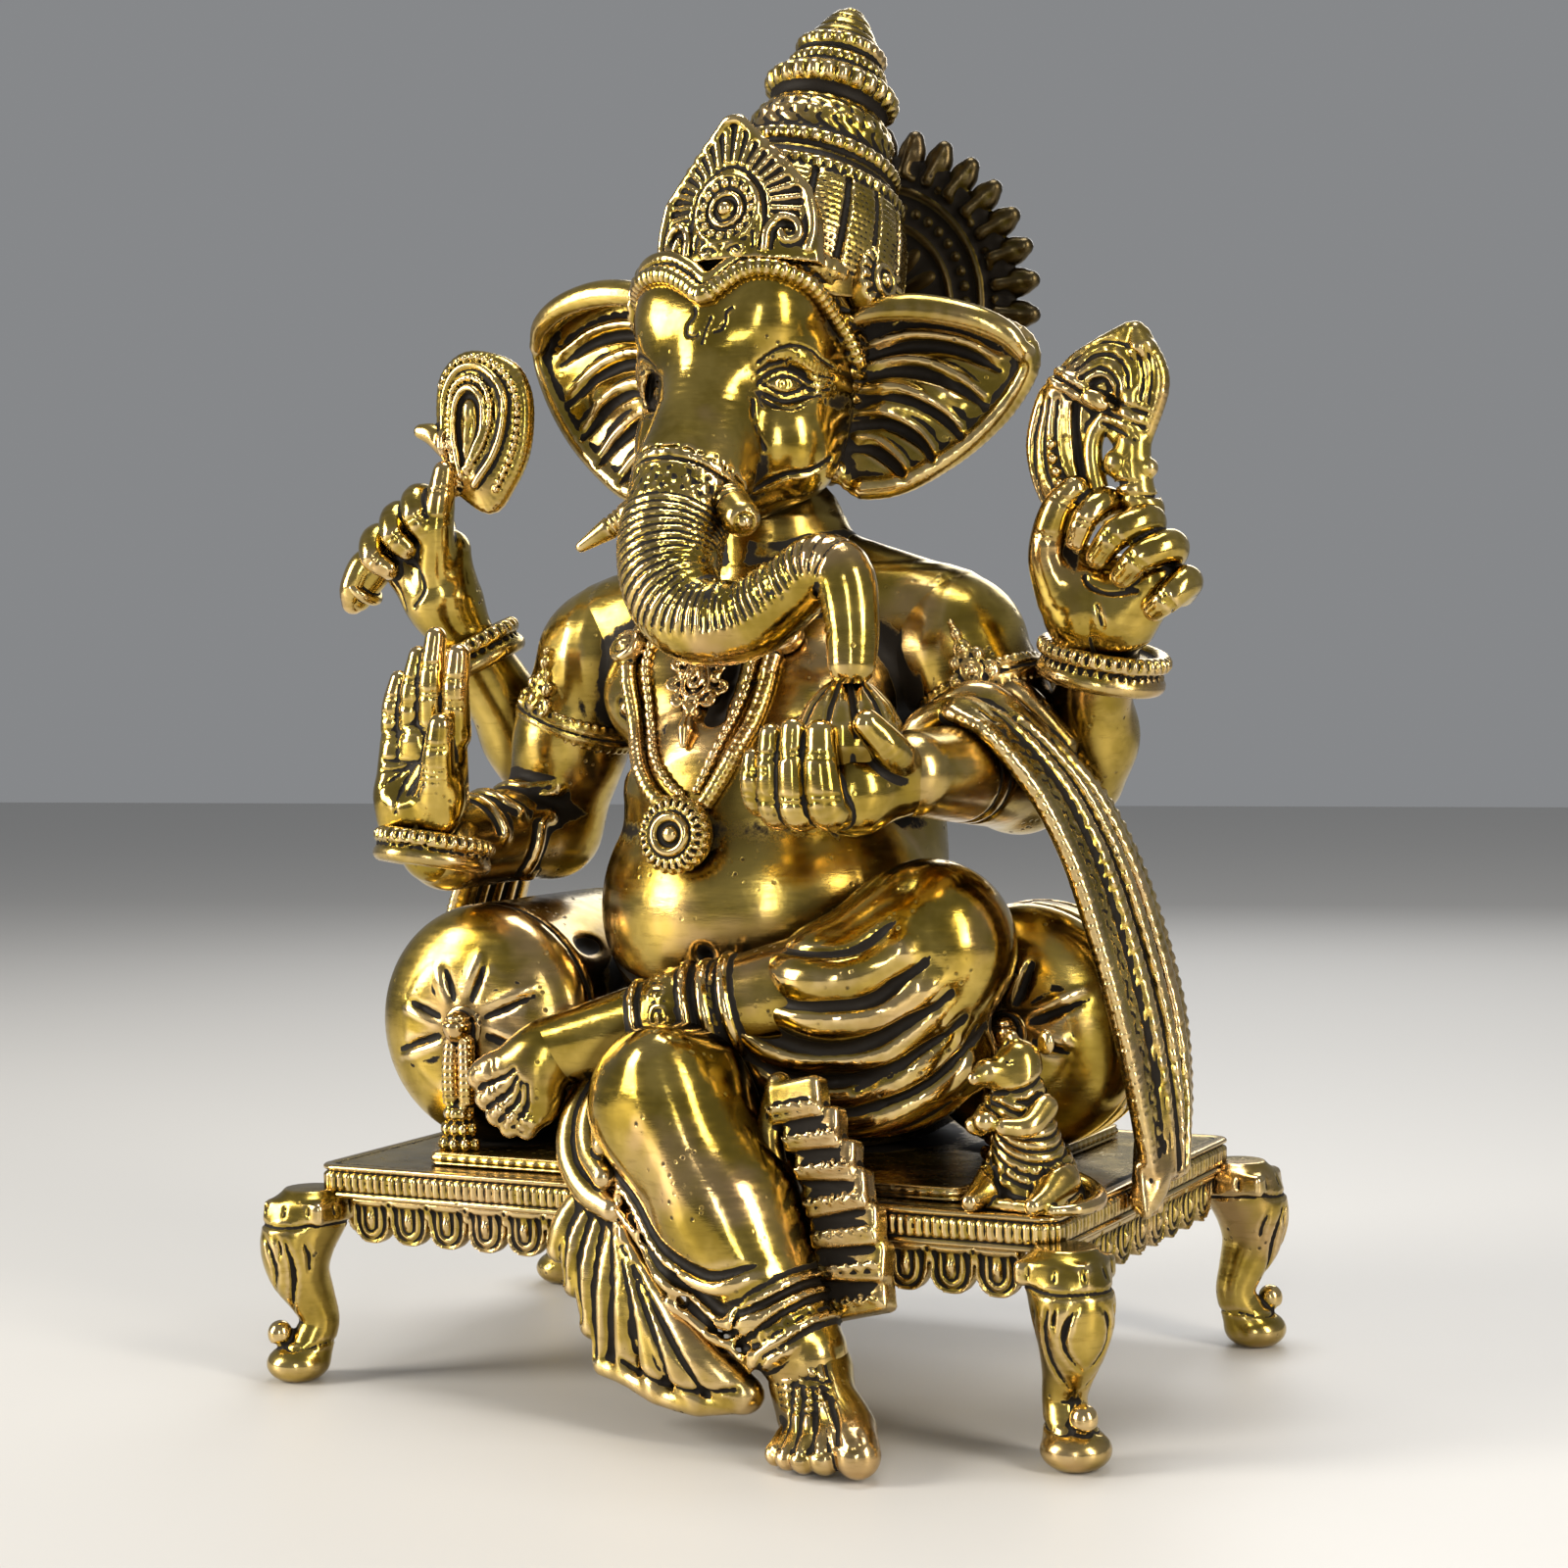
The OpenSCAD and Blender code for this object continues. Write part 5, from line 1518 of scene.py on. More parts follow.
@piece("front_hand_left", "polished_brass")
def front_hand_left():
    c = Clay((26, -84, 130), (72, -44, 166), 0.42)
    c.add(bar((60, -50, 145), 8.4, (52, -62, 142), 9.0))
    c.add(bar((52, -64, 141), 8.4, (38, -64, 141), 6.4), 4)
    fingers = [((36, -64, 140, 4), (33, -70, 139.4, 3.3), (32.6, -73, 144, 2.8), (32.6, -72.6, 149, 2.3)),
               ((40, -65, 139, 4.2), (38.2, -73, 137.4, 3.6), (38, -75.4, 145.5, 3.1), (38, -74.6, 154, 2.6)),
               ((45, -66, 138.6, 4.2), (43.8, -74, 137.4, 3.7), (43.6, -76, 146, 3.2),
                (43.4, -74.8, 155, 2.8)),
               ((51, -66, 139, 4.6), (51, -74, 138, 4.3), (50.4, -75.8, 146, 3.9), (49.6, -74.4, 154, 3.3))]
    for f in fingers:
        c.add(rod(f, 1.2), 0.3)
    c.add(rod([(60, -58, 147, 5.2), (61.5, -66, 151, 4.0), (58.5, -70, 156, 3.2)], 1.2), 1.4)
    n = vec(0.42, -0.9, 0)
    for f in fingers:
        b, m, tip = (vec(q[:3]) for q in f[1:])
        creases(c, mix(b, m, 0.35), UP, n, 3.2, 2, 1.2)
        creases(c, mix(m, tip, 0.5), UP, n, 3.0, 2, 1.2)
    return c


@piece("sweet", "polished_brass")
def sweet():
    c = Clay((34, -76, 142), (64, -46, 170), 0.45)
    c.add(profile((49.5, -60.5, 143), np.eye(3), [(0, 6), (3, 10), (8, 11.8), (13, 11.6), (17.5, 9.2),
                                                  (21, 5.8), (23.6, 2.4), (25, 0.4)], lambda a,
                  e: -0.35 * np.abs(np.sin(4.5 * a)) ** 8 * (e > 2)))
    top = vec(49.5, -60.5, 167)
    for k in range(11):
        a = 2 * math.pi * (k + 0.3) / 11
        p = c.hug(curve([top + vec(1.5 * math.cos(a), 1.5 * math.sin(a), -1.5),
                         top + vec(7.4 * math.cos(a), 7.4 * math.sin(a), -6.4),
                         top + vec(11.2 * math.cos(a), 11.2 * math.sin(a), -13.5)], 1))
        c.groove(p, np.clip(1.0 * np.sin(np.linspace(0.3, math.pi - 0.5, len(p))), 0.15, 1), 0.3)
    return c


@pair("armlet", "patinated_brass")
def armlet(side):
    start, end = vec(50 * side, 2, 172), (vec(-66, 4, 130) if side < 0 else vec(64, 0, 143))
    at = mix(start, end, 0.36)
    c = Clay(at - 24, at + 24, 0.45)
    turn = facing(at - end, FRONT)
    z = turn[:, 2]
    out = unit(vec(0.35 * side, -1, 0.1))
    arm = MADE["front_arm_right" if side < 0 else "front_arm_left"]()
    c.add(ring(at, 14.6, 2.0, turn, 1.5))
    c.beads(arc(at + 2.6 * z, 15.0, 0, 360, 60, turn), 2.1, 1.15, 0.1)
    c.beads(arc(at - 2.6 * z, 15.0, 0, 360, 60, turn), 2.1, 1.15, 0.1)
    c.groove(arc(at, 16.8, 0, 360, 45, turn), 0.7)
    # a leaf crest rising from the front of the band
    foot = arm.hug([at + 13.5 * out])[0]
    n = arm.slope(foot[None])[0]
    side_turn = facing(n, z)
    across, up = side_turn[:, 0], side_turn[:, 1]
    for a, b, r in ((0, 4.2, 3.6), (-4.2, 3.0, 2.6), (4.2, 3.0, 2.6), (0, 9.6, 2.8), (-2.9, 7.4, 2.0),
                    (2.9, 7.4, 2.0), (0, 13.6, 1.8), (0, 16.4, 1.1)):
        spot = arm.hug([foot + a * across + b * up])[0]
        c.add(egg(spot + 0.5 * n, (r * 0.8, r, 1.9), side_turn), 0.2)
        if r > 2.5:
            c.groove(arc(spot + 2.0 * n, r * 0.45, 0, 360, 13, side_turn), 0.4)
    return c


# ---- what the hands hold, jewellery, cloth and the mouse ----
FACE_ON = (vec(1, 0, 0), UP, vec(0, -1, 0))


def slab_of(c, outline, y, half_t, fill):
    """A thick leaf in the plane y: an outline of (x, z) filled towards a middle line of (x, z)."""
    edge = curve([(x, y, z) for x, z in outline], 1.6, True)
    spine = curve([(x, y, z) for x, z in fill], 1.6)
    near = spine[np.argmin(((edge[:, None] - spine[None]) ** 2).sum(-1), axis=1)]
    c.add([bar(p + 0.9 * unit(q - p), half_t * 0.7, q, half_t * 1.25) for p, q in zip(edge, near)])


@piece("axe", "cast_brass")
def axe():
    c = Clay((-122, -24, 182), (-54, 0, 254), 0.38)
    y = -12.5
    c.add(bar((-111, -14, 189), 3.8, (-84, -12, 216), 3.4))
    c.add(ring((-109, -13.9, 191), 4.2, 1.4, facing((1, 0, 1))))
    outline = [(-82.4, 217), (-85, 224.3), (-85.9, 230), (-86, 237), (-84.5, 243.6), (-79, 247.8),
               (-71.5, 247.3), (-64.4, 244), (-61.1, 238), (-60.6, 231), (-62, 223), (-65.9, 216), (-71, 210),
               (-77, 212)]
    slab_of(c, outline, y + 1.6, 3.2, [(-74, 238), (-74, 228), (-75, 218)])
    c.add(rod([(-84, y + 1, 226, 3.4), (-88, y + 0.5, 229, 2.8), (-91.4, y, 230, 1.9)], 1))
    c.groove(np.stack([vec(-86.4, y - 3, 225), vec(-86, y - 3, 232)]), 0.9)
    loops = {"outer": [(-81, 214), (-83.6, 222), (-84.2, 230), (-83.6, 238.6), (-79.4, 244.6), (-72.6, 244.8),
                       (-66.6, 239), (-66.2, 231), (-69, 223), (-74.6, 215.6)],
             "bead": [(-79.8, 216), (-82, 225), (-82.3, 233), (-80.6, 240), (-75.6, 242.4), (-70.8, 239.4),
                      (-69.7, 232.4), (-72, 225.6), (-76.6, 218.8)],
             "inner": [(-78.8, 218), (-80.6, 226), (-80.8, 233), (-78.8, 238.4), (-75.2, 239.8),
                       (-71.9, 236.8), (-71.7, 230), (-74, 224.6), (-77, 219.6)]}
    place = (0, y, 0)
    draw(c, FACE_ON, place, loops["outer"], 0.95, raised=0.1)
    ringed = draw(c, FACE_ON, place, loops["bead"], 1.0)
    c.add([bar(p + vec(0, -0.2, 0), 0.85) for p in ringed[::2]])
    draw(c, FACE_ON, place, loops["inner"], 0.85, raised=0.2)
    eye = [(-76.4 + (a + 76.4) * 0.93 * 0.72, 230.5 + (b - 230.5) * 0.78) for a, b in loops["inner"]]
    draw(c, FACE_ON, place, eye, 0.8)
    c.add(egg((-75.9, y - 1.6, 233.6), (1.9, 1.6, 3.4)))
    c.add(bar((-75.9, y - 1.6, 233), 1.5, (-77.6, y - 1.4, 224), 0.5))
    rim = c.drop(curve([(-84.8, y - 9, 241), (-81, y - 9, 246), (-74, y - 9, 247.4), (-66.4, y - 9, 243.2),
                        (-62.8, y - 9, 237), (-62.6, y - 9, 230), (-64.4, y - 9, 222.6), (-69, y - 9, 214.4)],
                       2.0), (0, 1, 0))
    c.groove(rim, 0.9, 0.2)
    c.add([bar(p, 0.95) for p in rim])
    back = c.drop(curve([(-83, y + 16, 226), (-80, y + 16, 240), (-73, y + 16, 243), (-67, y + 16, 236),
                         (-68, y + 16, 225), (-76, y + 16, 216)], 1.0, True), (0, -1, 0))
    c.groove(back, 0.7, 0.3)
    return c


@piece("noose", "cast_brass")
def noose():
    c = Clay((66, -26, 192), (112, 2, 248), 0.38)
    y = -13.0
    slab_of(c, [(80, 200), (75.6, 206.6), (73.4, 213), (73, 219), (74.6, 225.6), (77, 230), (81, 232),
                (85, 230), (87.6, 224), (86.6, 217), (86, 210), (84.6, 203)], y + 2.2, 3.4,
            [(80, 228), (79.6, 218), (81, 206)])
    slab_of(c, [(79.6, 230), (82, 235), (87.4, 238.4), (93.3, 241), (98.2, 242.4), (101, 238.4),
                (103.4, 233.8), (104, 229), (102, 222.6), (98.4, 216.4), (93, 218), (90, 224), (84, 228)],
            y + 2.2, 3.4, [(85, 232.5), (92, 232), (97.6, 228), (97, 222)])
    c.add(bar((99.4, y + 1, 238), 3.4, (98.3, y + 1, 242), 1.4))
    c.add(rod([(97, y + 2, 217, 4), (96.6, y + 2, 212.6, 4.4), (97.6, y + 2, 206, 4.2),
               (99, y + 3, 202, 4.6)], 1), 0.8)
    c.add(bar((94, y + 1, 212.6), 3.6, (100.6, y + 1.4, 211.2), 2.3), 0.6)
    c.add(rod([(91, y + 1, 222.5, 2.2), (88.4, y + 1, 219, 2.2), (87.8, y + 1, 214, 2.2),
               (89, y + 1, 207, 2.4)], 1), 0.5)
    place = (0, y, 0)
    draw(c, FACE_ON, place, [(84.6, 226), (84.4, 221), (85, 213), (86.6, 206)], 1.1)
    for line in ([(78, 201.5), (74.6, 209), (74.2, 218), (76, 226)], [(81, 204), (77.6, 211), (77, 219),
                                                                      (78.4, 227.4)],
                 [(83.4, 207.5), (80.8, 213), (80, 220), (80.8, 227)]):
        draw(c, FACE_ON, place, line, 0.65)
    for a, b in ((79, 217.4), (79.4, 214.2), (80.2, 211.2), (81.2, 208.4)):
        spot = c.drop([(a, y - 9, b)], (0, 1, 0))
        if len(spot):
            c.add(bar(spot[0], 1.15))
            c.groove(arc(spot[0], 1.5, 0, 360, 17, facing(FRONT)), 0.35)
    draw(c, FACE_ON, place, [(80.2, 233.6), (85, 231), (89, 228), (92.4, 225.4)], 1.3, raised=-0.1)
    draw(c, FACE_ON, place, [(78.6, 231.6), (83, 229.2), (87.4, 226.4), (91, 224.6)], 1.3, raised=-0.1)
    draw(c, FACE_ON, place, [(79.4, 232.8), (84, 230.2), (88, 227.2)], 0.5)
    c.add(egg((89.6, y - 2.0, 226.6), (3.6, 1.8, 2.2), turned(ry=28)))
    for line, r in (([(85, 233.8), (89, 236.6), (93.4, 236.4), (96.6, 233.4), (97.4, 229)], 0.7),
                    ([(86.4, 231.8), (89.8, 233.8), (93.1, 232.6), (94.8, 229.8), (94, 227.4)], 0.75),
                    ([(89, 230.4), (91.4, 230.8), (92.6, 228.8)], 1.0),
                    ([(83.4, 235.4), (88, 239), (94, 239.4), (99, 236.4), (100.6, 231), (100, 226)], 0.55)):
        draw(c, FACE_ON, place, line, r)
    for a, b in (((92.4, 226.6), (101, 223)), ((91.4, 224), (100.4, 220)), ((91, 221.4), (98.8, 217.4))):
        draw(c, FACE_ON, place, [a, mix(a, b, 0.5), b], 0.6)
    draw(c, FACE_ON, place, [(101.4, 238), (102.4, 231), (101.6, 225)], 0.5)
    for a in (-40, -10, 20):
        draw(c, FACE_ON, place,
             [(94.4 + 2.4 * math.cos(math.radians(a)), 212.6 + 2.4 * math.sin(math.radians(a))),
              (97.2, 212.4 + 0.08 * a)], 0.35)
    spot = c.drop([(94.2, y - 9, 212.6)], (0, 1, 0))
    if len(spot):
        c.groove(arc(spot[0], 1.9, 0, 360, 21, facing(FRONT)), 0.45)
    for z in (205, 208):
        c.groove(arc((97.8, y + 2, z), 4.4, 0, 360, 33), 0.6)
    back = c.drop(curve([(78, y + 18, 206), (77, y + 18, 220), (82, y + 18, 230), (92, y + 18, 237),
                         (100, y + 18, 230)], 1.0), (0, -1, 0))
    if len(back) > 2:
        c.groove(back, 0.7, 0.3)
    return c


def ribbed(c, path, r, gap):
    """A cord wound with fine turns."""
    p = curve(path, gap)
    c.rope(p, 0.82 * r)
    for i in range(len(p)):
        way = unit(p[min(i + 1, len(p) - 1)] - p[max(i - 1, 0)])
        c.add(ring(p[i], 0.62 * r, 0.42 * gap, facing(way)))


@piece("necklace", "patinated_brass")
def necklace():
    c = Clay((-36, -56, 128), (36, -8, 200), 0.4)
    body = MADE["torso"]()
    for outer, inner in (([(-19, 197), (-24, 184), (-25, 173), (-22.4, 160), (-19.4, 150), (-13, 141),
                           (-8, 137)], [(-13.5, 195), (-18, 183), (-19.8, 172), (-17.4, 160), (-13.6, 150),
                                        (-8, 143), (-4, 140)]),
                         ([(17, 197), (17.4, 184), (14.4, 172), (12.6, 160), (9.6, 150), (5.6, 142),
                           (3, 138)], [(11.4, 195), (11.4, 183), (9.0, 172), (7.6, 161), (5.2, 152),
                                       (2.4, 145), (0.6, 141)])):
        outer, inner = (body.drop(curve([(a, -66, b) for a, b in cord], 1.0),
                                  (0, 1, 0)) for cord in (outer, inner))
        ribbed(c, outer + vec(0, -1.3, 0), 2.3, 1.6)
        c.rope(inner + vec(0, -0.9, 0), 0.9)
        c.beads(inner + vec(0, -0.9, 0), 2.3, 1.3)
    # plain discs threaded on the cords
    for a, z in ((-25, 173.0), (16.5, 174.5)):
        spot = body.drop([(a, -50, z)], (0, 1, 0))[0]
        turn = facing(body.slope(spot[None])[0], UP)
        n = turn[:, 2]
        c.add(disc(spot + 2.2 * n, 4.5, 2.0, turn, 1.2))
        c.groove(arc(spot + 4.4 * n, 2.5, 0, 360, 25, turn), 0.55)
        c.add(egg(spot + 4.3 * n, (1.1, 1.1, 0.8), turn))
    return c


@piece("pendant", "cast_brass")
def pendant():
    c = Clay((-20, -62, 112), (20, -24, 186), 0.38)
    at = vec(-1.2, -47.2, 131)
    turn = facing((-0.02, -1, 0.10), UP)
    x, z, n = turn[:, 0], turn[:, 1], turn[:, 2]
    c.add(disc(at - 0.6 * n, 8.4, 3.4, turn, 1.5))
    for k in range(24):
        a = 2 * math.pi * k / 24
        ray = math.cos(a) * x + math.sin(a) * z
        c.groove(np.stack([at + 5.9 * ray + 3.0 * n, at + 8.8 * ray + 1.4 * n]), np.array([0.42, 0.6]))
        c.add(egg(at + 8.4 * ray + 0.2 * n, (1.0, 1.5, 0.9), facing(ray, n)), 0.2)
    c.groove(arc(at + 2.9 * n, 5.4, 0, 360, 49, turn), 0.65)
    c.add(ring(at + 2.5 * n, 4.1, 1.05, turn))
    c.groove(arc(at + 3.1 * n, 2.5, 0, 360, 33, turn), 0.7)
    boss = at + 0.4 * x
    c.add(egg(boss + 2.5 * n, (2.0, 2.0, 1.8), turn))
    c.groove(arc(boss + 4.2 * n, 0.8, 0, 360, 17, turn), 0.32)
    # the breast pendant: a drop in a frame of curls
    body = MADE["torso"]()
    mid = body.drop([(-5.2, -60, 165)], (0, 1, 0))[0]
    face = facing(body.slope(mid[None])[0], UP)
    u, v, w = face[:, 0], face[:, 1], face[:, 2]

    def spot(a, b, lift=0.0):
        return body.hug([mid + a * u + b * v])[0] + lift * w
    c.add([bar(spot(a, b), 2.4) for a, b in ((0, 0), (0, 4), (0, -4), (0, 8), (0, -8), (3.5, 2), (-3.5, 2),
                                             (3.5, -3), (-3.5, -3), (4, 6), (-4, 6))], 1.2)
    drop = [(0, 7.4), (2.2, 2.6), (3.1, -1.4), (1.8, -4.4), (0, -5.2), (-1.8, -4.4), (-3.1, -1.4),
            (-2.2, 2.6)]
    for grown, r, lift in ((1.0, 0.75, 2.5), (0.42, 0.9, 2.8)):
        c.rope(np.array([spot(a * grown, b * grown, lift) for a,
                         b in [q[:2] for q in curve([(*q, 0) for q in drop], 0.8, True)]]), r)
    for k in range(9):
        a = math.pi * (0.5 + 2 * (k + 0.5) / 9)
        centre = spot(6.0 * math.cos(a), 7.4 * math.sin(a) + 0.6, 2.0)
        c.rope(arc(centre, 1.5, math.degrees(a) - 150, math.degrees(a) + 120, 12, face), 0.62)
        c.add(bar(centre, 0.8))
    c.add([bar(spot(0, -11, 1.8), 1.5, spot(0, -13.4, 1.6), 2.0), bar(spot(0, -13.4, 1.6), 2.0,
                                                                      spot(0, -17, 1.2), 1.0)], 0.4)
    return c


def cloth(c, rungs, widths, strands):
    """Cloth that hangs along rungs: strands are (place across -1..1, radius, how far it stands out)."""
    rungs, widths = np.asarray(rungs, float), np.asarray(widths, float)
    out = []
    for t, r, stand in strands:
        line = [(*(p + vec(stand, w * t, 0)), r) for p, w in zip(rungs, widths)]
        c.add(rod(line, 2.2), 0.5)
        out.append(curve(line, 1.0))
    return out


def hatch(c, line, side, stop):
    """Short cuts across a strand of cloth, made from the outer side."""
    for i in range(6, len(line) - stop, 3):
        cut = curve([line[i] + vec(9 * side, -1.8, -1.2), line[i] + vec(9 * side, 1.8, 1.2)], 0.8)
        c.groove(c.drop(cut, (-side, 0, 0)), 0.32)


@piece("shawl_left", "patinated_brass")
def shawl_left():
    c = Clay((46, -44, 40), (112, 24, 172), 0.6)
    rungs = [(60, -22, 158), (69, -20, 153), (78, -14, 141), (85, -10, 126), (90, -6, 108), (94.5, -4, 88),
             (97, -4, 70), (98, -5, 55)]
    widths = [10, 13, 15, 16, 17, 16.5, 13, 8]
    lines = cloth(c, rungs, widths, [(-1.0, 2.2, 1.2), (-0.86, 2.6, 1.4), (-0.66, 2.8, 1.2),
                                     (-0.46, 2.6, 0.2), (-0.30, 3.4, 2.6), (-0.08, 2.2, -1.2),
                                     (0.12, 3.8, 3.0), (0.36, 2.2, -1.4), (0.58, 3.8, 2.8), (0.8, 2.4, 0),
                                     (1.0, 2.8, 1.4)])
    # the hatched front rim, the band of curls beside it, and the knotted back edge
    front = lines[0]
    ribbed(c, front[:, :3] + vec(0.6, -1.2, 0), 1.9, 1.9)
    for j in (1, 3):
        p = lines[j][:, :3]
        c.groove(c.drop(p + vec(9, 0, 0), (-1, 0, 0)), 0.6)
    p = mix(lines[1][:, :3], lines[2][:, :3], 0.7)
    for k, at in enumerate(p[3:-3:4]):
        spot = c.drop([at + vec(9, 0, 0)], (-1, 0, 0))
        if len(spot):
            face = facing(c.slope(spot)[0], UP)
            start = 200 if k % 2 else 20
            c.groove(c.hug(arc(spot[0], 1.5, start, start + 270, 12, face)), 0.5)
    for j, r in ((5, 1.5), (7, 1.5), (9, 0.9)):
        c.groove(c.drop(lines[j][:, :3] + vec(9, 0, 0), (-1, 0, 0)), r, 0.8)
    for at in lines[-1][2::3, :3]:
        c.add(egg(at + vec(1.2, 1.0, 0), (2.3, 2.6, 1.8), turned(rx=30)), 0.4)
    # fine hatching on the swells
    for j in (4, 6, 8):
        hatch(c, lines[j][:, :3], 1, 6)
    # it comes over the forearm and ends in a small knot over the edge of the slab
    over = [((46, -24, 146, 3), (52, -28, 155, 3.4), (62, -28, 158, 3.4), (71, -27, 151, 3.2)),
            ((47, -16, 148, 3), (53, -18, 158, 3.6), (63, -17, 161, 3.8), (74, -14, 152, 3.4)),
            ((49, -8, 152, 3), (56, -8, 161, 3.6), (66, -7, 162, 3.8), (76, -2, 150, 3.4))]
    for line in over:
        c.add(rod(line, 2), 0.9)
    for a, b in zip(over[:-1], over[1:]):
        p = curve([mix(p[:3], q[:3], 0.5) for p, q in zip(a, b)], 1.0)
        c.groove(c.drop(p + vec(0, 0, 12), (0, 0, -1)), 1.3, 0.6)
    c.add(rod([(98, -8, 60, 4), (99, -11, 53, 4.4), (98.5, -14, 48.5, 3.6)], 1.5), 1)
    for dy in (-3, 0, 3):
        c.add(bar((98, -12 + dy, 56), 1.7, (99.5, -12.5 + 1.3 * dy, 46), 1.5), 0.3)
    c.cut(block((0, 0, 48.4), (95.5, 59, 3.7)))
    c.cut(bolster_shape(1), 0, 0.1)
    return c


@piece("shawl_right", "patinated_brass")
def shawl_right():
    c = Clay((-110, -16, 50), (-58, 44, 150), 0.65)
    rungs = [(-70, 6, 141), (-78, 10, 133), (-86, 13, 120), (-92, 14, 104), (-95, 14, 84), (-95.5, 14, 60)]
    widths = [8, 11, 13, 14, 14, 12]
    lines = cloth(c, rungs, widths, [(-1.0, 2.4, -1.0), (-0.8, 3.0, -1.4), (-0.58, 2.4, 0.2),
                                     (-0.36, 3.4, -2.2), (-0.12, 2.2, 0.8), (0.12, 3.6, -2.4),
                                     (0.36, 2.4, 0.6), (0.6, 3.4, -2.2), (0.82, 2.4, 0), (1.0, 2.6, -1.2)])
    ribbed(c, lines[0][:, :3] + vec(-0.6, -1.2, 0), 1.9, 1.9)
    for j, r in ((2, 1.1), (4, 1.5), (6, 1.5), (8, 1.0)):
        p = c.drop(lines[j][:, :3] + vec(-9, 0, 0), (1, 0, 0))
        if len(p) > 2:
            c.groove(p, r, 0.8)
    for j in (1, 3, 5, 7):
        hatch(c, lines[j][:, :3], -1, 4)
    c.cut(block((0, 0, 26), (110, 59, 26.2)))
    c.cut(bolster_shape(-1), 0, 0.1)
    return c


@piece("mouse", "cast_brass")
def mouse():
    c = Clay((62, -70, 51.5), (104, -30, 96), 0.42)
    c.add(block((84, -47, 53.2), (11, 10, 1.6), turned(rz=-8), 1.2))
    c.add([egg((85, -46, 59), (9.5, 9, 8)), bar((84.5, -47, 62), 8.2, (83, -49.5, 76), 6.0)], 3)
    c.add(bar((82.5, -50, 80), 5.4, (78.6, -55.6, 81.4), 3.0), 2)
    c.add(bar((78.6, -55.6, 81.4), 2.6, (76.6, -58.2, 80.4), 1.6), 1)
    c.add(egg((83, -49, 83), (5, 5, 5)), 2)
    for side in (-1, 1):
        ear_at = vec(84.6, -47, 87) + side * vec(3.2, 1.8, 0)
        c.add(egg(ear_at, (2.4, 1.4, 2.8), turned(rz=-30)), 0.5)
        c.cut(bar(ear_at + vec(-0.9, -1.8, 0.2), 1.1), 0.3)
        c.cut(ring(c.hug([vec(80.6, -54, 83.6) + side * vec(2.4, 1.4, 0)])[0], 1.1, 0.32,
                   facing((-0.3 + 0.5 * side, -1, 0.3))))
        c.add(rod([(84 + 5.5 * side, -51, 74, 3.0), (82.6 + 5.4 * side, -56.4, 70.5, 2.5),
                   (80 + 3.4 * side, -59, 70.5, 1.9)], 1), 0.6)
        c.add(rod([(85 + 6.5 * side, -49, 58, 5.0), (84 + 7.2 * side, -55, 55.4, 3.2),
                   (83 + 7.2 * side, -59.6, 54.2, 2.0)], 1), 0.7)
    c.add(egg((79.6, -59.6, 71.6), (2.8, 2.4, 2.4)), 0.3)
    # the little shawl it wears: slanting bands and a ribbed skirt
    for k in range(9):
        ring_at = mix((84.8, -46.6, 58), (82.8, -49.6, 78), k / 8)
        c.groove(c.hug(arc(ring_at, 9.5 - 0.35 * k, 0, 360, 33, facing((0.35, -0.3, 1)))), 0.62, 0.25)
    for k in range(13):
        a = math.radians(150 + 20 * k)
        p = c.hug(np.stack([vec(84.6 + 9.6 * math.cos(a), -46.6 + 9.2 * math.sin(a), 54.8),
                            vec(84.4 + 9.2 * math.cos(a), -46.8 + 8.8 * math.sin(a), 61)]))
        c.groove(p, 0.55)
    c.groove(c.hug(arc((82.9, -49.6, 78.6), 6.4, 0, 360, 29, facing((-0.2, -0.25, 1)))), 0.8, 0.3)
    c.add(rod([(90, -40, 57, 2.6), (97, -42, 55, 2.3), (100, -48, 53.8, 1.9), (98.5, -55, 53.4, 1.5),
               (94, -58, 53.2, 1.1)], 1), 0.8)
    c.cut(block((84, -47, 50), (40, 40, 2.1)))
    return c


# ---- the seat: cushions, slab, aprons and legs ----
@pair("bolster", "cast_brass")
def bolster(side):
    near, far = drum_ends(side)
    c = Clay((BOLSTER_X * side - 31, near - 14, 54.4), (BOLSTER_X * side + 31, far + 14, 116), 0.7)
    c.add(bolster_shape(side))
    turn = facing(FRONT)
    # a sewn edge where the soft end meets the drum, at each end
    for y, s in ((near, -1), (far, 1)):
        c.groove(c.hug(arc((BOLSTER_X * side, y - 1.5 * s, BOLSTER_Z), DRUM_R, 0, 360, 120, turn)), 0.9, 0.6)
    # wedge-shaped tucks round the button, front and back
    for depth, way in ((near, -1), (far, 1)):
        for k in range(8):
            a = math.radians(22.5 + 45 * k + 8 * math.sin(3 * k))
            u, v = math.cos(a), math.sin(a)
            reach = 19 + 3 * math.sin(5 * k + 1)
            line = [(BOLSTER_X * side + r * u, depth + 30 * way,
                     BOLSTER_Z + r * v) for r in (7.5, 11, 15, reach)]
            p = c.drop(curve(line, 1.0), (0, -way, 0))
            if len(p) > 3:
                c.groove(p, 1.0 * np.sin(np.linspace(0.55, math.pi - 0.1, len(p))) + 0.05, 0.5)
                c.rope(c.hug(p + vec(-v, 0, u) * 2.2, -0.5),
                       1.0 * np.sin(np.linspace(0.2, math.pi - 0.1, len(p))) + 0.05, 1.6)
    # shallow dents of the handling
    for k in range(6):
        a = math.radians(40 + 57 * k)
        q = vec(BOLSTER_X * side + DRUM_R * math.cos(a), near + (far - near) * (0.2 + 0.13 * k),
                BOLSTER_Z + DRUM_R * math.sin(a))
        c.cut(egg(q, (5, 7, 5)), 4, -3.6)
    c.cut(block((0, 0, 27.4), (69.5, 49.5, 27.7)))
    return c


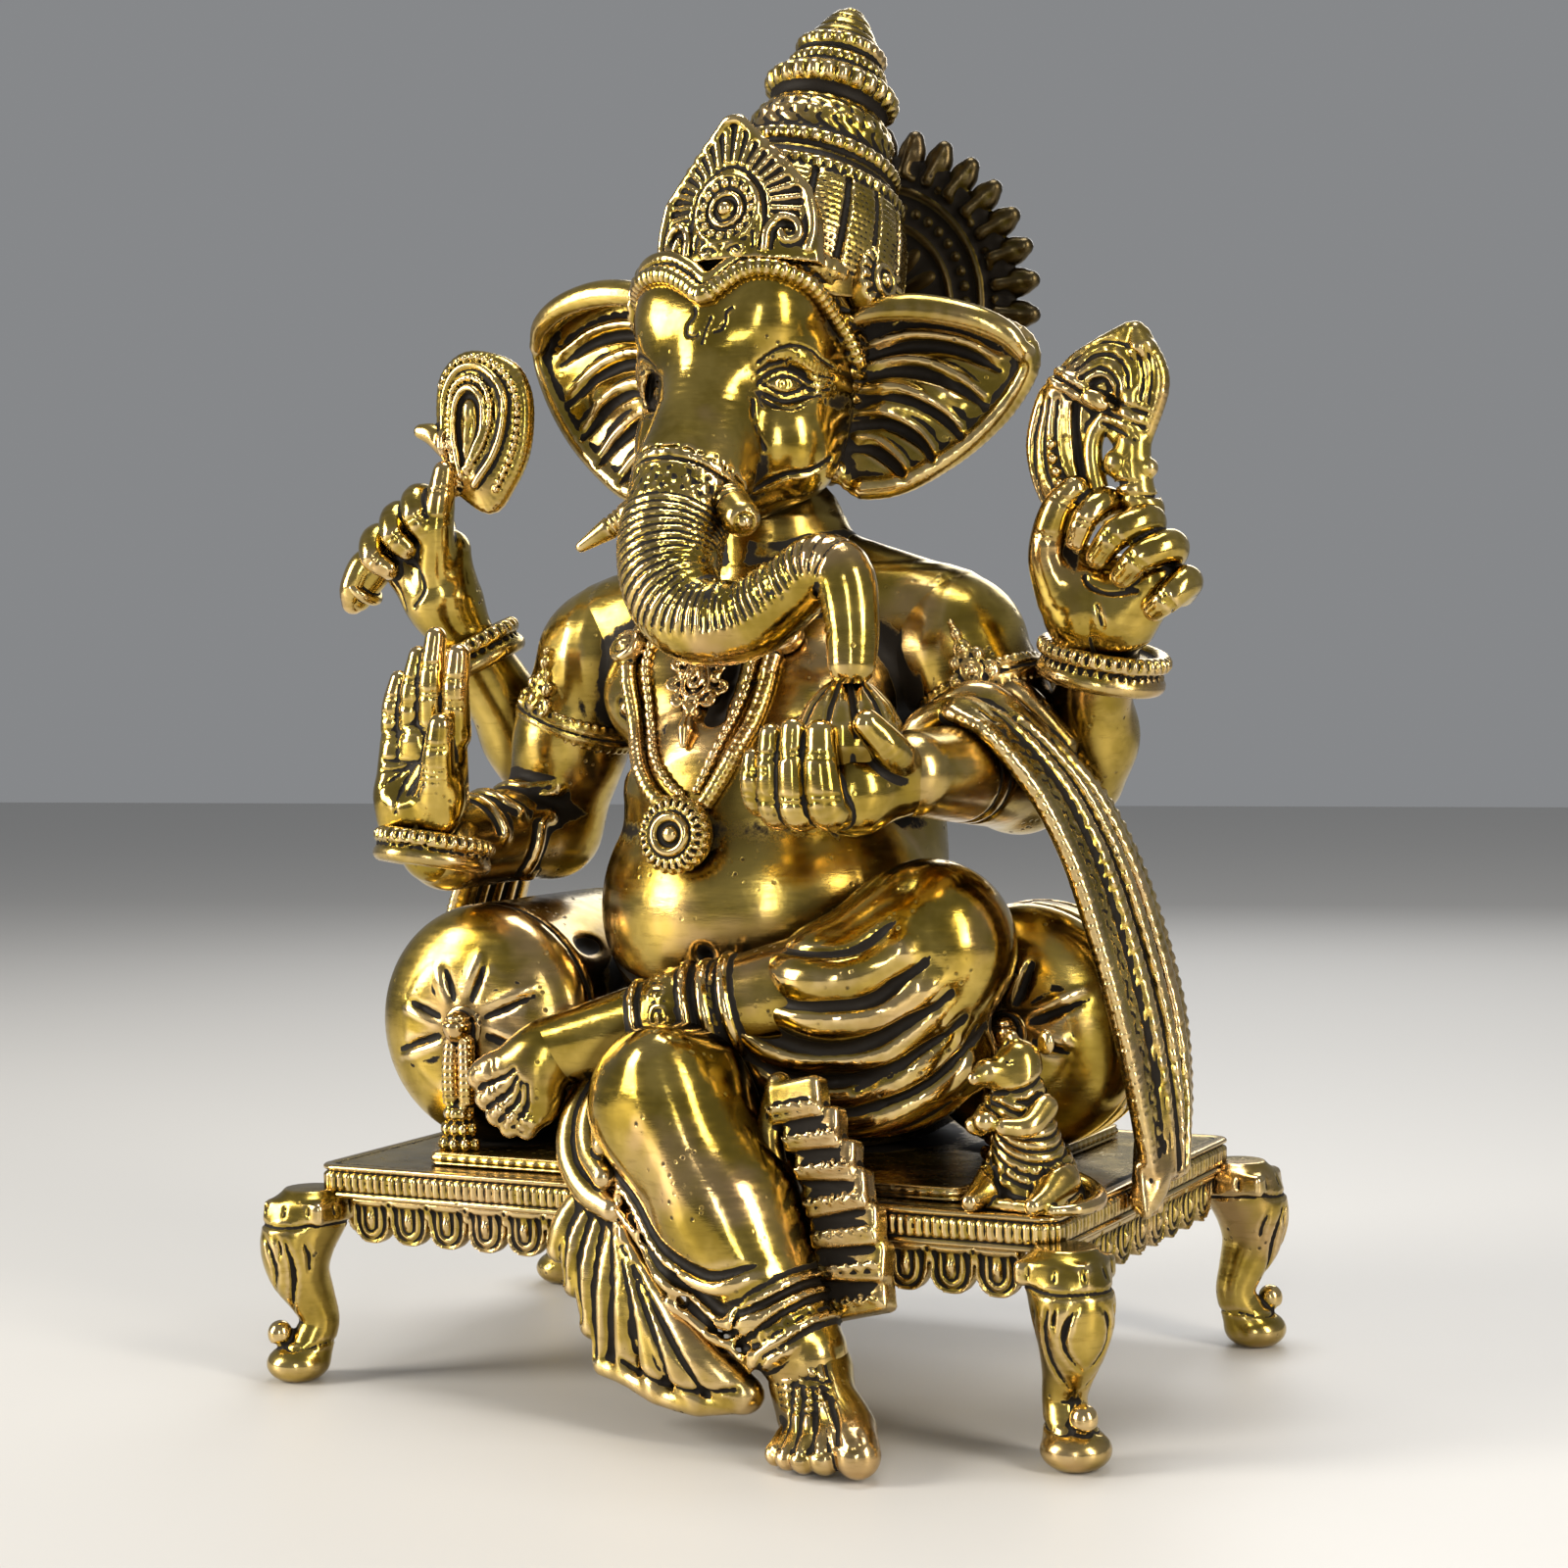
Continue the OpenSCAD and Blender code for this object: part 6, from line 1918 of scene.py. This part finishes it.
@pair("tassel", "polished_brass")
def tassel(side):
    x, y = BOLSTER_X * side, (-43.2 if side < 0 else -10.2)
    c = Clay((x - 9, y - 7, 52), (x + 9, y + 8, 94), 0.36)
    c.add(disc((x, y + 2.6, 84), 5.6, 1.6, facing(FRONT), 1.0))
    c.add(egg((x, y - 0.6, 84.4), (3.6, 3.6, 3.8)))
    c.groove(arc((x, y - 0.4, 84.4), 3.9, 0, 360, 25, facing(FRONT)), 0.5)
    c.groove(arc((x, y - 0.4, 86.0), 3.2, 0, 360, 25), 0.45)
    for s in (-1, 1):
        p = curve([(x + 1.9 * s, y, 81), (x + 2.3 * s, y - 0.6, 74), (x + 2.2 * s, y - 0.4, 66)], 1.0)
        ribbed(c, p, 2.5, 1.7)
    c.groove(np.stack([vec(x, y - 3.2, 80.5), vec(x, y - 3.4, 65)]), 0.7)
    for k in range(3):
        z = 64.4 - 3.6 * k
        wide = 3.0 + 0.9 * k
        c.add(egg((x, y, z - 1), (wide, 3.2, 2.8)), 0.5)
        for j in range(5):
            a = math.radians(-90 + (j - 2) * 36)
            c.add(egg((x + wide * math.cos(a), y + (2.6 + 0.25 * k) * math.sin(a), z - 0.8),
                      (1.35, 1.2, 1.7)), 0.2)
        c.groove(arc((x, y, z + 1.0), wide + 1.0, 180, 360, 25), 0.55)
    c.cut(block((0, 0, 27), (120, 120, 27.1)))
    return c


def plate(half_x, half_y, corner, edge, wave, step, rings):
    """A flat board built as rings.

    The edge is (inset, height) from bottom to top, and wave(run, height) moves the rim outwards.
    """
    step = step * COARSE
    sides = []
    for cx, cy, start in ((1, -1, -90), (1, 1, 0), (-1, 1, 90), (-1, -1, 180)):
        a = np.radians(np.linspace(start, start + 90, max(4, int(corner * 1.57 / step))))
        sides.append(np.stack([cx * (half_x - corner) + corner * np.cos(a),
                               cy * (half_y - corner) + corner * np.sin(a)], 1))
    loop = np.vstack(sides)
    first = int(np.argmax(loop[:, 0] + 1e-3 * loop[:, 1] > half_x - 1e-6))
    loop = np.vstack([loop[first:], loop[:first]])
    # even spacing that starts half a step before the middle of the +X side, so the two halves mirror
    closed = np.vstack([loop, loop[:1]])
    run = np.concatenate([[0], np.cumsum(np.linalg.norm(np.diff(closed, axis=0), axis=1))])
    middle = np.interp(0.0, [closed[0, 1], closed[1, 1]], [0, run[1]])
    n = 2 * int(run[-1] / step / 2)
    s = (middle + (np.arange(n) + 0.5) * run[-1] / n) % run[-1]
    flat = np.stack([np.interp(s, run, closed[:, 0]), np.interp(s, run, closed[:, 1])], 1)
    core = np.clip(flat, (-half_x + corner, -half_y + corner), (half_x - corner, half_y - corner))
    out = flat - core
    out /= np.linalg.norm(out, axis=1, keepdims=True)
    inner = np.stack([np.clip(flat[:, 0], -half_x + 0.8 * half_y, half_x - 0.8 * half_y), 0.2 * flat[:, 1]],
                     1)
    travel = np.arange(n) * run[-1] / n
    rows = []
    low, high = edge[0][1], edge[-1][1]
    for t in np.linspace(0.97, 0.03, rings):
        rows.append(np.column_stack([mix(flat - edge[0][0] * out, inner, t), np.full(n, low)]))
    for inset, z in edge:
        rows.append(np.column_stack([flat + (wave(travel, z) - inset)[:, None] * out, np.full(n, z)]))
    for t in np.linspace(0.03, 0.97, rings):
        rows.append(np.column_stack([mix(flat - edge[-1][0] * out, inner, t), np.full(n, high)]))
    p = np.vstack(rows)
    i = np.arange(n)
    j = (i + 1) % n
    quads = [np.stack([r * n + i, r * n + j, (r + 1) * n + j, (r + 1) * n + i],
                      1) for r in range(len(rows) - 1)]
    h = np.arange(n // 2 - 1)
    last = (len(rows) - 1) * n
    quads.append(np.stack([h, n - 1 - h, n - 2 - h, h + 1], 1))
    quads.append(np.stack([h, h + 1, n - 2 - h, n - 1 - h], 1) + last)
    c = Clay((-half_x - 2, -half_y - 2, low - 3), (half_x + 2, half_y + 2, high + 3), 1.0)
    c.add(block((0, 0, (low + high) / 2), (half_x - 0.4, half_y - 0.4, (high - low) / 2)))
    c.skin = p, np.vstack(quads)
    return c


@piece("stool_slab", "cast_brass")
def stool_slab():
    def ribs(run, z):
        strong = 1.0 if 45.6 < z < 50.2 else 0.0
        return strong * (-0.95 * (0.5 - 0.5 * np.cos(2 * math.pi * run / 2.1)) ** 1.6)
    edge = [(1.4, 44), (0.7, 44.1), (0.4, 44.5), (0.4, 45.0), (1.1, 45.3), (1.1, 45.6), (0.3, 45.9),
            (0.0, 46.4), (0, 47.2), (0, 48.0), (0, 48.8), (0, 49.5), (0.3, 49.95),
            (1.1, 50.25), (1.1, 50.5), (0.2, 50.8), (0.0, 51.2), (0.1, 51.6), (0.5, 51.9), (1.2, 52.0),
            (2.6, 51.9), (3.0, 51.75)]
    return plate(95, 59, 5, edge, ribs, 0.5, 16)


@piece("seat_mat", "patinated_brass")
def seat_mat():
    def ribs(run, z):
        return -0.5 * (0.5 - 0.5 * np.cos(2 * math.pi * run / 3.2)) if 52.6 < z < 54.4 else 0 * run
    edge = [(0.8, 52.0), (0.3, 52.2), (0.2, 52.5), (0.7, 52.7), (0.3, 52.9), (0, 53.3), (0, 53.8),
            (0.2, 54.2), (0.7, 54.4), (0.4, 54.6), (0.6, 54.9), (1.2, 55.0), (2.2, 54.9)]
    return plate(70, 50, 4, edge, ribs, 0.8, 12)


def apron(length, petals, turn, at):
    """A hanging board in its own axes: X along it, Y out of its face."""
    at = vec(at)
    reach = np.abs(turn) @ vec(length / 2 + 1, 4.5, 7.5)
    c = Clay(at - reach, at + reach, 0.45)
    x, y, z = turn[:, 0], turn[:, 1], turn[:, 2]

    def spot(a, b, d):
        return at + a * x + b * y + d * z
    pitch = length / petals
    c.add(block(spot(0, -0.2, 3.4), (length / 2, 2.2, 2.2), turn))
    c.add(block(spot(0, 0.3, 4.6), (length / 2, 2.4, 0.9), turn, 0.5))
    for k in range(petals):
        a = (k + 0.5) * pitch - length / 2
        c.add(disc(spot(a, -0.2, -0.6), pitch * 0.47, 2.2, turn @ facing((0, 1, 0)), 0.7), 0.2)
        c.add(block(spot(a, -0.2, 1.6), (pitch * 0.47, 2.2, 2.4), turn, 0.4))
        for r, g in ((0.34, 0.95), (0.15, 0.6)):
            u = [spot(a - r * pitch, 1.9, 3.0), spot(a - r * pitch, 1.9, -0.8),
                 spot(a - 0.7 * r * pitch, 1.9, -1.0 - 0.66 * r * pitch),
                 spot(a, 1.9, -1.0 - r * pitch), spot(a + 0.7 * r * pitch, 1.9, -1.0 - 0.66 * r * pitch),
                 spot(a + r * pitch, 1.9, -0.8), spot(a + r * pitch, 1.9, 3.0)]
            c.groove(curve(u, 0.7), g)
        c.add(egg(spot(a, 1.9, 0.4), (1.0, 0.8, 1.5), turn))
        c.groove(np.stack([spot(a + pitch / 2, 2.4, 4), spot(a + pitch / 2, 2.4, -2.5)]), 0.7)
    return c


APRON_Z = 38.9
for word, length, petals, angle, x, y in (("front", 172, 16, 180, 0, -55.2), ("back", 172, 16, 0, 0, 55.2),
                                          ("left", 100, 9, -90, 91, 0), ("right", 100, 9, 90, -91, 0)):
    PIECES[f"apron_{word}"] = (partial(apron, length, petals, turned(rz=angle), (x, y, APRON_Z)),
                               "patinated_brass")


LEAVES = [  # grooves on a leg: places as (across, height), and how wide each is cut
    ([(-6, 36), (-3.4, 32), (-2.6, 27), (-5.0, 21.5)], 0.85),
    ([(0.6, 35), (2.0, 30), (1.4, 24), (-1.6, 17)], 1.0),
    ([(4.6, 35), (5.4, 31), (4.6, 26.5)], 0.7),
    ([(-1.5, 36), (-0.5, 33), (-0.8, 30)], 0.5),
    ([(-2.4, 17), (-1.4, 14), (-2, 11)], 0.5),
]


def stool_leg(sx, sy):
    c = Clay((97 - 13, 58.5 - 13, 0), (97 + 13, 58.5 + 13, 45), 0.45)
    c.add(rod([(96.8, 58.2, 40, 8.8), (99.2, 60.6, 34, 9.0), (99.2, 60.8, 27, 7.4), (97.2, 58.6, 20, 5.6),
               (95.8, 57.4, 14, 4.8), (97.0, 58.8, 9, 5.2)], 1.5))
    c.add(block((96.6, 58.2, 41.2), (8.6, 8.6, 2.8), None, 1.6), 2)
    c.add(egg((99.6, 61, 4.2), (7.6, 7.6, 4.8)), 2.2)
    c.add(egg((102.6, 64, 11.5), (3.0, 3.0, 3.2)), 0.5)
    c.add(egg((98.4, 60, 7.6), (5.8, 5.8, 2.6)), 1)
    c.groove(c.hug(arc((98.2, 59.4, 38.2), 10, 0, 360, 61)), 0.6, 0.2)
    c.groove(c.hug(arc((98.6, 60, 9.2), 7, 0, 360, 49)), 0.5, 0.2)
    # leaf scrolls on the outer faces
    for wide, way in ((vec(0, -1, 0), vec(1, 0, 0)), (vec(-1, 0, 0), vec(0, 1, 0))):
        base = vec(97.6, 59, 0) + 13 * way
        for points, r in LEAVES:
            p = np.array([base + a * wide + b * UP for a, b in points])
            p = c.drop(curve(p, 0.8), -way, 22)
            if len(p) > 3:
                c.groove(p, r * np.sin(np.linspace(0.35, math.pi - 0.3, len(p))), 0.3)
    for k in range(9):
        a = math.radians(45 + 40 * k)
        q = vec(97 + 9.4 * math.cos(a), 59 + 9.4 * math.sin(a), 40.6)
        c.groove(c.hug(np.stack([q, q + vec(0, 0, 2.2)])), 0.5)
    c.cut(block((97, 59, -5), (30, 30, 5.02)))
    c.d = c.d[::1 if sx > 0 else -1, ::1 if sy > 0 else -1]
    far = c.lo + (c.n - 1) * c.step
    c.lo = vec(c.lo[0] if sx > 0 else -far[0], c.lo[1] if sy > 0 else -far[1], c.lo[2])
    c.d = np.ascontiguousarray(c.d)
    return c


for depth, sy in (("front", -1), ("back", 1)):
    for hand, sx in (("right", -1), ("left", 1)):
        PIECES[f"leg_{depth}_{hand}"] = (partial(stool_leg, sx, sy), "cast_brass")


def cached(maker):
    """Makes a clay once, even when several pieces ask for it."""
    kept, lock = [], Lock()

    def get():
        with lock:
            if not kept:
                kept.append(maker())
        return kept[0]
    return get


PIECES = {name: (cached(maker), finish) for name, (maker, finish) in PIECES.items()}
MADE = {name: maker for name, (maker, finish) in PIECES.items()}


# ---- from clay to Blender
def make_mesh(name, p, q, marks):
    me = bpy.data.meshes.new(name)
    me.vertices.add(len(p))
    me.vertices.foreach_set("co", to_frame(p).astype(np.float32).ravel())
    me.loops.add(q.size)
    me.loops.foreach_set("vertex_index", q.astype(np.int32).ravel())
    me.polygons.add(len(q))
    me.polygons.foreach_set("loop_start", np.arange(0, q.size, 4, dtype=np.int32))
    me.polygons.foreach_set("use_smooth", np.ones(len(q), bool))
    me.update(calc_edges=True)
    for mark, values in marks.items():
        me.attributes.new(mark, "FLOAT", "POINT").data.foreach_set("value", values.astype(np.float32))
    obj = bpy.data.objects.new(name, me)
    bpy.context.scene.collection.objects.link(obj)
    return obj


def blurred(a, n):
    """A box blur n voxels to each side, along every axis."""
    for k in range(3):
        pad = [(n + 1, n) if j == k else (0, 0) for j in range(3)]
        s = np.cumsum(np.pad(a, pad, mode="edge"), axis=k, dtype=np.float64)
        hi = [slice(2 * n + 1, None) if j == k else slice(None) for j in range(3)]
        lo = [slice(0, -(2 * n + 1)) if j == k else slice(None) for j in range(3)]
        a = ((s[tuple(hi)] - s[tuple(lo)]) / (2 * n + 1)).astype(np.float32)
    return a


# crowding works as an occlusion measure: the materials paint shade from it where parts crowd together
def crowding(clays):
    """How full the space is around each place, at two sizes: about half on open skin, more in a hollow."""
    step = 1.3
    whole = Clay(np.min([c.lo for c in clays], 0) - 12, np.max([c.lo + c.n * c.step for c in clays], 0) + 12,
                 step / COARSE)
    full = np.zeros(whole.n, np.float32)
    for c in clays:
        axes = whole.axes()
        hi = c.lo + (c.n - 1) * c.step
        cut = [np.where((a >= c.lo[i]) & (a <= hi[i]))[0] for i, a in enumerate(axes)]
        cut = tuple(slice(i[0], i[-1] + 1) for i in cut)
        near = np.clip(0.5 - c.part([a[s] for a, s in zip(axes, cut)]) / step, 0, 1)
        full[cut] = np.maximum(full[cut], near)
    out = []
    for n in (2, 6):
        whole.d = blurred(blurred(full, n), n)
        out.append(copy_of(whole).sample)
    return out


def copy_of(clay):
    out = object.__new__(Clay)
    out.lo, out.n, out.step, out.d = clay.lo, clay.n, clay.step, clay.d
    return out


# how strongly each kind of hollow holds the dark wash, how much painted shade crowding between parts adds to it, and
# how crowded open skin is
FINE_WASH, BROAD_WASH, CROWD_SHADE, OPEN_SKIN = 26.0, 5.0, 6.0, 0.52
WASH_FROM, WASH_FULL = 0.25, 0.62
# colours: the black wash, also painted shade where parts crowd; brown tarnish, also broad painted shade; file marks,
# olive and yellow gold, peach gold; rubbed edges, partly wear and partly a painted highlight
BLACK, TARNISH_AND_SHADE, FILED = (0.009, 0.006, 0.003), (0.11, 0.065, 0.010), (0.20, 0.13, 0.02)
OLIVE, YELLOW, PEACH, RUBBED_AND_HIGHLIGHT = (0.31, 0.215, 0.032), (0.56, 0.40, 0.095), (0.68, 0.45,
                                                                           0.24), (0.86, 0.64, 0.34)


def brass(name, shine, grime, tint):
    """Antique brass: gold, lighter on raised ridges (rubbed wear and a painted highlight), near-black where the dark
    wash was left in the hollows, and darkened with painted shade where parts crowd together.
    """
    mat = bpy.data.materials.new(name)
    mat.use_nodes = True
    nt = mat.node_tree
    node, link = nt.nodes, nt.links.new
    shader = node["Principled BSDF"]

    def add(kind, **values):
        n = node.new(kind)
        for key, value in values.items():
            if key in n.inputs:
                n.inputs[key].default_value = value
            else:
                setattr(n, key, value)
        return n

    def maths(op, a, b=None, clamp=False):
        n = add("ShaderNodeMath", operation=op, use_clamp=clamp)
        for i, v in enumerate((a, b)):
            if v is None:
                continue
            if isinstance(v, (int, float)):
                n.inputs[i].default_value = v
            else:
                link(v, n.inputs[i])
        return n.outputs[0]

    def ranged(v, a, b, c=0.0, d=1.0):
        n = add("ShaderNodeMapRange", interpolation_type="SMOOTHSTEP")
        link(v, n.inputs["Value"])
        for key, value in zip(("From Min", "From Max", "To Min", "To Max"), (a, b, c, d)):
            n.inputs[key].default_value = value
        return n.outputs["Result"]

    def noise(scale, detail=3.0, rough=0.55, stretch=None):
        n = add("ShaderNodeTexNoise", Scale=scale, Detail=detail, Roughness=rough)
        source = place.outputs["Object"]
        if stretch:
            m = add("ShaderNodeMapping", Scale=stretch)
            link(source, m.inputs["Vector"])
            source = m.outputs["Vector"]
        link(source, n.inputs["Vector"])
        return n.outputs["Fac"]

    def mixed(t, a, b):
        n = add("ShaderNodeMix", data_type="RGBA")
        link(t, n.inputs[0])
        for i, v in ((6, a), (7, b)):
            if isinstance(v, tuple):
                n.inputs[i].default_value = (*v, 1)
            else:
                link(v, n.inputs[i])
        return n.outputs[2]

    place = add("ShaderNodeTexCoord")
    mark = {m: add("ShaderNodeAttribute", attribute_name=m).outputs["Fac"] for m in ("fine", "broad", "deep")}
    blotch = noise(55.0, 4.0, 0.6)
    speck = noise(620.0, 3.0, 0.7)
    filed = noise(240.0, 4.0, 0.65, stretch=(0.45, 0.8, 3.0))
    # the wash: patina in hollows of each size, plus painted shade where parts crowd together, broken up by blotches
    hollow = maths("ADD", maths("MULTIPLY", mark["fine"], FINE_WASH), maths("MULTIPLY", mark["broad"],
                                                                            BROAD_WASH))
    hollow = maths("ADD", hollow, maths("MULTIPLY", maths("SUBTRACT", mark["deep"], OPEN_SKIN), CROWD_SHADE))
    hollow = maths("ADD", hollow, maths("MULTIPLY", maths("SUBTRACT", blotch, 0.5), 1.1))
    hollow = maths("ADD", hollow, maths("MULTIPLY", maths("SUBTRACT", speck, 0.5), 0.9))
    wash_and_shade = ranged(maths("ADD", hollow, grime), WASH_FROM, WASH_FULL)
    # painted shade: a broad brown darkening where parts crowd together, also standing for tarnish
    tarnish_and_shade = ranged(maths("ADD", mark["deep"], maths("MULTIPLY", maths("SUBTRACT", blotch, 0.5), 0.12)),
                     0.47, 0.57)
    # casting pits
    cells = add("ShaderNodeTexVoronoi", Scale=420.0)
    link(place.outputs["Object"], cells.inputs["Vector"])
    pit = ranged(cells.outputs["Distance"], 0.10, 0.30, 1.0, 0.0)
    pit = maths("MULTIPLY", pit, ranged(noise(90.0, 2.0), 0.55, 0.68))
    dark = maths("MAXIMUM", wash_and_shade, maths("MULTIPLY", pit, 0.9))
    # cream on raised ridges: partly rubbed wear, partly a painted highlight
    rubbed_and_highlight = ranged(mark["fine"], -0.03, -0.13)
    tones = (OLIVE, YELLOW, PEACH, RUBBED_AND_HIGHLIGHT, FILED)
    olive, yellow, peach, edge, filings = (tuple(v * tint for v in tone) for tone in tones)
    gold = mixed(ranged(blotch, 0.36, 0.66), olive, yellow)
    gold = mixed(maths("MULTIPLY", ranged(noise(32.0, 3.0), 0.50, 0.66), 0.6), gold, peach)
    gold = mixed(maths("MULTIPLY", rubbed_and_highlight, 0.6), gold, edge)
    gold = mixed(maths("MULTIPLY", ranged(filed, 0.54, 0.68), 0.28), gold, filings)
    gold = mixed(maths("MULTIPLY", tarnish_and_shade, 0.8), gold, TARNISH_AND_SHADE)
    # near-black for patina in the hollows and for painted shade where parts crowd together
    colour = mixed(dark, gold, BLACK)
    link(colour, shader.inputs["Base Color"])
    link(ranged(dark, 0.0, 1.0, 1.0, 0.25), shader.inputs["Metallic"])
    shader.inputs["Specular IOR Level"].default_value = 0.25
    rough = maths("ADD", maths("MULTIPLY", ranged(filed, 0.35, 0.75), 0.10), shine)
    rough = maths("SUBTRACT", rough, maths("MULTIPLY", rubbed_and_highlight, 0.04))
    link(maths("ADD", rough, maths("MULTIPLY", dark, 0.42), clamp=True), shader.inputs["Roughness"])
    height = maths("ADD", maths("MULTIPLY", filed, 0.5), maths("MULTIPLY", noise(260.0, 2.0), 0.5))
    height = maths("SUBTRACT", height, maths("MULTIPLY", pit, 1.4))
    height = maths("ADD", height, maths("MULTIPLY", noise(75.0, 2.0, 0.4), 2.2))
    bump = add("ShaderNodeBump", Strength=0.55, Distance=0.00016)
    link(height, bump.inputs["Height"])
    link(bump.outputs["Normal"], shader.inputs["Normal"])
    return mat


MATERIALS = {
    "polished_brass": brass("polished_brass", 0.12, -0.04, 1.08),
    "cast_brass": brass("cast_brass", 0.18, 0.05, 1.0),
    "patinated_brass": brass("patinated_brass", 0.22, 0.17, 0.95),
    "blackened_brass": brass("blackened_brass", 0.34, 0.50, 0.12),
}


def build_all():
    with ThreadPoolExecutor(4) as pool:
        clays = dict(zip(PIECES, pool.map(lambda name: PIECES[name][0](), PIECES)))
        meshes = dict(zip(PIECES, pool.map(lambda name: finish_mesh(clays[name]), PIECES)))
    near, wide = crowding(list(clays.values()))
    for name, (_, finish) in PIECES.items():
        p, q, cavity = meshes[name]
        # how crowded each vertex is; the materials paint shade from this
        deep = 0.5 * near(p) + 0.5 * wide(p)
        obj = make_mesh(name + "_cast", p, q, {"fine": cavity[:, 0], "broad": cavity[:, 1], "deep": deep})
        obj.data.materials.append(MATERIALS[finish])
        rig.replaces(obj, name)
        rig.ride(obj, "root")
        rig.slot(obj, "patinated_brass" if finish == "blackened_brass" else finish)


LIT = vec(0, 0, 0.16)  # where every lamp points, in metres
FLOOR_HALF = 3.0


def build_stage():
    floor = bpy.data.meshes.new("floor")
    s = FLOOR_HALF
    floor.from_pydata([(-s, -s, 0), (s, -s, 0), (s, s, 0), (-s, s, 0)], [], [(0, 1, 2, 3)])
    floor_obj = bpy.data.objects.new("floor", floor)
    bpy.context.scene.collection.objects.link(floor_obj)
    mat = bpy.data.materials.new("pale_floor")
    mat.use_nodes = True
    shader = mat.node_tree.nodes["Principled BSDF"]
    shader.inputs["Base Color"].default_value = (0.60, 0.59, 0.57, 1)
    shader.inputs["Roughness"].default_value = 0.5
    floor.materials.append(mat)
    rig.stage(floor_obj)
    world = bpy.data.worlds.new("studio")
    world.use_nodes = True
    world.node_tree.nodes["Background"].inputs["Color"].default_value = (0.80, 0.82, 0.85, 1)
    world.node_tree.nodes["Background"].inputs["Strength"].default_value = 0.30
    bpy.context.scene.world = world

    def light(name, at, size, power, colour=(1, 1, 1)):
        data = bpy.data.lights.new(name, "AREA")
        data.shape, data.energy, data.color = "RECTANGLE", power, colour
        data.size, data.size_y = size
        lamp = bpy.data.objects.new(name, data)
        z = unit(vec(at) - LIT)
        m = Matrix(facing(z).tolist()).to_4x4()
        m.translation = at
        lamp.matrix_world = m
        bpy.context.scene.collection.objects.link(lamp)

    light("key", (-0.95, -0.75, 0.55), (0.45, 0.85), 19, colour=(1, 0.94, 0.84))
    light("right", (0.95, -0.30, 0.5), (0.22, 0.7), 8, colour=(1, 0.92, 0.80))
    light("top", (0.0, 0.1, 1.2), (0.5, 0.4), 7)
    light("front", (0.45, -1.15, 0.35), (0.14, 0.5), 2.6)
    light("back", (-0.2, 1.1, 0.7), (0.8, 0.5), 4)


def build_camera():
    """The photo's viewpoint: angles in degrees, lengths in millimetres."""
    azimuth, tilt, roll = 27.0, 1.9, -1.0
    distance, rise, sideways = 695.4, 140.7, 0.1
    back = turned(rx=-tilt, rz=azimuth) @ vec(0, -1, 0)
    right = turned(rz=azimuth) @ vec(1, 0, 0)
    up = np.cross(back, right)
    c, s = math.cos(math.radians(roll)), math.sin(math.radians(roll))
    right, up = c * right + s * up, -s * right + c * up
    data = bpy.data.cameras.new("camera")
    data.sensor_width, data.lens = 36.0, 65.57
    data.clip_start = 0.01
    cam = bpy.data.objects.new("camera", data)
    m = Matrix(np.stack([right, up, back], 1).tolist()).to_4x4()
    m.translation = to_frame(back * distance + up * rise + sideways * right)
    cam.matrix_world = m
    bpy.context.scene.collection.objects.link(cam)
    bpy.context.scene.camera = cam


build_camera()
build_stage()
build_all()
bpy.context.scene.view_settings.view_transform = "Standard"
with open("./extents.json", "w") as out:
    json.dump([[[float(v) for v in corner] for corner in box] for box in (CAD_BOX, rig.bounds())], out)
